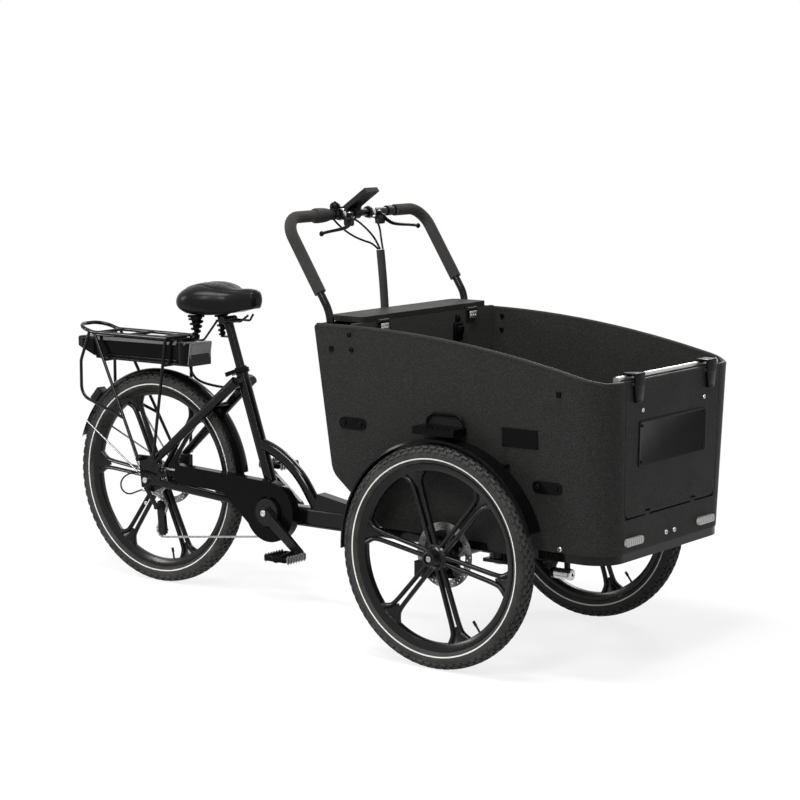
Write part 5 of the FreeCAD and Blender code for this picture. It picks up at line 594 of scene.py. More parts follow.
def tyre_finish(name, axle, stripe_radius):
    """Dusty rubber with a reflecting stripe on the sidewalls."""
    material, tree, shader = begin(name, {SPECULAR: TYRE_SPECULAR})
    place = node(tree, "TexCoord")
    dust = marks(tree, place, *TYRE_DUST)
    band = place_group(tree, place, "band_round_axle", {"Centre X": axle.x, "Centre Z": axle.z,
                                                        "Radius": stripe_radius,
                                                        "Half width": sizes().stripe_width / 2})
    rubber = colour_mix(tree, shade("rubber"), shade("rubber", DUST_PALER))
    striped = colour_mix(tree, shade("rubber"), shade("stripe"))
    wires(tree, (dust, "Mask", rubber, 0), (band, "Band", striped, 0), (rubber, 2, striped, 6))
    surface(tree, shader, striped, dust, (grain(tree, place, *TYRE_GRAIN), "Height"), *TYRE_BUMP)
    return material


def turned_steel(name, axle):
    """Steel with fine rings round an axle, as a brake disc is ground."""
    material, tree, shader = begin(name, {"Metallic": 1.0})
    place = node(tree, "TexCoord")
    band = place_group(tree, place, "band_round_axle", {"Centre X": axle.x, "Centre Z": axle.z})
    rings = node(tree, "TexNoise", {"Scale": RING_SCALE, "Detail": 2.0}, noise_dimensions="1D")
    tone = colour_mix(tree, *(shade("steel", tint) for tint in RING_TINTS))
    wires(tree, (band, "Distance", rings, "W"), (rings, "Fac", tone, 0))
    surface(tree, shader, tone, marks(tree, place, *RING_MARKS), (rings, "Fac"), *RING_BUMP)
    return material


def ribbed_lens(name, base, ridge_glint, axis, pitch, values):
    """Moulded lens with fine ridges across it, their crests painted paler as a painted glint."""
    material, tree, shader = begin(name, values)
    place = node(tree, "TexCoord")
    wave = node(tree, "TexWave", {"Scale": RIDGE_SCALE / pitch, "Distortion": 0.0}, wave_type="BANDS",
                bands_direction=axis, wave_profile="TRI")
    # The ridges' crests take a paler colour: a painted glint
    tone = colour_mix(tree, shade(base), shade(ridge_glint))
    wires(tree, (place, "Object", wave, "Vector"), (wave, "Fac", tone, 0))
    surface(tree, shader, tone, marks(tree, place, *LENS_MARKS), (wave, "Fac"), *LENS_BUMP)
    return material


# Name, base colour, fleck colour and share, grain scale and mix, bump strength and depth, roughness from and to,
# scale of the marks, radius of softened edges, plain shader values
FLECKED = {
    "panel": ("charcoal_panel", ("panel",), ("panel_fleck",), 0.75, (300.0, 0.45), (0.5, 0.0009), (0.4, 0.54), 7.0,
              0.0016, {SPECULAR: 0.055}),
    # Inside finish: the panel's charcoal painted 2.6 times paler, painted light for the box's inside, which the lamps
    # reach less
    "panel_painted_lighter": ("charcoal_panel_inside", ("panel", 2.6), ("panel_fleck", 2.1), 0.7, (300.0, 0.45), (0.5, 0.0009),
                    (0.55, 0.68), 7.0, 0.0016, {SPECULAR: 0.05}),
    "paint": ("gloss_black_paint", ("paint",), ("paint", 1.7), 0.4, (260.0, 0.8), (0.03, 0.0003), (0.07, 0.15), 11.0,
              0.0012, {SPECULAR: 0.17}),
    "cast": ("satin_black_casting", ("paint", 1.3), ("paint", 2.6), 0.5, (420.0, 0.6), (0.1, 0.0004), (0.16, 0.28),
             14.0, 0.0014, {SPECULAR: 0.18}),
    "moulded": ("matte_black_moulding", ("moulded",), ("moulded", 2.0), 0.5, (900.0, 0.5), (0.25, 0.0004),
                (0.42, 0.58), 10.0, 0.0012, {SPECULAR: 0.1}),
    "gloss": ("gloss_black_moulding", ("moulded", 0.3), ("moulded", 0.6), 0.4, (300.0, 0.8), (0.04, 0.0003),
              (0.08, 0.17), 12.0, 0.0014, {SPECULAR: 0.05}),
    "rubber": ("soft_black_rubber", ("rubber",), ("rubber", 2.0), 0.5, (800.0, 0.6), (0.3, 0.0004), (0.55, 0.75),
               12.0, 0.0008, {SPECULAR: 0.14}),
    "foam": ("sleeve_foam", ("foam",), ("foam", 2.2), 0.6, (1100.0, 0.35), (0.8, 0.001), (0.8, 0.95), 12.0, 0.0,
             {SPECULAR: 0.15, "Sheen Weight": 0.04}),
    "leather": ("saddle_cover", ("leather",), ("leather", 1.8), 0.4, (760.0, 0.12), (0.12, 0.0004), (0.24, 0.34),
                20.0, 0.0, {SPECULAR: 0.1}),
    "steel": ("bright_steel", ("steel", 0.85), ("steel",), 0.8, (500.0, 0.85), (0.06, 0.0002), (0.2, 0.36), 30.0,
              0.0006, {"Metallic": 1.0}),
    "chain": ("oiled_chain_steel", ("steel", 0.4), ("steel", 0.85), 0.8, (180.0, 0.8), (0.08, 0.0002), (0.24, 0.4),
              40.0, 0.0, {"Metallic": 1.0}),
    "wire": ("dull_silver_wire", ("steel", 0.3), ("steel", 0.6), 0.7, (300.0, 0.8), (0.05, 0.0002), (0.26, 0.4), 30.0,
             0.0, {"Metallic": 1.0}),
    "alloy": ("satin_alloy_edge", ("steel", 0.7), ("steel", 0.95), 0.6, (420.0, 0.8), (0.05, 0.0002), (0.34, 0.46),
              24.0, 0.0, {"Metallic": 1.0}),
    "cap": ("grey_end_cap", ("cap",), ("cap", 1.35), 0.4, (900.0, 0.5), (0.2, 0.0003), (0.16, 0.28), 14.0, 0.0,
            {SPECULAR: 0.4}),
    "sign": ("bare_sign_plate", ("moulded", 0.55), ("moulded",), 0.4, (700.0, 0.5), (0.12, 0.0003), (0.26, 0.4), 9.0,
             0.0, {SPECULAR: 0.06}),
    "screen": ("display_glass", ((0.004, 0.005, 0.006),), ((0.008, 0.009, 0.01),), 0.4, (120.0, 0.9), (0.01, 0.0001),
               (0.03, 0.08), 20.0, 0.0, {"Coat Weight": 1.0, "Coat Roughness": 0.03}),
}
# Name, colour of the ground, paler colour painted on the ridges as a glint, axis across the ridges, their pitch, plain
# shader values
LENSES = {
    "reflector": ("clear_reflector", (0.16, 0.16, 0.155), (0.36, 0.355, 0.34), "Y", 0.0016, {SPECULAR: 0.7}),
    "red": ("red_lamp_lens", (0.16, 0.004, 0.004), (0.42, 0.012, 0.01), "Z", 0.004,
            {SPECULAR: 0.6, "Coat Weight": 0.6}),
    "lamp": ("clear_lamp_lens", (0.42, 0.43, 0.44), (0.8, 0.8, 0.8), "Z", 0.004, {SPECULAR: 0.7, "Coat Weight": 0.8}),
}
STRIPE_FRONT, STRIPE_REAR = 0.2685, 0.2955
NODE_FINISH = {
    "paint": ("main_frame", "rear_rack", "seat_post", "saddle_rails", "front_subframe", "handlebar"),
    "alloy": ("front_crossbar",),
    "cast": ("crank_arm_right", "crank_arm_left", "chainring"),
    "panel": ("box_side_right", "box_side_left", "box_front_panel", "box_front_door", "storage_lid", "box_hinges",
              "box_rear_panel"),
    # The partition takes the panel colour painted paler, as painted light on the box's inside
    "panel_painted_lighter": ("storage_partition",),
    "moulded": ("rear_brake_caliper", "front_brake_calipers", "bar_fittings", "rear_derailleur", "box_floor"),
    "gloss": ("chain_guard", "rear_mudguard", "front_mudguards", "seat_clamp", "seat_clamp_lever", "box_hardware",
              "mudguard_steps"),
    "foam": ("foam_grips",),
    "steel": ("bottom_bracket_cups", "rear_axle", "steering_pin", "front_axles"),
    "chain": ("freewheel_sprockets",),
}


class TRICYCLE_OT_finish_nodes(bpy.types.Operator):
    """Build the finishes and put them on the frame's own pieces"""
    bl_idname = "tricycle.finish_nodes"
    bl_label = "Finish frame pieces"

    def execute(self, context):
        for make_group in (grain_group, smudge_group, ring_group):
            make_group()
        FINISHES.update({key: flecked(*row) for key, row in FLECKED.items()})
        FINISHES.update({key: ribbed_lens(*row) for key, row in LENSES.items()})
        for word, axle, stripe in (("front", FRONT_AXLE, STRIPE_FRONT), ("rear", REAR_AXLE, STRIPE_REAR)):
            FINISHES["tyre_" + word] = tyre_finish(word + "_tyre_rubber", axle, stripe)
            FINISHES["disc_" + word] = turned_steel(word + "_disc_steel", axle)
        for key, names in NODE_FINISH.items():
            for name in names:
                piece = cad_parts[name]
                if not piece.material_slots:
                    piece.data.materials.append(FINISHES[key])
                for slot in piece.material_slots:
                    slot.material = FINISHES[key]
        return {"FINISHED"}


# Tyres

# Share of the half width and of the height, from the bead to the crown
CASING_SHARES = ((0.56, 0.0), (0.7, 0.05), (0.86, 0.13), (0.93, 0.2), (0.985, 0.27), (0.985, 0.3), (1.0, 0.36),
                 (1.0, 0.44), (0.985, 0.53), (0.965, 0.59), (0.95, 0.62), (0.91, 0.67), (0.83, 0.745), (0.74, 0.8),
                 (0.58, 0.85), (0.4, 0.878), (0.2, 0.892))
CASING_CROWN = 0.896
CASING_STEPS = 144
# Distance from the middle, drop, phase, skew and tilt
LUG_ROWS = ((0.0, 0.0, 0.0, 0.0, 0.0), (0.0092, 0.0006, 0.5, 0.16, 0.16), (-0.0092, 0.0006, 0.5, -0.16, 0.16),
            (0.0170, 0.0042, 0.0, 0.0, 0.62), (-0.0170, 0.0042, 0.0, 0.0, 0.62), (0.0217, 0.0118, 0.5, 0.0, 1.12),
            (-0.0217, 0.0118, 0.5, 0.0, 1.12))
LUG_FILL = 0.74
LUG_WIDTH = 0.0086
LUG_ROOT = 1.5
LUG_SEAT = 0.80
LUG_TAPER = 0.84


def casing_outline(radius):
    bead = radius - TYRE_HEIGHT
    side = [(TYRE_HALF * y, bead + TYRE_HEIGHT * rise) for y, rise in CASING_SHARES]
    return side + [(0.0, bead + TYRE_HEIGHT * CASING_CROWN)] + [(-y, rise) for y, rise in reversed(side)]


def lug(length, width, height):
    """Tapered tread lug, length round the tyre along X, standing on Z."""
    piece = cube((length, width, height))
    enter_edit(piece)
    pick(piece, "FACE", lambda face: face.normal.z > FACING)
    bpy.ops.transform.resize(value=(LUG_TAPER, LUG_TAPER, 1.0))
    pick(piece, "FACE", lambda face: face.normal.z < -FACING)
    bpy.ops.mesh.delete(type="FACE")
    leave_edit()
    return piece


def treaded_tyre(centre, name, body, replaces, finish):
    radius = centre.z
    height, count = sizes().lug_height, sizes().lug_count
    pitch = FULL_TURN / count
    rows = [spun(casing_outline(radius), CASING_STEPS, centre)]
    for y, drop, phase, skew, tilt in LUG_ROWS:
        seat = (shift(0, y, radius - drop - height * LUG_SEAT) @ rotation(-tilt if y > 0 else tilt, "X")
                @ rotation(skew, "Z"))
        places = [shift(centre) @ rotation((index + phase) * pitch, "Y") @ seat for index in range(count)]
        rows.append(copies(lug(radius * pitch * LUG_FILL, LUG_WIDTH, height * LUG_ROOT), places))
    finished(join(rows), name, body, finish, 30.0, (replaces,))


def front_wheel(side):
    return FRONT_AXLE + Vector((0, side * FRONT_TRACK / 2, 0))


class TRICYCLE_OT_tyres(bpy.types.Operator):
    """Treaded tyres with a reflecting stripe, in place of the plain rings"""
    bl_idname = "tricycle.tyres"
    bl_label = "Tyres"

    def execute(self, context):
        for side, letter, word in SIDES:
            treaded_tyre(front_wheel(side), "tyre_front_" + word + "_treaded", "front_wheel_" + letter,
                         "front_tyre_" + word, "tyre_front")
        treaded_tyre(REAR_AXLE, "tyre_rear_treaded", "rear_wheel", "rear_tyre", "tyre_rear")
        return {"FINISHED"}


# Cast wheels

RIM_SHARES = ((1.0, 0.98), (1.0, 0.72), (0.86, 0.5), (0.8, 0.34), (0.62, 0.1), (0.34, 0.012), (0.0, 0.0))
RIM_DEPTH = 0.022
RIM_HALF = 0.017
RIM_STEPS = 120
HUB_STEPS = 60
FRONT_HUB = ((-0.034, 0.0), (-0.034, 0.024), (-0.020, 0.029), (-0.012, 0.033), (-0.008, 0.036), (0.0, 0.037),
             (0.008, 0.036), (0.0115, 0.031), (0.018, 0.0255), (0.027, 0.0232), (0.036, 0.022), (0.0405, 0.0205),
             (0.0422, 0.0175), (0.0422, 0.0135), (0.0365, 0.0125), (0.0365, 0.0))
REAR_HUB = ((-0.0298, 0.0), (-0.0298, 0.0255), (-0.026, 0.029), (-0.018, 0.037), (-0.009, 0.040), (0.009, 0.040),
            (0.018, 0.037), (0.026, 0.029), (0.030, 0.0255), (0.0418, 0.0255), (0.0418, 0.0))
HUB_NUT = (0.0082, 0.0048)
HUB_NUT_OUT = 0.0363
SPOKE_COUNT = 6
SPOKE_DEEPEN = 1.5
# Share of the rim's inner radius, length added to it, and offset from the spoke's middle
SPOKE_ROUTE = ((0.0, 0.022, 0.0084), (0.0, 0.06, 0.0092), (0.62, 0.0, 0.0104), (1.0, -0.036, 0.0116),
               (1.0, -0.014, 0.0165), (1.0, 0.003, 0.034))
SPOKE_RADII = (0.00713, 0.0062, 0.0062, 0.0062, 0.00682, 0.00744)
GUSSET_ROUTE = ((1.0, -0.040, 0.0), (1.0, -0.027, 0.0), (1.0, -0.014, 0.0), (1.0, 0.003, 0.0))
GUSSET_RADII = (0.0035, 0.0085, 0.0135, 0.031)
GUSSET_THIN = 0.24
# Reach from the rim's inner radius and thickness of the valve's stem and cap
VALVE = (((0.002, -0.012, -0.022), 0.0030), ((-0.020, -0.026, -0.034), 0.0041))
# First spoke and valve, in degrees
FRONT_SPOKE, FRONT_VALVE = 49.0, -53.0
REAR_SPOKE, REAR_VALVE = 55.0, -80.0


def spoke_bar(route, radii, rim_inner, side, depth):
    """Flattened bar in the XZ plane, thicker or thinner from point to point."""
    points = [(rim_inner * share + added, 0.0, side * offset) for share, added, offset in route]
    return moved(wire_mesh(points, 1.0, swell=radii), Matrix.Scale(depth, 4, (0, 1, 0)))


def twin_spoke(rim_inner):
    """Spoke of two slim bars that spread into the rim, with a thin gusset that closes the slot between them."""
    bars = [spoke_bar(SPOKE_ROUTE, SPOKE_RADII, rim_inner, side, SPOKE_DEEPEN) for side in (-1, 1)]
    return join(bars + [spoke_bar(GUSSET_ROUTE, GUSSET_RADII, rim_inner, 1, SPOKE_DEEPEN * GUSSET_THIN)])


def cast_wheel(centre, outward, first, hub, valve, name, body, replaces):
    inner = centre.z - TYRE_HEIGHT - RIM_DEPTH
    half = [(RIM_HALF * y, inner + RIM_DEPTH * rise) for y, rise in RIM_SHARES]
    rim = spun(half + [(-y, rise) for y, rise in reversed(half[:-1])], RIM_STEPS, centre)
    middle = spun([(y * outward, reach) for y, reach in hub], HUB_STEPS, centre)
    turns = [shift(centre) @ rotation(-math.radians(first + index * 360.0 / SPOKE_COUNT), "Y")
             for index in range(SPOKE_COUNT)]
    parts = [rim, middle, copies(twin_spoke(inner), turns)]
    for reaches, radius in VALVE:
        stem = wire_mesh([(inner + reach, 0, 0) for reach in reaches], radius, straight=True)
        parts.append(moved(stem, shift(centre) @ rotation(-math.radians(valve), "Y")))
    wheel = join(parts)
    mend(wheel)
    finished(wheel, name, body, "cast", 34.0, (replaces,))


class TRICYCLE_OT_wheels(bpy.types.Operator):
    """Cast wheels with twin-bar spokes, in place of the plain castings"""
    bl_idname = "tricycle.wheels"
    bl_label = "Cast wheels"

    def execute(self, context):
        for side, letter, word in SIDES:
            centre, body = front_wheel(side), "front_wheel_" + letter
            cast_wheel(centre, side, FRONT_SPOKE, FRONT_HUB, FRONT_VALVE, "wheel_front_" + word + "_cast", body,
                       "front_cast_wheel_" + word)
            seat = shift(centre + Vector((0, side * HUB_NUT_OUT, 0))) @ rotation(side * QUARTER, "Z")
            finished(moved(bolt_head(*HUB_NUT), seat), "hub_nut_" + word, body, "chain")
        cast_wheel(REAR_AXLE, 1, REAR_SPOKE, REAR_HUB, REAR_VALVE, "wheel_rear_cast", "rear_wheel", "rear_cast_wheel")
        return {"FINISHED"}


# Brake discs

# Inner radius, outer radius, rows and steps
DISC_BAND = (0.0685, 0.090, 5, 108)
DISC_HUB = (0.016, 0.030, 3, 36)
DISC_THICK = 0.002
ARM_COUNT = 6
ARM_CUTS = 8
ARM_START = 0.027
ARM_REACH = 0.045
ARM_SWEEP = 0.42
ARM_WIDTH = 0.0085


def flat_ring(centre, y, inner, outer, rows, steps, holes):
    """Flat ring in the XZ plane of a grid of faces, some of them left out as holes."""
    piece = primitive("grid", x_subdivisions=1, y_subdivisions=rows, size=1.0)
    enter_edit(piece)
    pick(piece, "VERT", lambda vertex: vertex.co.x > 0.4)
    bpy.ops.mesh.delete(type="VERT")
    reshape(piece, lambda co: (centre.x, y, centre.z + inner + (outer - inner) * (co.y + 0.5)))
    select_all()
    bpy.ops.mesh.spin(steps=steps, angle=FULL_TURN, center=(centre.x, y, centre.z), axis=(0, 1, 0))
    select_all()
    bpy.ops.mesh.remove_doubles(threshold=MERGE)

    def is_hole(face):
        across, rise = face.calc_center_median().xz - centre.xz
        row = int((math.hypot(across, rise) - inner) / (outer - inner) * rows)
        return holes(row, int((math.atan2(rise, across) / FULL_TURN % 1.0) * steps))

    pick(piece, "FACE", is_hole)
    bpy.ops.mesh.delete(type="FACE")
    leave_edit()
    return piece


def drilled_disc(centre, name, body, replaces, finish):
    y = extents(replaces)[2].y
    parts = [flat_ring(centre, y, *DISC_BAND, lambda row, turn: row in (1, 2, 3) and (turn + row * 2) % 6 == 0),
             flat_ring(centre, y, *DISC_HUB, lambda row, turn: row == 1 and turn % 6 == 3)]
    for index in range(ARM_COUNT):
        def arm_point(co):
            share = co.x + 0.5
            reach = ARM_START + ARM_REACH * share
            turn = index * FULL_TURN / ARM_COUNT + ARM_SWEEP * share + co.y * ARM_WIDTH / reach
            return centre.x + reach * math.cos(turn), y, centre.z + reach * math.sin(turn)

        arm = primitive("grid", x_subdivisions=ARM_CUTS, y_subdivisions=1, size=1.0)
        enter_edit(arm)
        reshape(arm, arm_point)
        leave_edit()
        parts.append(arm)
    disc = join(parts)
    enter_edit(disc)
    select_all()
    bpy.ops.mesh.normals_make_consistent(inside=False)
    leave_edit()
    apply_modifier(disc, "SUBSURF", levels=1, render_levels=1)
    apply_modifier(disc, "SOLIDIFY", thickness=DISC_THICK, offset=0.0)
    mend(disc)
    finished(disc, name, body, finish, 30.0, (replaces,))


class TRICYCLE_OT_discs(bpy.types.Operator):
    """Drilled brake discs with swept arms"""
    bl_idname = "tricycle.discs"
    bl_label = "Brake discs"

    def execute(self, context):
        for side, letter, word in SIDES:
            drilled_disc(FRONT_AXLE, "disc_front_" + word + "_drilled", "front_wheel_" + letter,
                         "front_brake_disc_" + word, "disc_front")
        drilled_disc(REAR_AXLE, "disc_rear_drilled", "rear_wheel", "rear_brake_disc", "disc_rear")
        return {"FINISHED"}


# Chain

# X, Z, pitch radius and sense of chainring, sprocket, upper and lower jockey wheel
CHAIN_CIRCLES = ((BRACKET.x, BRACKET.z, 0.0768, 1), (REAR_AXLE.x, REAR_AXLE.z, 0.04043, 1),
                 (REAR_AXLE.x + 0.038, REAR_AXLE.z - 0.083, 0.024, -1),
                 (REAR_AXLE.x + 0.045, REAR_AXLE.z - 0.156, 0.024, 1))
LINK_OUTLINE = ((-0.9, 0.0), (-0.75, 0.5), (-0.5, 0.72), (-0.24, 0.58), (0.0, 0.46), (0.24, 0.58), (0.5, 0.72),
                (0.75, 0.5), (0.9, 0.0), (0.75, -0.5), (0.5, -0.72), (0.24, -0.58), (0.0, -0.46), (-0.24, -0.58),
                (-0.5, -0.72), (-0.75, -0.5))
LINK_LENGTH = 0.84
LINK_HEIGHT = 1.35
LINK_THICK = 0.0009
OUTER_LINK_Y, INNER_LINK_Y = 0.0027, 0.0017
PIN_SIDES, PIN_RADIUS, PIN_LENGTH, PIN_RIM = 10, 0.0022, 0.0066, 0.0007


def chain_runs():
    """Arcs and straight runs of the chain's middle line: (start, heading, length, turn per length)."""
    pairs = list(zip(CHAIN_CIRCLES, CHAIN_CIRCLES[1:] + CHAIN_CIRCLES[:1]))
    headings = []
    for (x, z, radius, sense), (next_x, next_z, next_radius, next_sense) in pairs:
        across = next_sense * next_radius - sense * radius
        headings.append(math.atan2(next_z - z, next_x - x)
                        - math.asin(across / math.hypot(next_x - x, next_z - z)))

    def touch(circle, heading):
        x, z, radius, sense = circle
        return x + sense * radius * math.sin(heading), z - sense * radius * math.cos(heading)

    runs = []
    for index, (circle, following) in enumerate(pairs):
        arrive, leave = headings[index - 1], headings[index]
        radius, sense = circle[2:]
        runs.append((touch(circle, arrive), arrive, radius * (sense * (leave - arrive) % FULL_TURN), sense / radius))
        left, met = touch(circle, leave), touch(following, leave)
        runs.append((left, leave, math.dist(left, met), 0.0))
    return runs


def chain_place(runs, distance):
    """Place at a distance along the chain."""
    for start, heading, length, turn in runs:
        if distance <= length:
            break
        distance -= length
    if turn == 0.0:
        return start[0] + distance * math.cos(heading), start[1] + distance * math.sin(heading)
    ahead = heading + distance * turn
    return (start[0] + (math.sin(ahead) - math.sin(heading)) / turn,
            start[1] - (math.cos(ahead) - math.cos(heading)) / turn)


def link_plate(pitch, y):
    """Waisted chain plate along X, lying in the XZ plane at one side of the chain."""
    piece = primitive("circle", vertices=len(LINK_OUTLINE), radius=SEED, fill_type="NGON")
    enter_edit(piece)
    trace(piece, [(x * pitch * LINK_LENGTH, y - LINK_THICK / 2, z * CHAIN_HALF * LINK_HEIGHT)
                  for x, z in LINK_OUTLINE])
    select_all()
    bpy.ops.mesh.extrude_region_move(TRANSFORM_OT_translate={"value": (0, LINK_THICK, 0)})
    leave_edit()
    mend(piece)
    return piece


def chain_pin():
    pin = cylinder(PIN_SIDES, PIN_RADIUS, PIN_LENGTH, "Y")
    enter_edit(pin)
    pick(pin, "FACE", lambda face: abs(face.normal.y) > FACING)
    inset(PIN_RIM)
    leave_edit()
    return pin


class TRICYCLE_OT_chain(bpy.types.Operator):
    """Chain of waisted plates and pins, in place of the plain band"""
    bl_idname = "tricycle.chain"
    bl_label = "Chain"

    def execute(self, context):
        runs = chain_runs()
        total = sum(run[2] for run in runs)
        count = 2 * round(total / sizes().chain_pitch / 2)
        pitch = total / count
        outer, inner, pins = [], [], []
        for index in range(count):
            x, z = chain_place(runs, index * pitch)
            ahead_x, ahead_z = chain_place(runs, ((index + 1) % count) * pitch)
            lean = math.atan2(ahead_z - z, ahead_x - x)
            link = shift((x + ahead_x) / 2, CHAIN_Y, (z + ahead_z) / 2) @ rotation(-lean, "Y")
            (outer if index % 2 else inner).append(link)
            pins.append(shift(x, CHAIN_Y, z))
        parts = [copies(link_plate(pitch, side * y), places)
                 for places, y in ((outer, OUTER_LINK_Y), (inner, INNER_LINK_Y)) for side in (1, -1)]
        parts.append(copies(chain_pin(), pins))
        finished(join(parts), "chain_links", "rear_frame", "chain", 35.0, ("chain",))
        return {"FINISHED"}


# Saddle

SADDLE_X = REAR_AXLE.x + 0.137
SADDLE_LENGTH = 0.266
SADDLE_HALF = 0.119
SADDLE_LOW = 0.862
SADDLE_RISE = 0.098
SADDLE_STATIONS = (0.0, 0.09, 0.26, 0.46, 0.66, 0.86, 1.0)
SADDLE_HALVES = (0.52, 0.88, 1.0, 0.84, 0.5, 0.31, 0.22)
SADDLE_TOPS = (0.55, 0.84, 0.985, 0.965, 0.835, 0.85, 0.81)
SADDLE_LOWS = (0.2, 0.06, 0.012, 0.015, 0.075, 0.2, 0.26)
SADDLE_RINGS, SADDLE_SEGMENTS = 84, 104
END_ROUND = 2.6
WIDEST_SHARE = 0.42
SIDE_POWER, TOP_POWER, LOW_POWER = 0.86, 0.84, 0.8
LOW_FLATTEN, LOW_TUCK = 1.35, 0.14
COVER_FROM = 0.15
SEAM_SHARE, SEAM_SWAY, SEAM_WAVES, SEAM_WIDTH, SEAM_END = 0.56, 0.06, 16, 0.0035, 0.93
MIDDLE_SEAM_WIDTH, MIDDLE_SEAM_DEPTH, MIDDLE_SEAM_FROM, MIDDLE_SEAM_TO = 0.0045, 0.8, 0.1, 0.86
QUILT_END, QUILT_SHARE, QUILT_PITCH, QUILT_BOW, QUILT_DEPTH = 0.56, 0.52, 0.068, 0.035, 0.42
PIPING_RISE, PIPING_UP, PIPING_WIDTH = 0.0018, 0.1, 0.06
END_INSET = 0.006
NARROWEST, SEAM_NARROWEST = 0.001, 0.02
COVER_SMOOTH = 0.4
STITCH = (0.0042, 0.0011, 0.0011)
STITCH_EDGE = 0.0003
STITCH_COUNT = 46
STITCH_FROM, STITCH_SPAN, STITCH_AHEAD = 0.5, 1.98, 0.02
STITCH_INSIDE, STITCH_PROUD = 0.045, 0.0003
SPRING_Y = 0.060
SPRING_TURNS = 4
SPRING_STEPS = 16
SPRING_LOW, SPRING_TOP = 0.0075, 0.0225
SPRING_WIRE = 0.0036
SPRING_FOOT, SPRING_SHORTER = 0.006, 0.014
# Height from the foot and radius; the last six heights are counted from the top
CORE_FOOT = ((0.0, 0.0), (0.0, 0.010), (0.004, 0.011), (0.006, 0.0065), (0.02, 0.0065))
CORE_CUP = ((-0.016, 0.015), (-0.008, 0.018), (-0.007, 0.0258), (-0.002, 0.0262), (-0.0004, 0.024), (-0.0004, 0.0))


def smooth_value(values, place):
    """Smooth curve through a table on the saddle's stations, by cubic pieces with slopes from the neighbours."""
    stations = SADDLE_STATIONS
    last = len(stations) - 1
    index = max(0, min(last - 1, sum(1 for station in stations[1:] if place > station)))

    def slope(i):
        low, high = max(0, i - 1), min(last, i + 1)
        return (values[high] - values[low]) / (stations[high] - stations[low])

    span = stations[index + 1] - stations[index]
    t = (place - stations[index]) / span
    return ((2 * t ** 3 - 3 * t ** 2 + 1) * values[index] + (t ** 3 - 2 * t ** 2 + t) * span * slope(index)
            + (3 * t ** 2 - 2 * t ** 3) * values[index + 1] + (t ** 3 - t ** 2) * span * slope(index + 1))


def bell_curve(distance, width):
    return math.exp(-(distance / width) ** 2)


def seam_share(station):
    return SEAM_SHARE + SEAM_SWAY * math.sin(station * SEAM_WAVES)


def saddle_station(theta):
    return (1 - math.cos(theta)) / 2


def saddle_point(theta, phi):
    """Point of the padded saddle from a lengthwise and a round angle."""
    station = saddle_station(theta)
    close = min(1.0, math.sin(theta) * END_ROUND) ** 0.5
    half = SADDLE_HALF * smooth_value(SADDLE_HALVES, station) * close
    top = SADDLE_LOW + SADDLE_RISE * smooth_value(SADDLE_TOPS, station)
    low = SADDLE_LOW + SADDLE_RISE * smooth_value(SADDLE_LOWS, station)
    middle = low + (top - low) * WIDEST_SHARE
    across, up = math.cos(phi), math.sin(phi)
    y = half * math.copysign(abs(across) ** SIDE_POWER, across)
    if up >= 0:
        z = middle + (top - middle) * close * up ** TOP_POWER
    else:
        z = middle - (middle - low) * close * min(1.0, -up * LOW_FLATTEN) ** LOW_POWER
        y *= 1.0 - LOW_TUCK * min(1.0, -up)
    depth = sizes().groove_depth
    if up > COVER_FROM:
        share = abs(y) / max(half, NARROWEST)
        if station < SEAM_END:
            z -= depth * bell_curve((share - seam_share(station)) * max(half, SEAM_NARROWEST), SEAM_WIDTH)
        if MIDDLE_SEAM_FROM < station < MIDDLE_SEAM_TO:
            z -= depth * MIDDLE_SEAM_DEPTH * bell_curve(y, MIDDLE_SEAM_WIDTH)
        if station < QUILT_END and share < QUILT_SHARE:
            inward = share / QUILT_SHARE
            wave = math.cos(FULL_TURN * (station + QUILT_BOW * math.cos(math.pi * inward)) / QUILT_PITCH)
            z += depth * QUILT_DEPTH * wave * (1 - inward ** 4)
    z += PIPING_RISE * bell_curve(up - PIPING_UP, PIPING_WIDTH)
    return Vector((SADDLE_X + SADDLE_LENGTH * (END_INSET + (1 - 2 * END_INSET) * station), y, z))


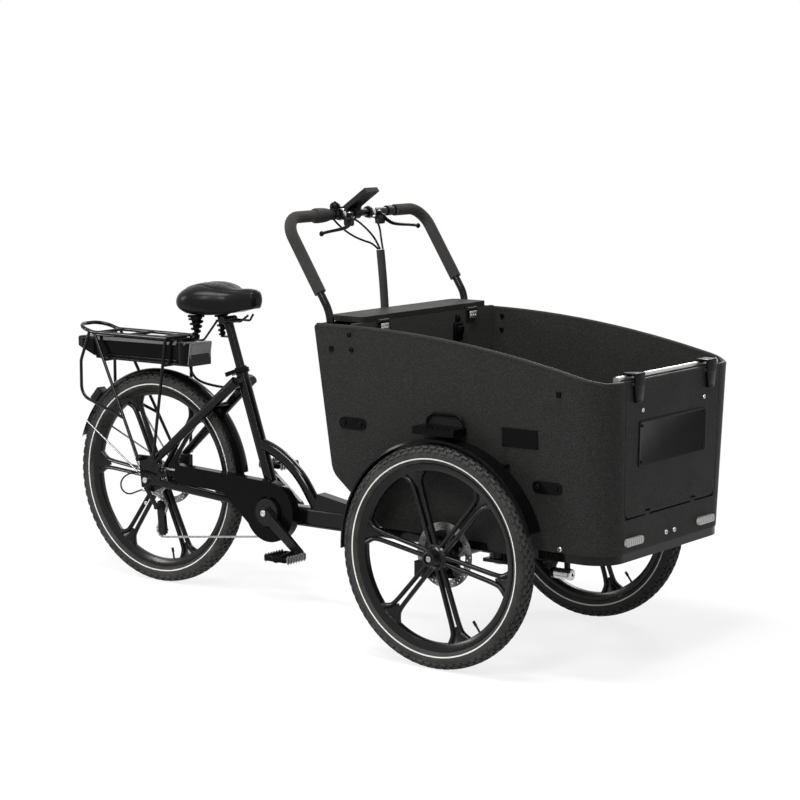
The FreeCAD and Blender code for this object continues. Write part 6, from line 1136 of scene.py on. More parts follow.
class TRICYCLE_OT_saddle(bpy.types.Operator):
    """Padded saddle with sewn channels and stitches, on its springs"""
    bl_idname = "tricycle.saddle"
    bl_label = "Saddle"

    def cover(self):
        cover = primitive("uv_sphere", segments=SADDLE_SEGMENTS, ring_count=SADDLE_RINGS, radius=1.0)
        enter_edit(cover)
        reshape(cover, lambda co: saddle_point(math.acos(max(-1.0, min(1.0, -co.z))), math.atan2(co.y, co.x)))
        leave_edit()
        mend(cover)
        apply_modifier(cover, "SMOOTH", factor=COVER_SMOOTH, iterations=1)
        apply_modifier(cover, "SUBSURF", levels=1, render_levels=1)
        finished(cover, "saddle_padded", "saddle_post", "leather", 60.0, ("saddle",))

    def stitches(self):
        places = []
        for side in (-1, 1):
            for index in range(STITCH_COUNT):
                theta = STITCH_FROM + STITCH_SPAN * index / (STITCH_COUNT - 1)
                share = seam_share(saddle_station(theta)) - STITCH_INSIDE
                phi = math.acos(min(1.0, share) ** (1 / SIDE_POWER))
                phi = phi if side > 0 else math.pi - phi
                here = saddle_point(theta, phi)
                course = (saddle_point(theta + STITCH_AHEAD, phi) - here).normalized()
                places.append(shift(here + Vector((0, 0, STITCH_PROUD)))
                              @ course.to_track_quat("X", "Z").to_matrix().to_4x4())
        stitch = block(STITCH, STITCH_EDGE, 1)
        finished(copies(stitch, places), "saddle_stitches", "saddle_post", "foam")

    def springs(self):
        """Conical springs round dark rubber cores, between a cup and a foot."""
        low, high, middle, size = extents("saddle_springs")
        coil = []
        for index in range(SPRING_TURNS * SPRING_STEPS + 1):
            share = index / (SPRING_TURNS * SPRING_STEPS)
            turn = FULL_TURN * index / SPRING_STEPS
            reach = SPRING_LOW + (SPRING_TOP - SPRING_LOW) * share
            coil.append((reach * math.cos(turn), reach * math.sin(turn),
                         SPRING_FOOT + (size.z - SPRING_SHORTER) * share))
        core = stood(CORE_FOOT + tuple((size.z + drop, radius) for drop, radius in CORE_CUP), 40)
        places = [shift(middle.x, side * SPRING_Y, low.z) for side in (-1, 1)]
        finished(copies(join([wire_mesh(coil, SPRING_WIRE), core]), places), "saddle_springs_dark", "saddle_post",
                 "gloss", 40.0, ("saddle_springs",))

    def execute(self, context):
        self.cover()
        self.stitches()
        self.springs()
        return {"FINISHED"}


# Cargo box trim

RIM_REACHES = (-0.4405, -0.43, -0.40, -0.37, -0.345, -0.31, -0.26, -0.2, -0.14, -0.08, -0.02, 0.04, 0.1, 0.16, 0.22,
               0.28, 0.34, 0.38, 0.405)
RIM_CORNER_STEPS = 12
RIM_END_Y, DOOR_RIM_Y = 0.2502, 0.2465
RIM_SINK = 0.55
DOOR_RIM_SHARES = (0.0, 0.4, 1.0)
# Plates: width, height, depth, corner and edge, or the last three of these where the size comes from elsewhere
SIGN_PLATE = (0.003, 0.008, 0.0008)
STRAP_PLATE = (0.0062, 0.006, 0.0018)
REFLECTOR_PLATE = (0.0865, 0.0215, 0.0092, 0.0088, 0.002)
LEAF_PLATE = (0.036, 0.022, 0.0016, 0.004, 0.0005)
# Sunk faces: limit of the normal, rim, step and depth
SIGN_SINK = (FLAT, 0.0035, 0.0012, 0.0006)
REFLECTOR_SINK = (FLAT, 0.003, 0.0006, 0.0007)
# Bolts: radius and height
SIGN_SCREW = (0.0042, 0.0024)
BOX_BOLT = (0.0068, 0.0048)
DOOR_BOLT = (0.006, 0.004)
PLATE_SCREW = (0.0036, 0.002)
LEAF_SCREW = (0.003, 0.0016)
SIGN_Z, SIGN_PROUD, SIGN_SCREW_IN, SIGN_SCREW_PROUD = 0.6295, 0.0015, 0.013, 0.0022
REFLECTOR_Y, REFLECTOR_Z, REFLECTOR_PROUD = 0.190, 0.375, 0.0046
LATCH_TAPER = 0.36
LATCH_ROOM = 0.004
HOOK_THICK, HOOK_NARROWER, HOOK_EDGE, HOOK_RISE = 0.0056, 0.002, 0.0022, 0.0032
LIP_LONGER, LIP_DROP = 0.016, 0.0055
PULL_DEEP, PULL_SHARE, PULL_HIGH, PULL_EDGE, PULL_IN, PULL_UP = 0.0078, 0.5, 0.0075, 0.0026, 0.0041, 0.0042
# Reach from the front axle and height
TIE_PLATES = ((-0.325, 0.632), (0.311, 0.517))
TIE_APART, TIE_PROUD = 0.028, 0.0036
WALL_BOLTS = ((-0.326, 0.879), (-0.320, 0.838))
BOLT_SEAT = -0.0002
INNER_BOLT_REACH, INNER_BOLT_HEIGHTS = -0.285, (0.878, 0.838)
BASE_WALL_BOLT = (0.345, 0.356)
BASE_FRONT_BOLT = (0.022, 0.373)
DOOR_BOLT_PLACE = (0.162, 0.719)
SIDE_PLATE = (0.229, 0.641)
SIDE_PLATE_APART = (0.048, 0.018)
SIDE_SCREW_PROUD = 0.0029
LEAF_REACH, LEAF_Y, LEAF_Z, LEAF_PROUD = -0.305, 0.215, 0.8905, 0.0006
LEAF_SCREW_Z, LEAF_SCREW_PROUD, LEAF_SCREWS = 0.888, 0.0012, (-0.011, 0.0, 0.011)
LOCK_PLACE = (FRONT_AXLE.x - 0.318, 0.150, 0.0)
LOCK_BLOCKS = (((0.010, 0.040, 0.052), 0.003, 3, (0.005, 0.0, 0.846)),
               ((0.012, 0.026, 0.024), 0.004, 3, (0.014, 0.0, 0.852)),
               ((0.007, 0.018, 0.030), 0.002, 2, (0.0035, 0.0, 0.880)))


def rim_points(side):
    """Middle line of a side wall's top edge, from the rear round the front corner to the door."""
    inset_by = BOX_WALL / 2
    radius = BOX_CORNER - inset_by
    points = []
    for reach in RIM_REACHES:
        z = crest_height(FRONT_AXLE.x + reach)
        points.append(Vector((FRONT_AXLE.x + reach, side * (box_half(z) - inset_by), z)))
    for index in range(RIM_CORNER_STEPS + 1):
        turn = QUARTER * index / RIM_CORNER_STEPS
        ahead = radius * math.sin(turn) - BOX_CORNER
        z = crest_height(box_front(FRONT_TOP) + ahead)
        points.append(Vector((box_front(z) + ahead, side * (box_half(z) - BOX_CORNER + radius * math.cos(turn)), z)))
    points.append(Vector((box_front(FRONT_TOP) - inset_by, side * RIM_END_Y, FRONT_TOP)))
    return points


class TRICYCLE_OT_box_trim(bpy.types.Operator):
    """Rounded rim, bare plate, latches, reflectors and bolts of the cargo box"""
    bl_idname = "tricycle.box_trim"
    bl_label = "Cargo box trim"

    def rims(self):
        """Rounded beads on the walls' top edges, with room on the door for the latches."""
        radius = sizes().rim_radius
        drop = Vector((0, 0, radius * RIM_SINK))
        for side, letter, word in SIDES:
            bead = wire_mesh([point - drop for point in rim_points(side)], radius, straight=True)
            finished(bead, "box_rim_" + word, "front_carriage", "panel", 40.0)
        x = box_front(FRONT_TOP) - BOX_WALL / 2
        low, high = extents("door_latch_left")[:2]
        near, far = low.y - LATCH_ROOM, high.y + LATCH_ROOM
        beads = []
        for start, end in ((-DOOR_RIM_Y, -far), (-near, near), (far, DOOR_RIM_Y)):
            points = [Vector((x, start + (end - start) * share, FRONT_TOP)) - drop for share in DOOR_RIM_SHARES]
            beads.append(wire_mesh(points, radius, straight=True))
        finished(join(beads), "box_rim_door", "front_door", "panel", 40.0)

    def sign(self):
        width, height = sizes().plate_width, sizes().plate_height
        bare = sunk(plate(width, height, *SIGN_PLATE), *SIGN_SINK)
        moved(bare, on_front(0.0, SIGN_Z, SIGN_PROUD))
        finished(bare, "door_sign_plate", "front_door", "sign")
        across, rise = width / 2 - SIGN_SCREW_IN, height / 2 - SIGN_SCREW_IN
        places = [on_front(y * across, SIGN_Z + z * rise, SIGN_SCREW_PROUD) for y in (-1, 1) for z in (-1, 1)]
        finished(copies(bolt_head(*SIGN_SCREW), places), "door_sign_screws", "front_door", "gloss")

    def latches(self):
        """Tapered straps that hook over the box's front edge."""
        bar_low, bar_high = extents("front_crossbar")[:2]
        crest = bar_high.z + HOOK_RISE
        for side, letter, word in SIDES:
            low, high, middle, size = extents("door_latch_" + word)
            strap = plate(size.y, size.z, *STRAP_PLATE)
            enter_edit(strap)
            reshape(strap, lambda co: (co.x, co.y * (1.0 - LATCH_TAPER * (0.5 - co.z / size.z)), co.z))
            leave_edit()
            reach, width = high.x - bar_low.x, size.y - HOOK_NARROWER
            hook = block((reach, width, HOOK_THICK), HOOK_EDGE, 3, (high.x - reach / 2, middle.y, crest))
            lip = block((HOOK_THICK, width, crest - high.z + LIP_LONGER), HOOK_EDGE, 3,
                        (high.x - HOOK_THICK / 2, middle.y, (crest + high.z) / 2 - LIP_DROP))
            pull = block((PULL_DEEP, size.y * PULL_SHARE, PULL_HIGH), PULL_EDGE, 3,
                         (high.x - PULL_IN, middle.y, low.z + PULL_UP))
            finished(join([moved(strap, shift(middle)), hook, lip, pull]), "door_latch_strap_" + word,
                     "latch_" + letter, "gloss", 35.0, ("door_latch_" + word,))

    def reflectors(self):
        for side, letter, word in SIDES:
            lens = sunk(plate(*REFLECTOR_PLATE), *REFLECTOR_SINK)
            finished(moved(lens, on_front(side * REFLECTOR_Y, REFLECTOR_Z, REFLECTOR_PROUD)),
                     "front_reflector_" + word, "front_carriage", "reflector")

    def bolts(self):
        walls, base, door, plates = [], [], [], []
        for side in (-1, 1):
            walls.extend(on_wall(side, reach + along * TIE_APART, z, TIE_PROUD)
                         for reach, z in TIE_PLATES for along in (-1, 1))
            walls.extend(on_wall(side, *place, BOLT_SEAT) for place in WALL_BOLTS)
            base.append(on_wall(side, *BASE_WALL_BOLT, BOLT_SEAT))
            base.append(on_front(side * BASE_FRONT_BOLT[0], BASE_FRONT_BOLT[1], BOLT_SEAT))
            door.append(on_front(side * DOOR_BOLT_PLACE[0], DOOR_BOLT_PLACE[1]))
            plates.extend(on_wall(side, SIDE_PLATE[0] + along * SIDE_PLATE_APART[0],
                                  SIDE_PLATE[1] + rise * SIDE_PLATE_APART[1], SIDE_SCREW_PROUD)
                          for along in (-1, 1) for rise in (-1, 1))
        walls.extend(shift(FRONT_AXLE.x + INNER_BOLT_REACH, box_half(z) - BOX_WALL, z) @ rotation(-QUARTER, "Z")
                     for z in INNER_BOLT_HEIGHTS)
        for name, size, places, body, finish, slot in (
                ("box_bolt_heads", BOX_BOLT, walls, "front_carriage", "gloss", "gloss_black"),
                ("base_bolt_heads", BOX_BOLT, base, "front_carriage", "steel", "steel"),
                ("door_bolt_heads", DOOR_BOLT, door, "front_door", "steel", "steel"),
                ("side_plate_screws", PLATE_SCREW, plates, "front_carriage", "gloss", "gloss_black")):
            finished(copies(bolt_head(*size), places), name, body, finish)

    def lid_fittings(self):
        """Steel hinge leaves with screws, and the lid's lock on the partition."""
        face_x = FRONT_AXLE.x + LEAF_REACH
        leaves = copies(plate(*LEAF_PLATE), [shift(face_x + LEAF_PROUD, side * LEAF_Y, LEAF_Z) for side in (-1, 1)])
        screws = copies(bolt_head(*LEAF_SCREW), [
            shift(face_x + LEAF_SCREW_PROUD, side * LEAF_Y + along, LEAF_SCREW_Z)
            for side in (-1, 1) for along in LEAF_SCREWS])
        finished(join([leaves, screws]), "lid_hinge_leaves", "front_carriage", "alloy")
        finished(join(blocks(LOCK_BLOCKS, shift(*LOCK_PLACE))), "lid_lock", "front_carriage", "gloss")

    def execute(self, context):
        for step in (self.rims, self.sign, self.latches, self.reflectors, self.bolts, self.lid_fittings):
            step()
        return {"FINISHED"}


# Rear end, pedals and lamps

# Blocks: size, edge, segments and place
BATTERY_GRIP = (((0.012, 0.05, 0.016), 0.004, 3, (0.0015, 0.0, 0.749)),
                ((0.003, 0.018, 0.005), 0.001, 1, (0.0006, 0.031, 0.749)))
BATTERY_CUTS = (0.07, 0.022)
BATTERY_RAKE, BATTERY_SLOPE, BATTERY_EDGE = 0.0275, 0.006, 0.006
BATTERY_PANEL, BATTERY_STEP, BATTERY_SINK, BATTERY_PANEL_FROM = 0.008, 0.002, 0.0016, 0.08
BATTERY_CAP = 0.0225
BATTERY_RUN, BATTERY_AT_END, BATTERY_SIDE = 0.005, 0.001, 0.95
NEAR = 0.01
MUDGUARD_RADIUS = REAR_AXLE.z + 0.010
# Angle of the upper end in degrees, and how far the foot is behind and above the axle
STAYS = ((152.0, 0.020, 0.014), (122.0, 0.027, 0.034))
STAY_SINK, STAY_END_Y, STAY_FOOT_Y, STAY_WIRE = 0.0065, 0.0308, 0.0757, 0.0029
TAIL_ANGLE, TAIL_OUT = math.radians(138.0), 0.0158
TAIL_HOUSING = ((0.0262, 0.0352, 0.0472), 0.005, 3)
TAIL_LENS = ((0.006, 0.030, 0.040), 0.0028, 3, (0.0118, 0, 0))
LAMP_PLACE = Vector((FRONT_AXLE.x + 0.277, -0.200, 0.263))
LAMP_OUTLINE = ((-0.0325, 0.0), (-0.0325, 0.009), (-0.029, 0.0125), (-0.018, 0.0143), (0.016, 0.0146),
                (0.020, 0.0158), (0.030, 0.0158), (0.0318, 0.0148), (0.0318, 0.013), (0.029, 0.012), (0.029, 0.0))
LAMP_LENS, LAMP_LENS_OUT = (0.0128, 0.004, 0.2), 0.0285
DOCK_LOW = Vector((REAR_AXLE.x + 0.1205, -0.0508, 0.6985))
DOCK_HIGH = Vector((REAR_AXLE.x + 0.1662, 0.0508, 0.7698))
DOCK_EDGE, DOCK_RAKE, DOCK_AHEAD, DOCK_FRONT = 0.004, 0.010, 0.0052, 0.3
DOCK_SINK = (FACING, 0.006, 0.0014, 0.0012)
SEAT_TUBE_TOP = 0.705
SEAT_TUBE_BACK = 0.014
SEAT_LEAN = math.radians(19.0)
COLLAR_OUTLINE = ((-0.0205, 0.0191), (-0.0205, 0.0232), (-0.019, 0.0246), (-0.0145, 0.0246), (-0.0136, 0.0238),
                  (-0.0124, 0.0238), (-0.0115, 0.0246), (-0.007, 0.0246), (-0.0055, 0.0232), (-0.0055, 0.0191))
COLLAR_EARS = tuple(((0.014, 0.0048, 0.0125), 0.0015, 2, (-0.0295, side * 0.0052, -0.013)) for side in (-1, 1))
PEDAL_BARREL = ((-0.048, 0.0), (-0.048, 0.0095), (-0.044, 0.0115), (-0.02, 0.0105), (0.02, 0.0105), (0.044, 0.0115),
                (0.048, 0.0095), (0.048, 0.0))
PEDAL_EDGE, PEDAL_END_IN, PEDAL_RAIL_IN, PEDAL_CAGE_IN = 0.003, 0.006, 0.011, 0.0045
END_SHORTER, END_THICK, END_HIGH = 0.018, 0.0075, 0.016
RAIL_SHORTER, RAIL_THICK, RAIL_HIGH = 0.008, 0.010, 0.013
CAGE_SHORTER, CAGE_THICK, CAGE_HIGH, CAGE_EDGE = 0.010, 0.0024, 0.0175, 0.0008
TOOTH_COUNT, TOOTH_WIDTH, TOOTH_IN, TOOTH_LOWER = 7, 0.0072, 0.0125, 0.001
JOCKEY_TEETH = 11
JOCKEY_SHARES = (1.0, 0.93, 0.8, 0.93)
JOCKEY_RIM, JOCKEY_STEP, JOCKEY_SINK = 0.3, 0.06, 0.0012
GUARD_RING = ((0.0004, 0.047), (-0.0008, 0.0475), (-0.0012, 0.049), (-0.0012, 0.0545), (-0.0008, 0.056),
              (0.0004, 0.0565))
CRANK_BOLT, CRANK_EYE, CRANK_BOLT_IN = (0.0095, 0.004), 0.022, 0.0004
DERAILLEUR_BOLT, DERAILLEUR_BOLT_IN = (0.0055, 0.003), 0.0002
DERAILLEUR_BOLTS = ((0.0035, 0.302), (0.0115, 0.262))


class TRICYCLE_OT_rear_details(bpy.types.Operator):
    """Battery shell, mudguard stays, lamps, seat collar, pedals and details of the drive"""
    bl_idname = "tricycle.rear_details"
    bl_label = "Battery, stays, lamps and pedals"

    def battery(self):
        low, high, middle, size = extents("battery_case")
        shell = moved(cube(size), shift(middle))
        enter_edit(shell)
        for cut in BATTERY_CUTS:
            select_all()
            bpy.ops.mesh.bisect(plane_co=(low.x + cut, 0, 0), plane_no=(1, 0, 0))

        def raked(co):
            back = (low.x + BATTERY_CUTS[0] - co.x) / BATTERY_CUTS[0]
            if back > 0 and co.z < low.z + NEAR:
                co.z += BATTERY_RAKE * back
            if co.z > high.z - NEAR:
                co.z -= BATTERY_SLOPE * (high.x - co.x) / size.x
            return co

        def rounded(line):
            first, second = (vertex.co.x for vertex in line.verts)
            return abs(first - second) > BATTERY_RUN or max(first, second) < low.x + BATTERY_AT_END

        reshape(shell, raked)
        pick(shell, "EDGE", rounded)
        bevel(BATTERY_EDGE, 3)
        pick(shell, "FACE", lambda face: abs(face.normal.y) > BATTERY_SIDE
             and face.calc_center_median().x > low.x + BATTERY_PANEL_FROM)
        inset(BATTERY_PANEL)
        inset(BATTERY_STEP, -BATTERY_SINK)
        leave_edit()
        two_finishes(shell, "gloss", "moulded", lambda face: face.center.x < low.x + BATTERY_CAP)
        finished(shell, "battery_shell", "battery", None, 35.0, ("battery_case",))
        grip = join(blocks(BATTERY_GRIP, shift(low.x, 0, 0)))
        finished(grip, "battery_grip", "battery", "moulded")

    def stays(self):
        wires_made = []
        reach = MUDGUARD_RADIUS - STAY_SINK
        for angle, back, rise in STAYS:
            turn = math.radians(angle)
            end = Vector((REAR_AXLE.x + reach * math.cos(turn), STAY_END_Y, REAR_AXLE.z + reach * math.sin(turn)))
            foot = Vector((REAR_AXLE.x - back, STAY_FOOT_Y, REAR_AXLE.z + rise))
            for side in (-1, 1):
                points = [sided(point, side) for point in (foot, (foot + end) / 2, end)]
                wires_made.append(wire_mesh(points, STAY_WIRE, straight=True))
        finished(join(wires_made), "mudguard_stay_wires", "rear_frame", "wire", 40.0)

    def tail_lamp(self):
        place = shift(REAR_AXLE) @ rotation(-TAIL_ANGLE, "Y") @ shift(MUDGUARD_RADIUS + TAIL_OUT, 0, 0)
        for row, name, finish, slot in ((TAIL_HOUSING, "tail_lamp_housing", "moulded", "trim_black"),
                                        (TAIL_LENS, "tail_lamp_lens", "red", "gloss_black")):
            finished(moved(block(*row), place), name, "rear_frame", finish)

    def front_lamp(self):
        body = moved(spun(LAMP_OUTLINE, 40), shift(LAMP_PLACE) @ rotation(-QUARTER, "Z"))
        lens = moved(bolt_head(*LAMP_LENS), shift(LAMP_PLACE + Vector((LAMP_LENS_OUT, 0, 0))))
        finished(body, "front_lamp_body", "front_carriage", "steel")
        finished(lens, "front_lamp_lens", "front_carriage", "lamp")

    def dock(self):
        """Sloped grey cover over the battery's dock."""
        size = DOCK_HIGH - DOCK_LOW
        cover = block(size, DOCK_EDGE)
        enter_edit(cover)
        reshape(cover, lambda co: (co.x + (DOCK_RAKE * (co.z / size.z - 0.5) if co.x > 0 else 0.0), co.y, co.z))
        sink(cover, *DOCK_SINK)
        leave_edit()
        moved(cover, shift((DOCK_LOW + DOCK_HIGH) / 2 + Vector((DOCK_AHEAD, 0, 0))))
        two_finishes(cover, "gloss", "cap", lambda face: face.normal.x > DOCK_FRONT)
        finished(cover, "battery_dock_cover", "rear_frame", None, 35.0)

    def seat_clamp(self):
        """Slim collar round the seat tube's top, with two ears."""
        back = SEAT_TUBE_BACK + (SEAT_TUBE_TOP - BRACKET.z) * math.tan(SEAT_LEAN)
        tilt = shift(BRACKET.x - back, 0.0, SEAT_TUBE_TOP) @ rotation(-SEAT_LEAN, "Y")
        parts = [stood(COLLAR_OUTLINE, 48, tilt)] + blocks(COLLAR_EARS, tilt)
        finished(join(parts), "seat_collar", "rear_frame", "gloss", 35.0, ("seat_clamp",))

    def pedals(self):
        """Cage pedals: a barrel, two end plates, two rails and two toothed cage plates."""
        for side, letter, word in SIDES:
            low, high, middle, size = extents("pedal_" + word)
            body, cage = [spun(PEDAL_BARREL, 28, middle)], []
            for along in (-1, 1):
                end, rail = along * (size.y / 2 - PEDAL_END_IN), along * (size.x / 2 - PEDAL_RAIL_IN)
                body += blocks((((size.x - END_SHORTER, END_THICK, END_HIGH), PEDAL_EDGE, 2, (0, end, 0)),
                                ((RAIL_THICK, size.y - RAIL_SHORTER, RAIL_HIGH), PEDAL_EDGE, 2, (rail, 0, 0))),
                               shift(middle))
                x = middle.x + along * (size.x / 2 - PEDAL_CAGE_IN)
                cage.append(block((CAGE_THICK, size.y - CAGE_SHORTER, CAGE_HIGH), CAGE_EDGE, 1, (x, *middle.yz)))
                for index in range(TOOTH_COUNT):
                    y = low.y + TOOTH_IN + index * (size.y - 2 * TOOTH_IN) / (TOOTH_COUNT - 1)
                    tooth = (CAGE_THICK, TOOTH_WIDTH, size.z - TOOTH_LOWER)
                    cage.append(block(tooth, CAGE_EDGE, 1, (x, y, middle.z)))
            finished(join(body), "pedal_body_" + word, "pedal_" + letter, "gloss", 35.0,
                     ("pedal_" + word,))
            finished(join(cage), "pedal_cage_" + word, "pedal_" + letter, "wire")

    def jockey_wheels(self):
        for word in ("upper", "lower"):
            low, high, middle, size = extents("jockey_wheel_" + word)
            reach = size.x / 2
            wheel = cylinder(JOCKEY_TEETH * 4, reach, size.y, "Y")
            enter_edit(wheel)

            def toothed(co):
                share = JOCKEY_SHARES[round(math.atan2(co.z, co.x) / FULL_TURN * JOCKEY_TEETH * 4) % 4]
                return co.x * share, co.y, co.z * share

            reshape(wheel, toothed)
            pick(wheel, "FACE", lambda face: abs(face.normal.y) > FACING)
            inset(reach * JOCKEY_RIM)
            inset(reach * JOCKEY_STEP, -JOCKEY_SINK)
            leave_edit()
            finished(moved(wheel, shift(middle)), "jockey_toothed_" + word, "jockey_" + word, "moulded",
                     30.0, ("jockey_wheel_" + word,))

    def drive(self):
        """Ring round the crank in the chain guard, the crank's bolt and the derailleur's bolts."""
        ring = spun(GUARD_RING, 72, Vector((BRACKET.x, extents("chain_guard")[0].y, BRACKET.z)))
        finished(ring, "chain_guard_ring", "rear_frame", "gloss", 30.0)
        out = rotation(-QUARTER, "Z")
        near = [vertex.co.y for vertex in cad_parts["crank_arm_right"].data.vertices
                if math.hypot(vertex.co.x - BRACKET.x, vertex.co.z - BRACKET.z) < CRANK_EYE]
        bolt = moved(bolt_head(*CRANK_BOLT), shift(BRACKET.x, min(near) + CRANK_BOLT_IN, BRACKET.z) @ out)
        finished(bolt, "crank_bolt", "crank", "steel")
        cage_y = extents("rear_derailleur")[0].y + DERAILLEUR_BOLT_IN
        spots = [shift(REAR_AXLE.x + reach, cage_y, z) @ out for reach, z in DERAILLEUR_BOLTS]
        finished(copies(bolt_head(*DERAILLEUR_BOLT), spots), "derailleur_bolts", "rear_frame", "steel")

    def execute(self, context):
        for step in (self.battery, self.stays, self.tail_lamp, self.front_lamp, self.dock, self.seat_clamp,
                     self.pedals, self.jockey_wheels, self.drive):
            step()
        return {"FINISHED"}


# Cables, in millimetres from the front or rear axle's place along the length

SLEEVE = ((-483, 0, 1085), (-476, 0, 1025), (-470, 0, 960), (-465.5, 0, 895), (-460, 0, 830), (-452, 0, 770),
          (-435, 0, 728), (-404, 0, 708))
RIGHT_BRAKE = ((-546, -60.5, 1176), (-542, -52.5, 1174.8), (-531, -43, 1168), (-516, -36, 1154), (-503, -26, 1138),
               (-490, -13, 1115), (-479, -6.5, 1086.9))
LEFT_BRAKE = tuple((reach, -y, z) for reach, y, z in RIGHT_BRAKE)
SHIFT_CABLE = ((-563.05, -117, 1176.05), (-550.5, -115, 1163), (-536, -94, 1141), (-523, -66, 1123),
               (-511, -38, 1111), (-500, -13, 1103), (-490.5, 0, 1086.2))
BATTERY_LEAD = ((142, -22, 695.7), (150, -22, 668), (185, -19, 648), (240, -14, 640), (290, -10, 638), (330, -8, 637))
SHIFT_LOOP = ((40, -74.8, 352), (12, -77, 357), (-24, -87, 357), (-64, -92, 347), (-92, -93, 322), (-90, -92, 293),
              (-62, -88, 280), (-28, -83, 295), (1.4, -80.5, 305))
CONTROL = ("front_carriage", "control_cables")
REAR = ("rear_frame", "frame_cables")
# Name, route, radius, length, body and replaced piece, lay
CONTROL_CABLES = (("brake_cable_right", RIGHT_BRAKE, 0.003, 0.129, CONTROL, "hanging"),
                  ("brake_cable_left", LEFT_BRAKE, 0.003, 0.129, CONTROL, "hanging"),
                  ("shift_cable", SHIFT_CABLE, 0.003, 0.170, CONTROL, "hanging"))
REAR_CABLES = (("battery_lead", BATTERY_LEAD, 0.004, 0.212, REAR, "hanging"),
               ("shift_cable_loop", SHIFT_LOOP, 0.0025, 0.266, REAR, "loose"))
SLEEVE_RADIUS = 0.012
SLEEVE_END_BACK = 0.4265


def row_points(points, axle):
    return [Vector((axle.x + reach / 1000.0, y / 1000.0, z / 1000.0)) for reach, y, z in points]


class TRICYCLE_OT_cables(bpy.types.Operator):
    """Smooth cables and the sleeve that gathers them"""
    bl_idname = "tricycle.cables"
    bl_label = "Cables"

    def cables(self, rows, axle):
        for name, points, radius, length, (body, replaced), lay in rows:
            route = row_points(points, axle)
            line = finished(swept_line(route, radius, name=name), name, body, "gloss", replaces=(replaced,))

    def execute(self, context):
        self.cables(CONTROL_CABLES, FRONT_AXLE)
        sleeve = wire_mesh(row_points(SLEEVE, FRONT_AXLE), SLEEVE_RADIUS)
        enter_edit(sleeve)
        select_all()
        bpy.ops.mesh.bisect(plane_co=(FRONT_AXLE.x - SLEEVE_END_BACK, 0, 0), plane_no=(1, 0, 0), use_fill=True,
                            clear_outer=True)
        leave_edit()
        finished(sleeve, "control_cable_sleeve", "front_carriage", "rubber", 50.0)
        self.cables(REAR_CABLES, REAR_AXLE)
        return {"FINISHED"}


# Handlebar details

GRIP_OUTLINE = ((-0.0235, 0.0118), (-0.0235, 0.0192), (-0.0215, 0.0212), (-0.015, 0.0218), (-0.0135, 0.0208),
                (-0.0115, 0.0208), (-0.010, 0.0217), (-0.003, 0.0216), (-0.0015, 0.0206), (0.0005, 0.0206),
                (0.002, 0.0214), (0.008, 0.0212), (0.0095, 0.0202), (0.0115, 0.0202), (0.013, 0.0208), (0.019, 0.0204),
                (0.0205, 0.0194), (0.0225, 0.0194), (0.024, 0.0198), (0.030, 0.019), (0.034, 0.018), (0.0405, 0.0166),
                (0.042, 0.0152), (0.042, 0.0118))
BELL_OUTLINE = ((0.0, 0.0), (0.0, 0.0152), (0.0035, 0.0155), (0.0075, 0.0148), (0.0115, 0.0126), (0.0145, 0.009),
                (0.016, 0.0045), (0.0172, 0.0036), (0.0185, 0.002), (0.0185, 0.0))
BELL_PLACE = (BAR.x + 0.002, -0.097, 1.2075)
BELL_THUMB = ((0.020, 0.006, 0.005), 0.002, 2, (BAR.x + 0.020, -0.092, 1.209))
LEVER_ROUTE = ((-0.004, -0.003, 0.0), (0.006, 0.006, -0.005), (0.016, 0.016, -0.020), (0.0225, 0.038, -0.032),
               (0.0245, 0.08, -0.037), (0.0247, 0.12, -0.0395), (0.0247, 0.156, -0.0435))
LEVER_RADII = (0.0062, 0.0062, 0.0058, 0.0052, 0.0048, 0.0044, 0.0046)
LEVER_PIVOT = (0.034, 0.070, -0.0017)
BALL_PLACE, BALL_RADIUS, BALL_FLATTEN = (0.0247, 0.160, -0.0445), 0.0078, 0.82
BOSS_OUTLINE = ((-0.006, 0.0), (-0.006, 0.0066), (-0.0048, 0.0078), (0.0048, 0.0078), (0.006, 0.0066), (0.006, 0.0))
BARREL_OUTLINE = ((0.0, 0.0), (0.0, 0.0046), (0.002, 0.0054), (0.008, 0.0054), (0.0085, 0.0044), (0.013, 0.0044),
                  (0.0145, 0.0034), (0.0145, 0.0))
BARREL_PLACE = (BAR.x + 0.029, 0.060, 1.176)
BAND_OUTLINE = ((-0.0062, 0.0170), (-0.0062, 0.0178), (-0.005, 0.0184), (0.005, 0.0184), (0.0062, 0.0178),
                (0.0062, 0.0170))
PERCH, PERCH_PLACE = ((0.024, 0.026, 0.026), 0.006, 3), (0.001, 0.004, -0.019)
PIVOT_CAP, PIVOT_CAP_UP = (0.0052, 0.003), 0.0058
CLAMP_BOLT, CLAMP_BOLT_DROP, CLAMP_BOLTS = (0.004, 0.003), -0.0165, (-0.070, 0.070, 0.0)
DISPLAY = shift(BAR + Vector((0.022, 0.0, 0.041))) @ rotation(-math.radians(35.0), "Y")
DISPLAY_BEZEL = (((0.096, 0.058, 0.0024), 0.001, 2, (0, 0, 0.0075)),) + tuple(
    ((0.008, 0.012, 0.0016), 0.0007, 2, (-0.040, step * 0.016, 0.0088)) for step in (-1, 0, 1))
DISPLAY_SCREEN = ((0.076, 0.048, 0.0012), 0.0005, 2, (0.005, 0, 0.0088))


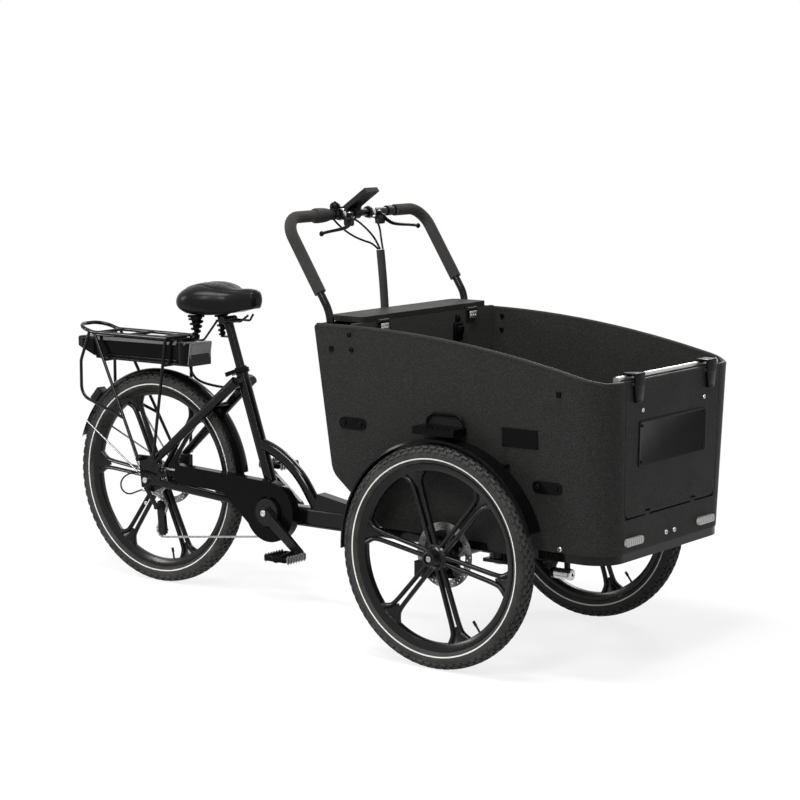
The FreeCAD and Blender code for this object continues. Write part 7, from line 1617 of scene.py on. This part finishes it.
class TRICYCLE_OT_bar_details(bpy.types.Operator):
    """Display screen, twist grip, bell, brake levers and clamp bolts"""
    bl_idname = "tricycle.bar_details"
    bl_label = "Handlebar details"

    def display(self):
        bezel, screen = join(blocks(DISPLAY_BEZEL, DISPLAY)), moved(block(*DISPLAY_SCREEN), DISPLAY)
        finished(bezel, "display_bezel", "front_carriage", "moulded")
        finished(screen, "display_screen", "front_carriage", "screen")

    def grip(self):
        grip = spun(GRIP_OUTLINE, 60, Vector((BAR.x, extents("twist_shifter")[0].y, BAR.z)))
        finished(grip, "twist_grip_ribbed", "shifter", "rubber", 30.0, ("twist_shifter",))

    def bell(self):
        parts = [stood(BELL_OUTLINE, 40, shift(*BELL_PLACE)), block(*BELL_THUMB)]
        finished(join(parts), "bell_dome", "front_carriage", "gloss", 30.0)

    def levers(self):
        """Slim bent blades with a ball end, and bright perches with cable barrels."""
        for side, letter, word in SIDES:
            pivot = BAR + sided(LEVER_PIVOT, side)
            blade = wire_mesh([pivot + sided(point, side) for point in LEVER_ROUTE], 1.0, swell=LEVER_RADII)
            ball = moved(primitive("uv_sphere", segments=20, ring_count=12, radius=BALL_RADIUS),
                         shift(pivot + sided(BALL_PLACE, side)) @ Matrix.Scale(BALL_FLATTEN, 4, (1, 0, 0)))
            boss = stood(BOSS_OUTLINE, 24, shift(pivot))
            finished(join([blade, ball, boss]), "brake_lever_blade_" + word, "lever_" + letter, "gloss",
                     40.0, ("brake_lever_" + word,))
            barrel = moved(spun(BARREL_OUTLINE, 24),
                           shift(sided(BARREL_PLACE, side)) @ rotation(0.0 if side < 0 else math.pi, "Z"))
            band = spun(BAND_OUTLINE, 40, BAR + Vector((0, side * LEVER_PIVOT[1], 0)))
            perch = moved(block(*PERCH), shift(pivot + sided(PERCH_PLACE, side)))
            finished(perch, "brake_perch_body_" + word, "front_carriage", "moulded")
            cap = moved(bolt_head(*PIVOT_CAP), shift(pivot + Vector((0, 0, PIVOT_CAP_UP))) @ rotation(-QUARTER, "Y"))
            finished(join([barrel, band, cap]), "brake_perch_bright_" + word, "front_carriage", "steel",
                     30.0)

    def clamp_bolts(self):
        places = [shift(BAR + Vector((0.0, y, CLAMP_BOLT_DROP))) @ rotation(QUARTER, "Y") for y in CLAMP_BOLTS]
        finished(copies(bolt_head(*CLAMP_BOLT), places), "bar_clamp_bolts", "front_carriage", "steel")

    def execute(self, context):
        for step in (self.display, self.grip, self.bell, self.levers, self.clamp_bolts):
            step()
        return {"FINISHED"}


# Stage

FLOOR_SIZE, FLOOR_DROP = 60.0, -0.0004
FLOOR_COLOUR, FLOOR_ROUGH = (0.86, 0.86, 0.86, 1.0), 0.9
FLOOR_SHARE = 0.8
FLOOR_NEAR, FLOOR_FAR = 1.2, 2.6
WORLD_FILL = 0.3
# Name, place, aim, size and watts
LAMPS = (("key_softbox", (1.7, -4.2, 4.3), (0.3, 0, 0.5), (1.3, 1.3), 178.0),
         ("top_strip", (0.35, -1.0, 3.9), (0.2, 0.1, 0.6), (2.6, 0.7), 185.0),
         ("rear_strip", (-3.4, -2.6, 2.2), (-0.5, 0, 0.5), (0.5, 2.0), 95.0),
         ("front_strip", (3.2, -2.8, 1.9), (0.0, 0, 0.6), (0.15, 1.8), 13.0),
         ("far_fill", (-0.8, 4.4, 3.4), (0.1, 0, 0.5), (1.4, 1.4), 95.0))
CAMERA_PLACE = (FRONT_AXLE.x + 3.57595, -5.37238, 1.57752)
CAMERA_AIM = (FRONT_AXLE.x - 0.4124, 0.0, 0.6525)
CAMERA_LENS, CAMERA_SENSOR, CAMERA_END = 104.966, 36.0, 100.0


def seen_directly(tree):
    """1 for camera, glossy and transmission rays, and 0 for the rest."""
    paths = node(tree, "LightPath")
    seen, seen_all = maths(tree, "MAXIMUM"), maths(tree, "MAXIMUM")
    wires(tree, (paths, "Is Camera Ray", seen, 0), (paths, "Is Glossy Ray", seen, 1), (seen, 0, seen_all, 0),
          (paths, "Is Transmission Ray", seen_all, 1))
    return seen_all


class TRICYCLE_OT_stage(bpy.types.Operator):
    """White floor, soft light and the camera"""
    bl_idname = "tricycle.stage"
    bl_label = "Stage"

    def floor(self):
        ground = primitive("plane", size=FLOOR_SIZE, location=(0, 0, FLOOR_DROP))
        ground.name = "floor"
        material, tree, shader = begin("white_floor", {"Base Color": FLOOR_COLOUR, "Roughness": FLOOR_ROUGH})
        where = node(tree, "NewGeometry")
        reach = node(tree, "VectorMath", operation="LENGTH")
        portion = node(tree, "MapRange", {"From Min": FLOOR_NEAR, "From Max": FLOOR_FAR, "To Min": FLOOR_SHARE,
                                          "To Max": 1.0})
        share = maths(tree, "MULTIPLY")
        white = node(tree, "Emission", {"Color": (1, 1, 1, 1), "Strength": 1.0})
        mix = node(tree, "MixShader")
        wires(tree, (where, "Position", reach, 0), (reach, "Value", portion, "Value"),
              (seen_directly(tree), 0, share, 0), (portion, "Result", share, 1), (share, 0, mix, 0),
              (shader, 0, mix, 1), (white, 0, mix, 2), (mix, 0, tree.nodes["Material Output"], "Surface"))
        ground.data.materials.append(material)

    def world(self):
        world = bpy.data.worlds.new("studio")
        bpy.context.scene.world = world
        world.use_nodes = True
        tree = world.node_tree
        background = tree.nodes["Background"]
        background.inputs["Color"].default_value = (1.0, 1.0, 1.0, 1.0)
        strength = node(tree, "MapRange", {"To Min": WORLD_FILL, "To Max": 1.0})
        wires(tree, (seen_directly(tree), 0, strength, "Value"), (strength, "Result", background, "Strength"))

    def aimed(self, name, data, place, aim):
        """Put a lamp or camera at a place, looking at another."""
        piece = bpy.data.objects.new(name, data)
        bpy.context.collection.objects.link(piece)
        piece.location = place
        piece.rotation_euler = (Vector(aim) - Vector(place)).to_track_quat("-Z", "Y").to_euler()
        return piece

    def execute(self, context):
        self.floor()
        self.world()
        for name, place, aim, size, watts in LAMPS:
            light = bpy.data.lights.new(name, "AREA")
            light.shape = "RECTANGLE"
            light.size, light.size_y = size
            light.energy = watts
            self.aimed(name, light, place, aim)
        eye = bpy.data.cameras.new("photo_camera")
        eye.sensor_width, eye.lens, eye.clip_end = CAMERA_SENSOR, CAMERA_LENS, CAMERA_END
        context.scene.camera = self.aimed("photo_camera", eye, CAMERA_PLACE, CAMERA_AIM)
        context.scene.view_settings.view_transform = "Standard"
        return {"FINISHED"}


class TRICYCLE_PT_panel(bpy.types.Panel):
    bl_idname = "TRICYCLE_PT_panel"
    bl_label = "Cargo tricycle"
    bl_space_type = "VIEW_3D"
    bl_region_type = "UI"
    bl_category = "Tricycle"

    def draw(self, context):
        for group in (context.scene.tricycle_sizes, context.scene.tricycle_colours):
            for key in group.__annotations__:
                self.layout.prop(group, key)
        for operator in OPERATORS:
            self.layout.operator(operator.bl_idname)


OPERATORS = (TRICYCLE_OT_finish_nodes, TRICYCLE_OT_stage, TRICYCLE_OT_tyres, TRICYCLE_OT_wheels, TRICYCLE_OT_discs,
             TRICYCLE_OT_chain, TRICYCLE_OT_saddle, TRICYCLE_OT_box_trim, TRICYCLE_OT_rear_details,
             TRICYCLE_OT_cables, TRICYCLE_OT_bar_details)
CLASSES = (TricycleSizes, TricycleColours) + OPERATORS + (TRICYCLE_PT_panel,)


def register():
    for kind in CLASSES:
        bpy.utils.register_class(kind)
    bpy.types.Scene.tricycle_sizes = bpy.props.PointerProperty(type=TricycleSizes)
    bpy.types.Scene.tricycle_colours = bpy.props.PointerProperty(type=TricycleColours)


def unregister():
    del bpy.types.Scene.tricycle_colours
    del bpy.types.Scene.tricycle_sizes
    for kind in reversed(CLASSES):
        bpy.utils.unregister_class(kind)


def main():
    register()
    bpy.ops.tricycle.finish_nodes()
    bpy.ops.tricycle.stage()
    bpy.ops.tricycle.tyres()
    bpy.ops.tricycle.wheels()
    bpy.ops.tricycle.discs()
    bpy.ops.tricycle.chain()
    bpy.ops.tricycle.saddle()
    bpy.ops.tricycle.box_trim()
    bpy.ops.tricycle.rear_details()
    bpy.ops.tricycle.cables()
    bpy.ops.tricycle.bar_details()


if __name__ == "__main__":
    main()
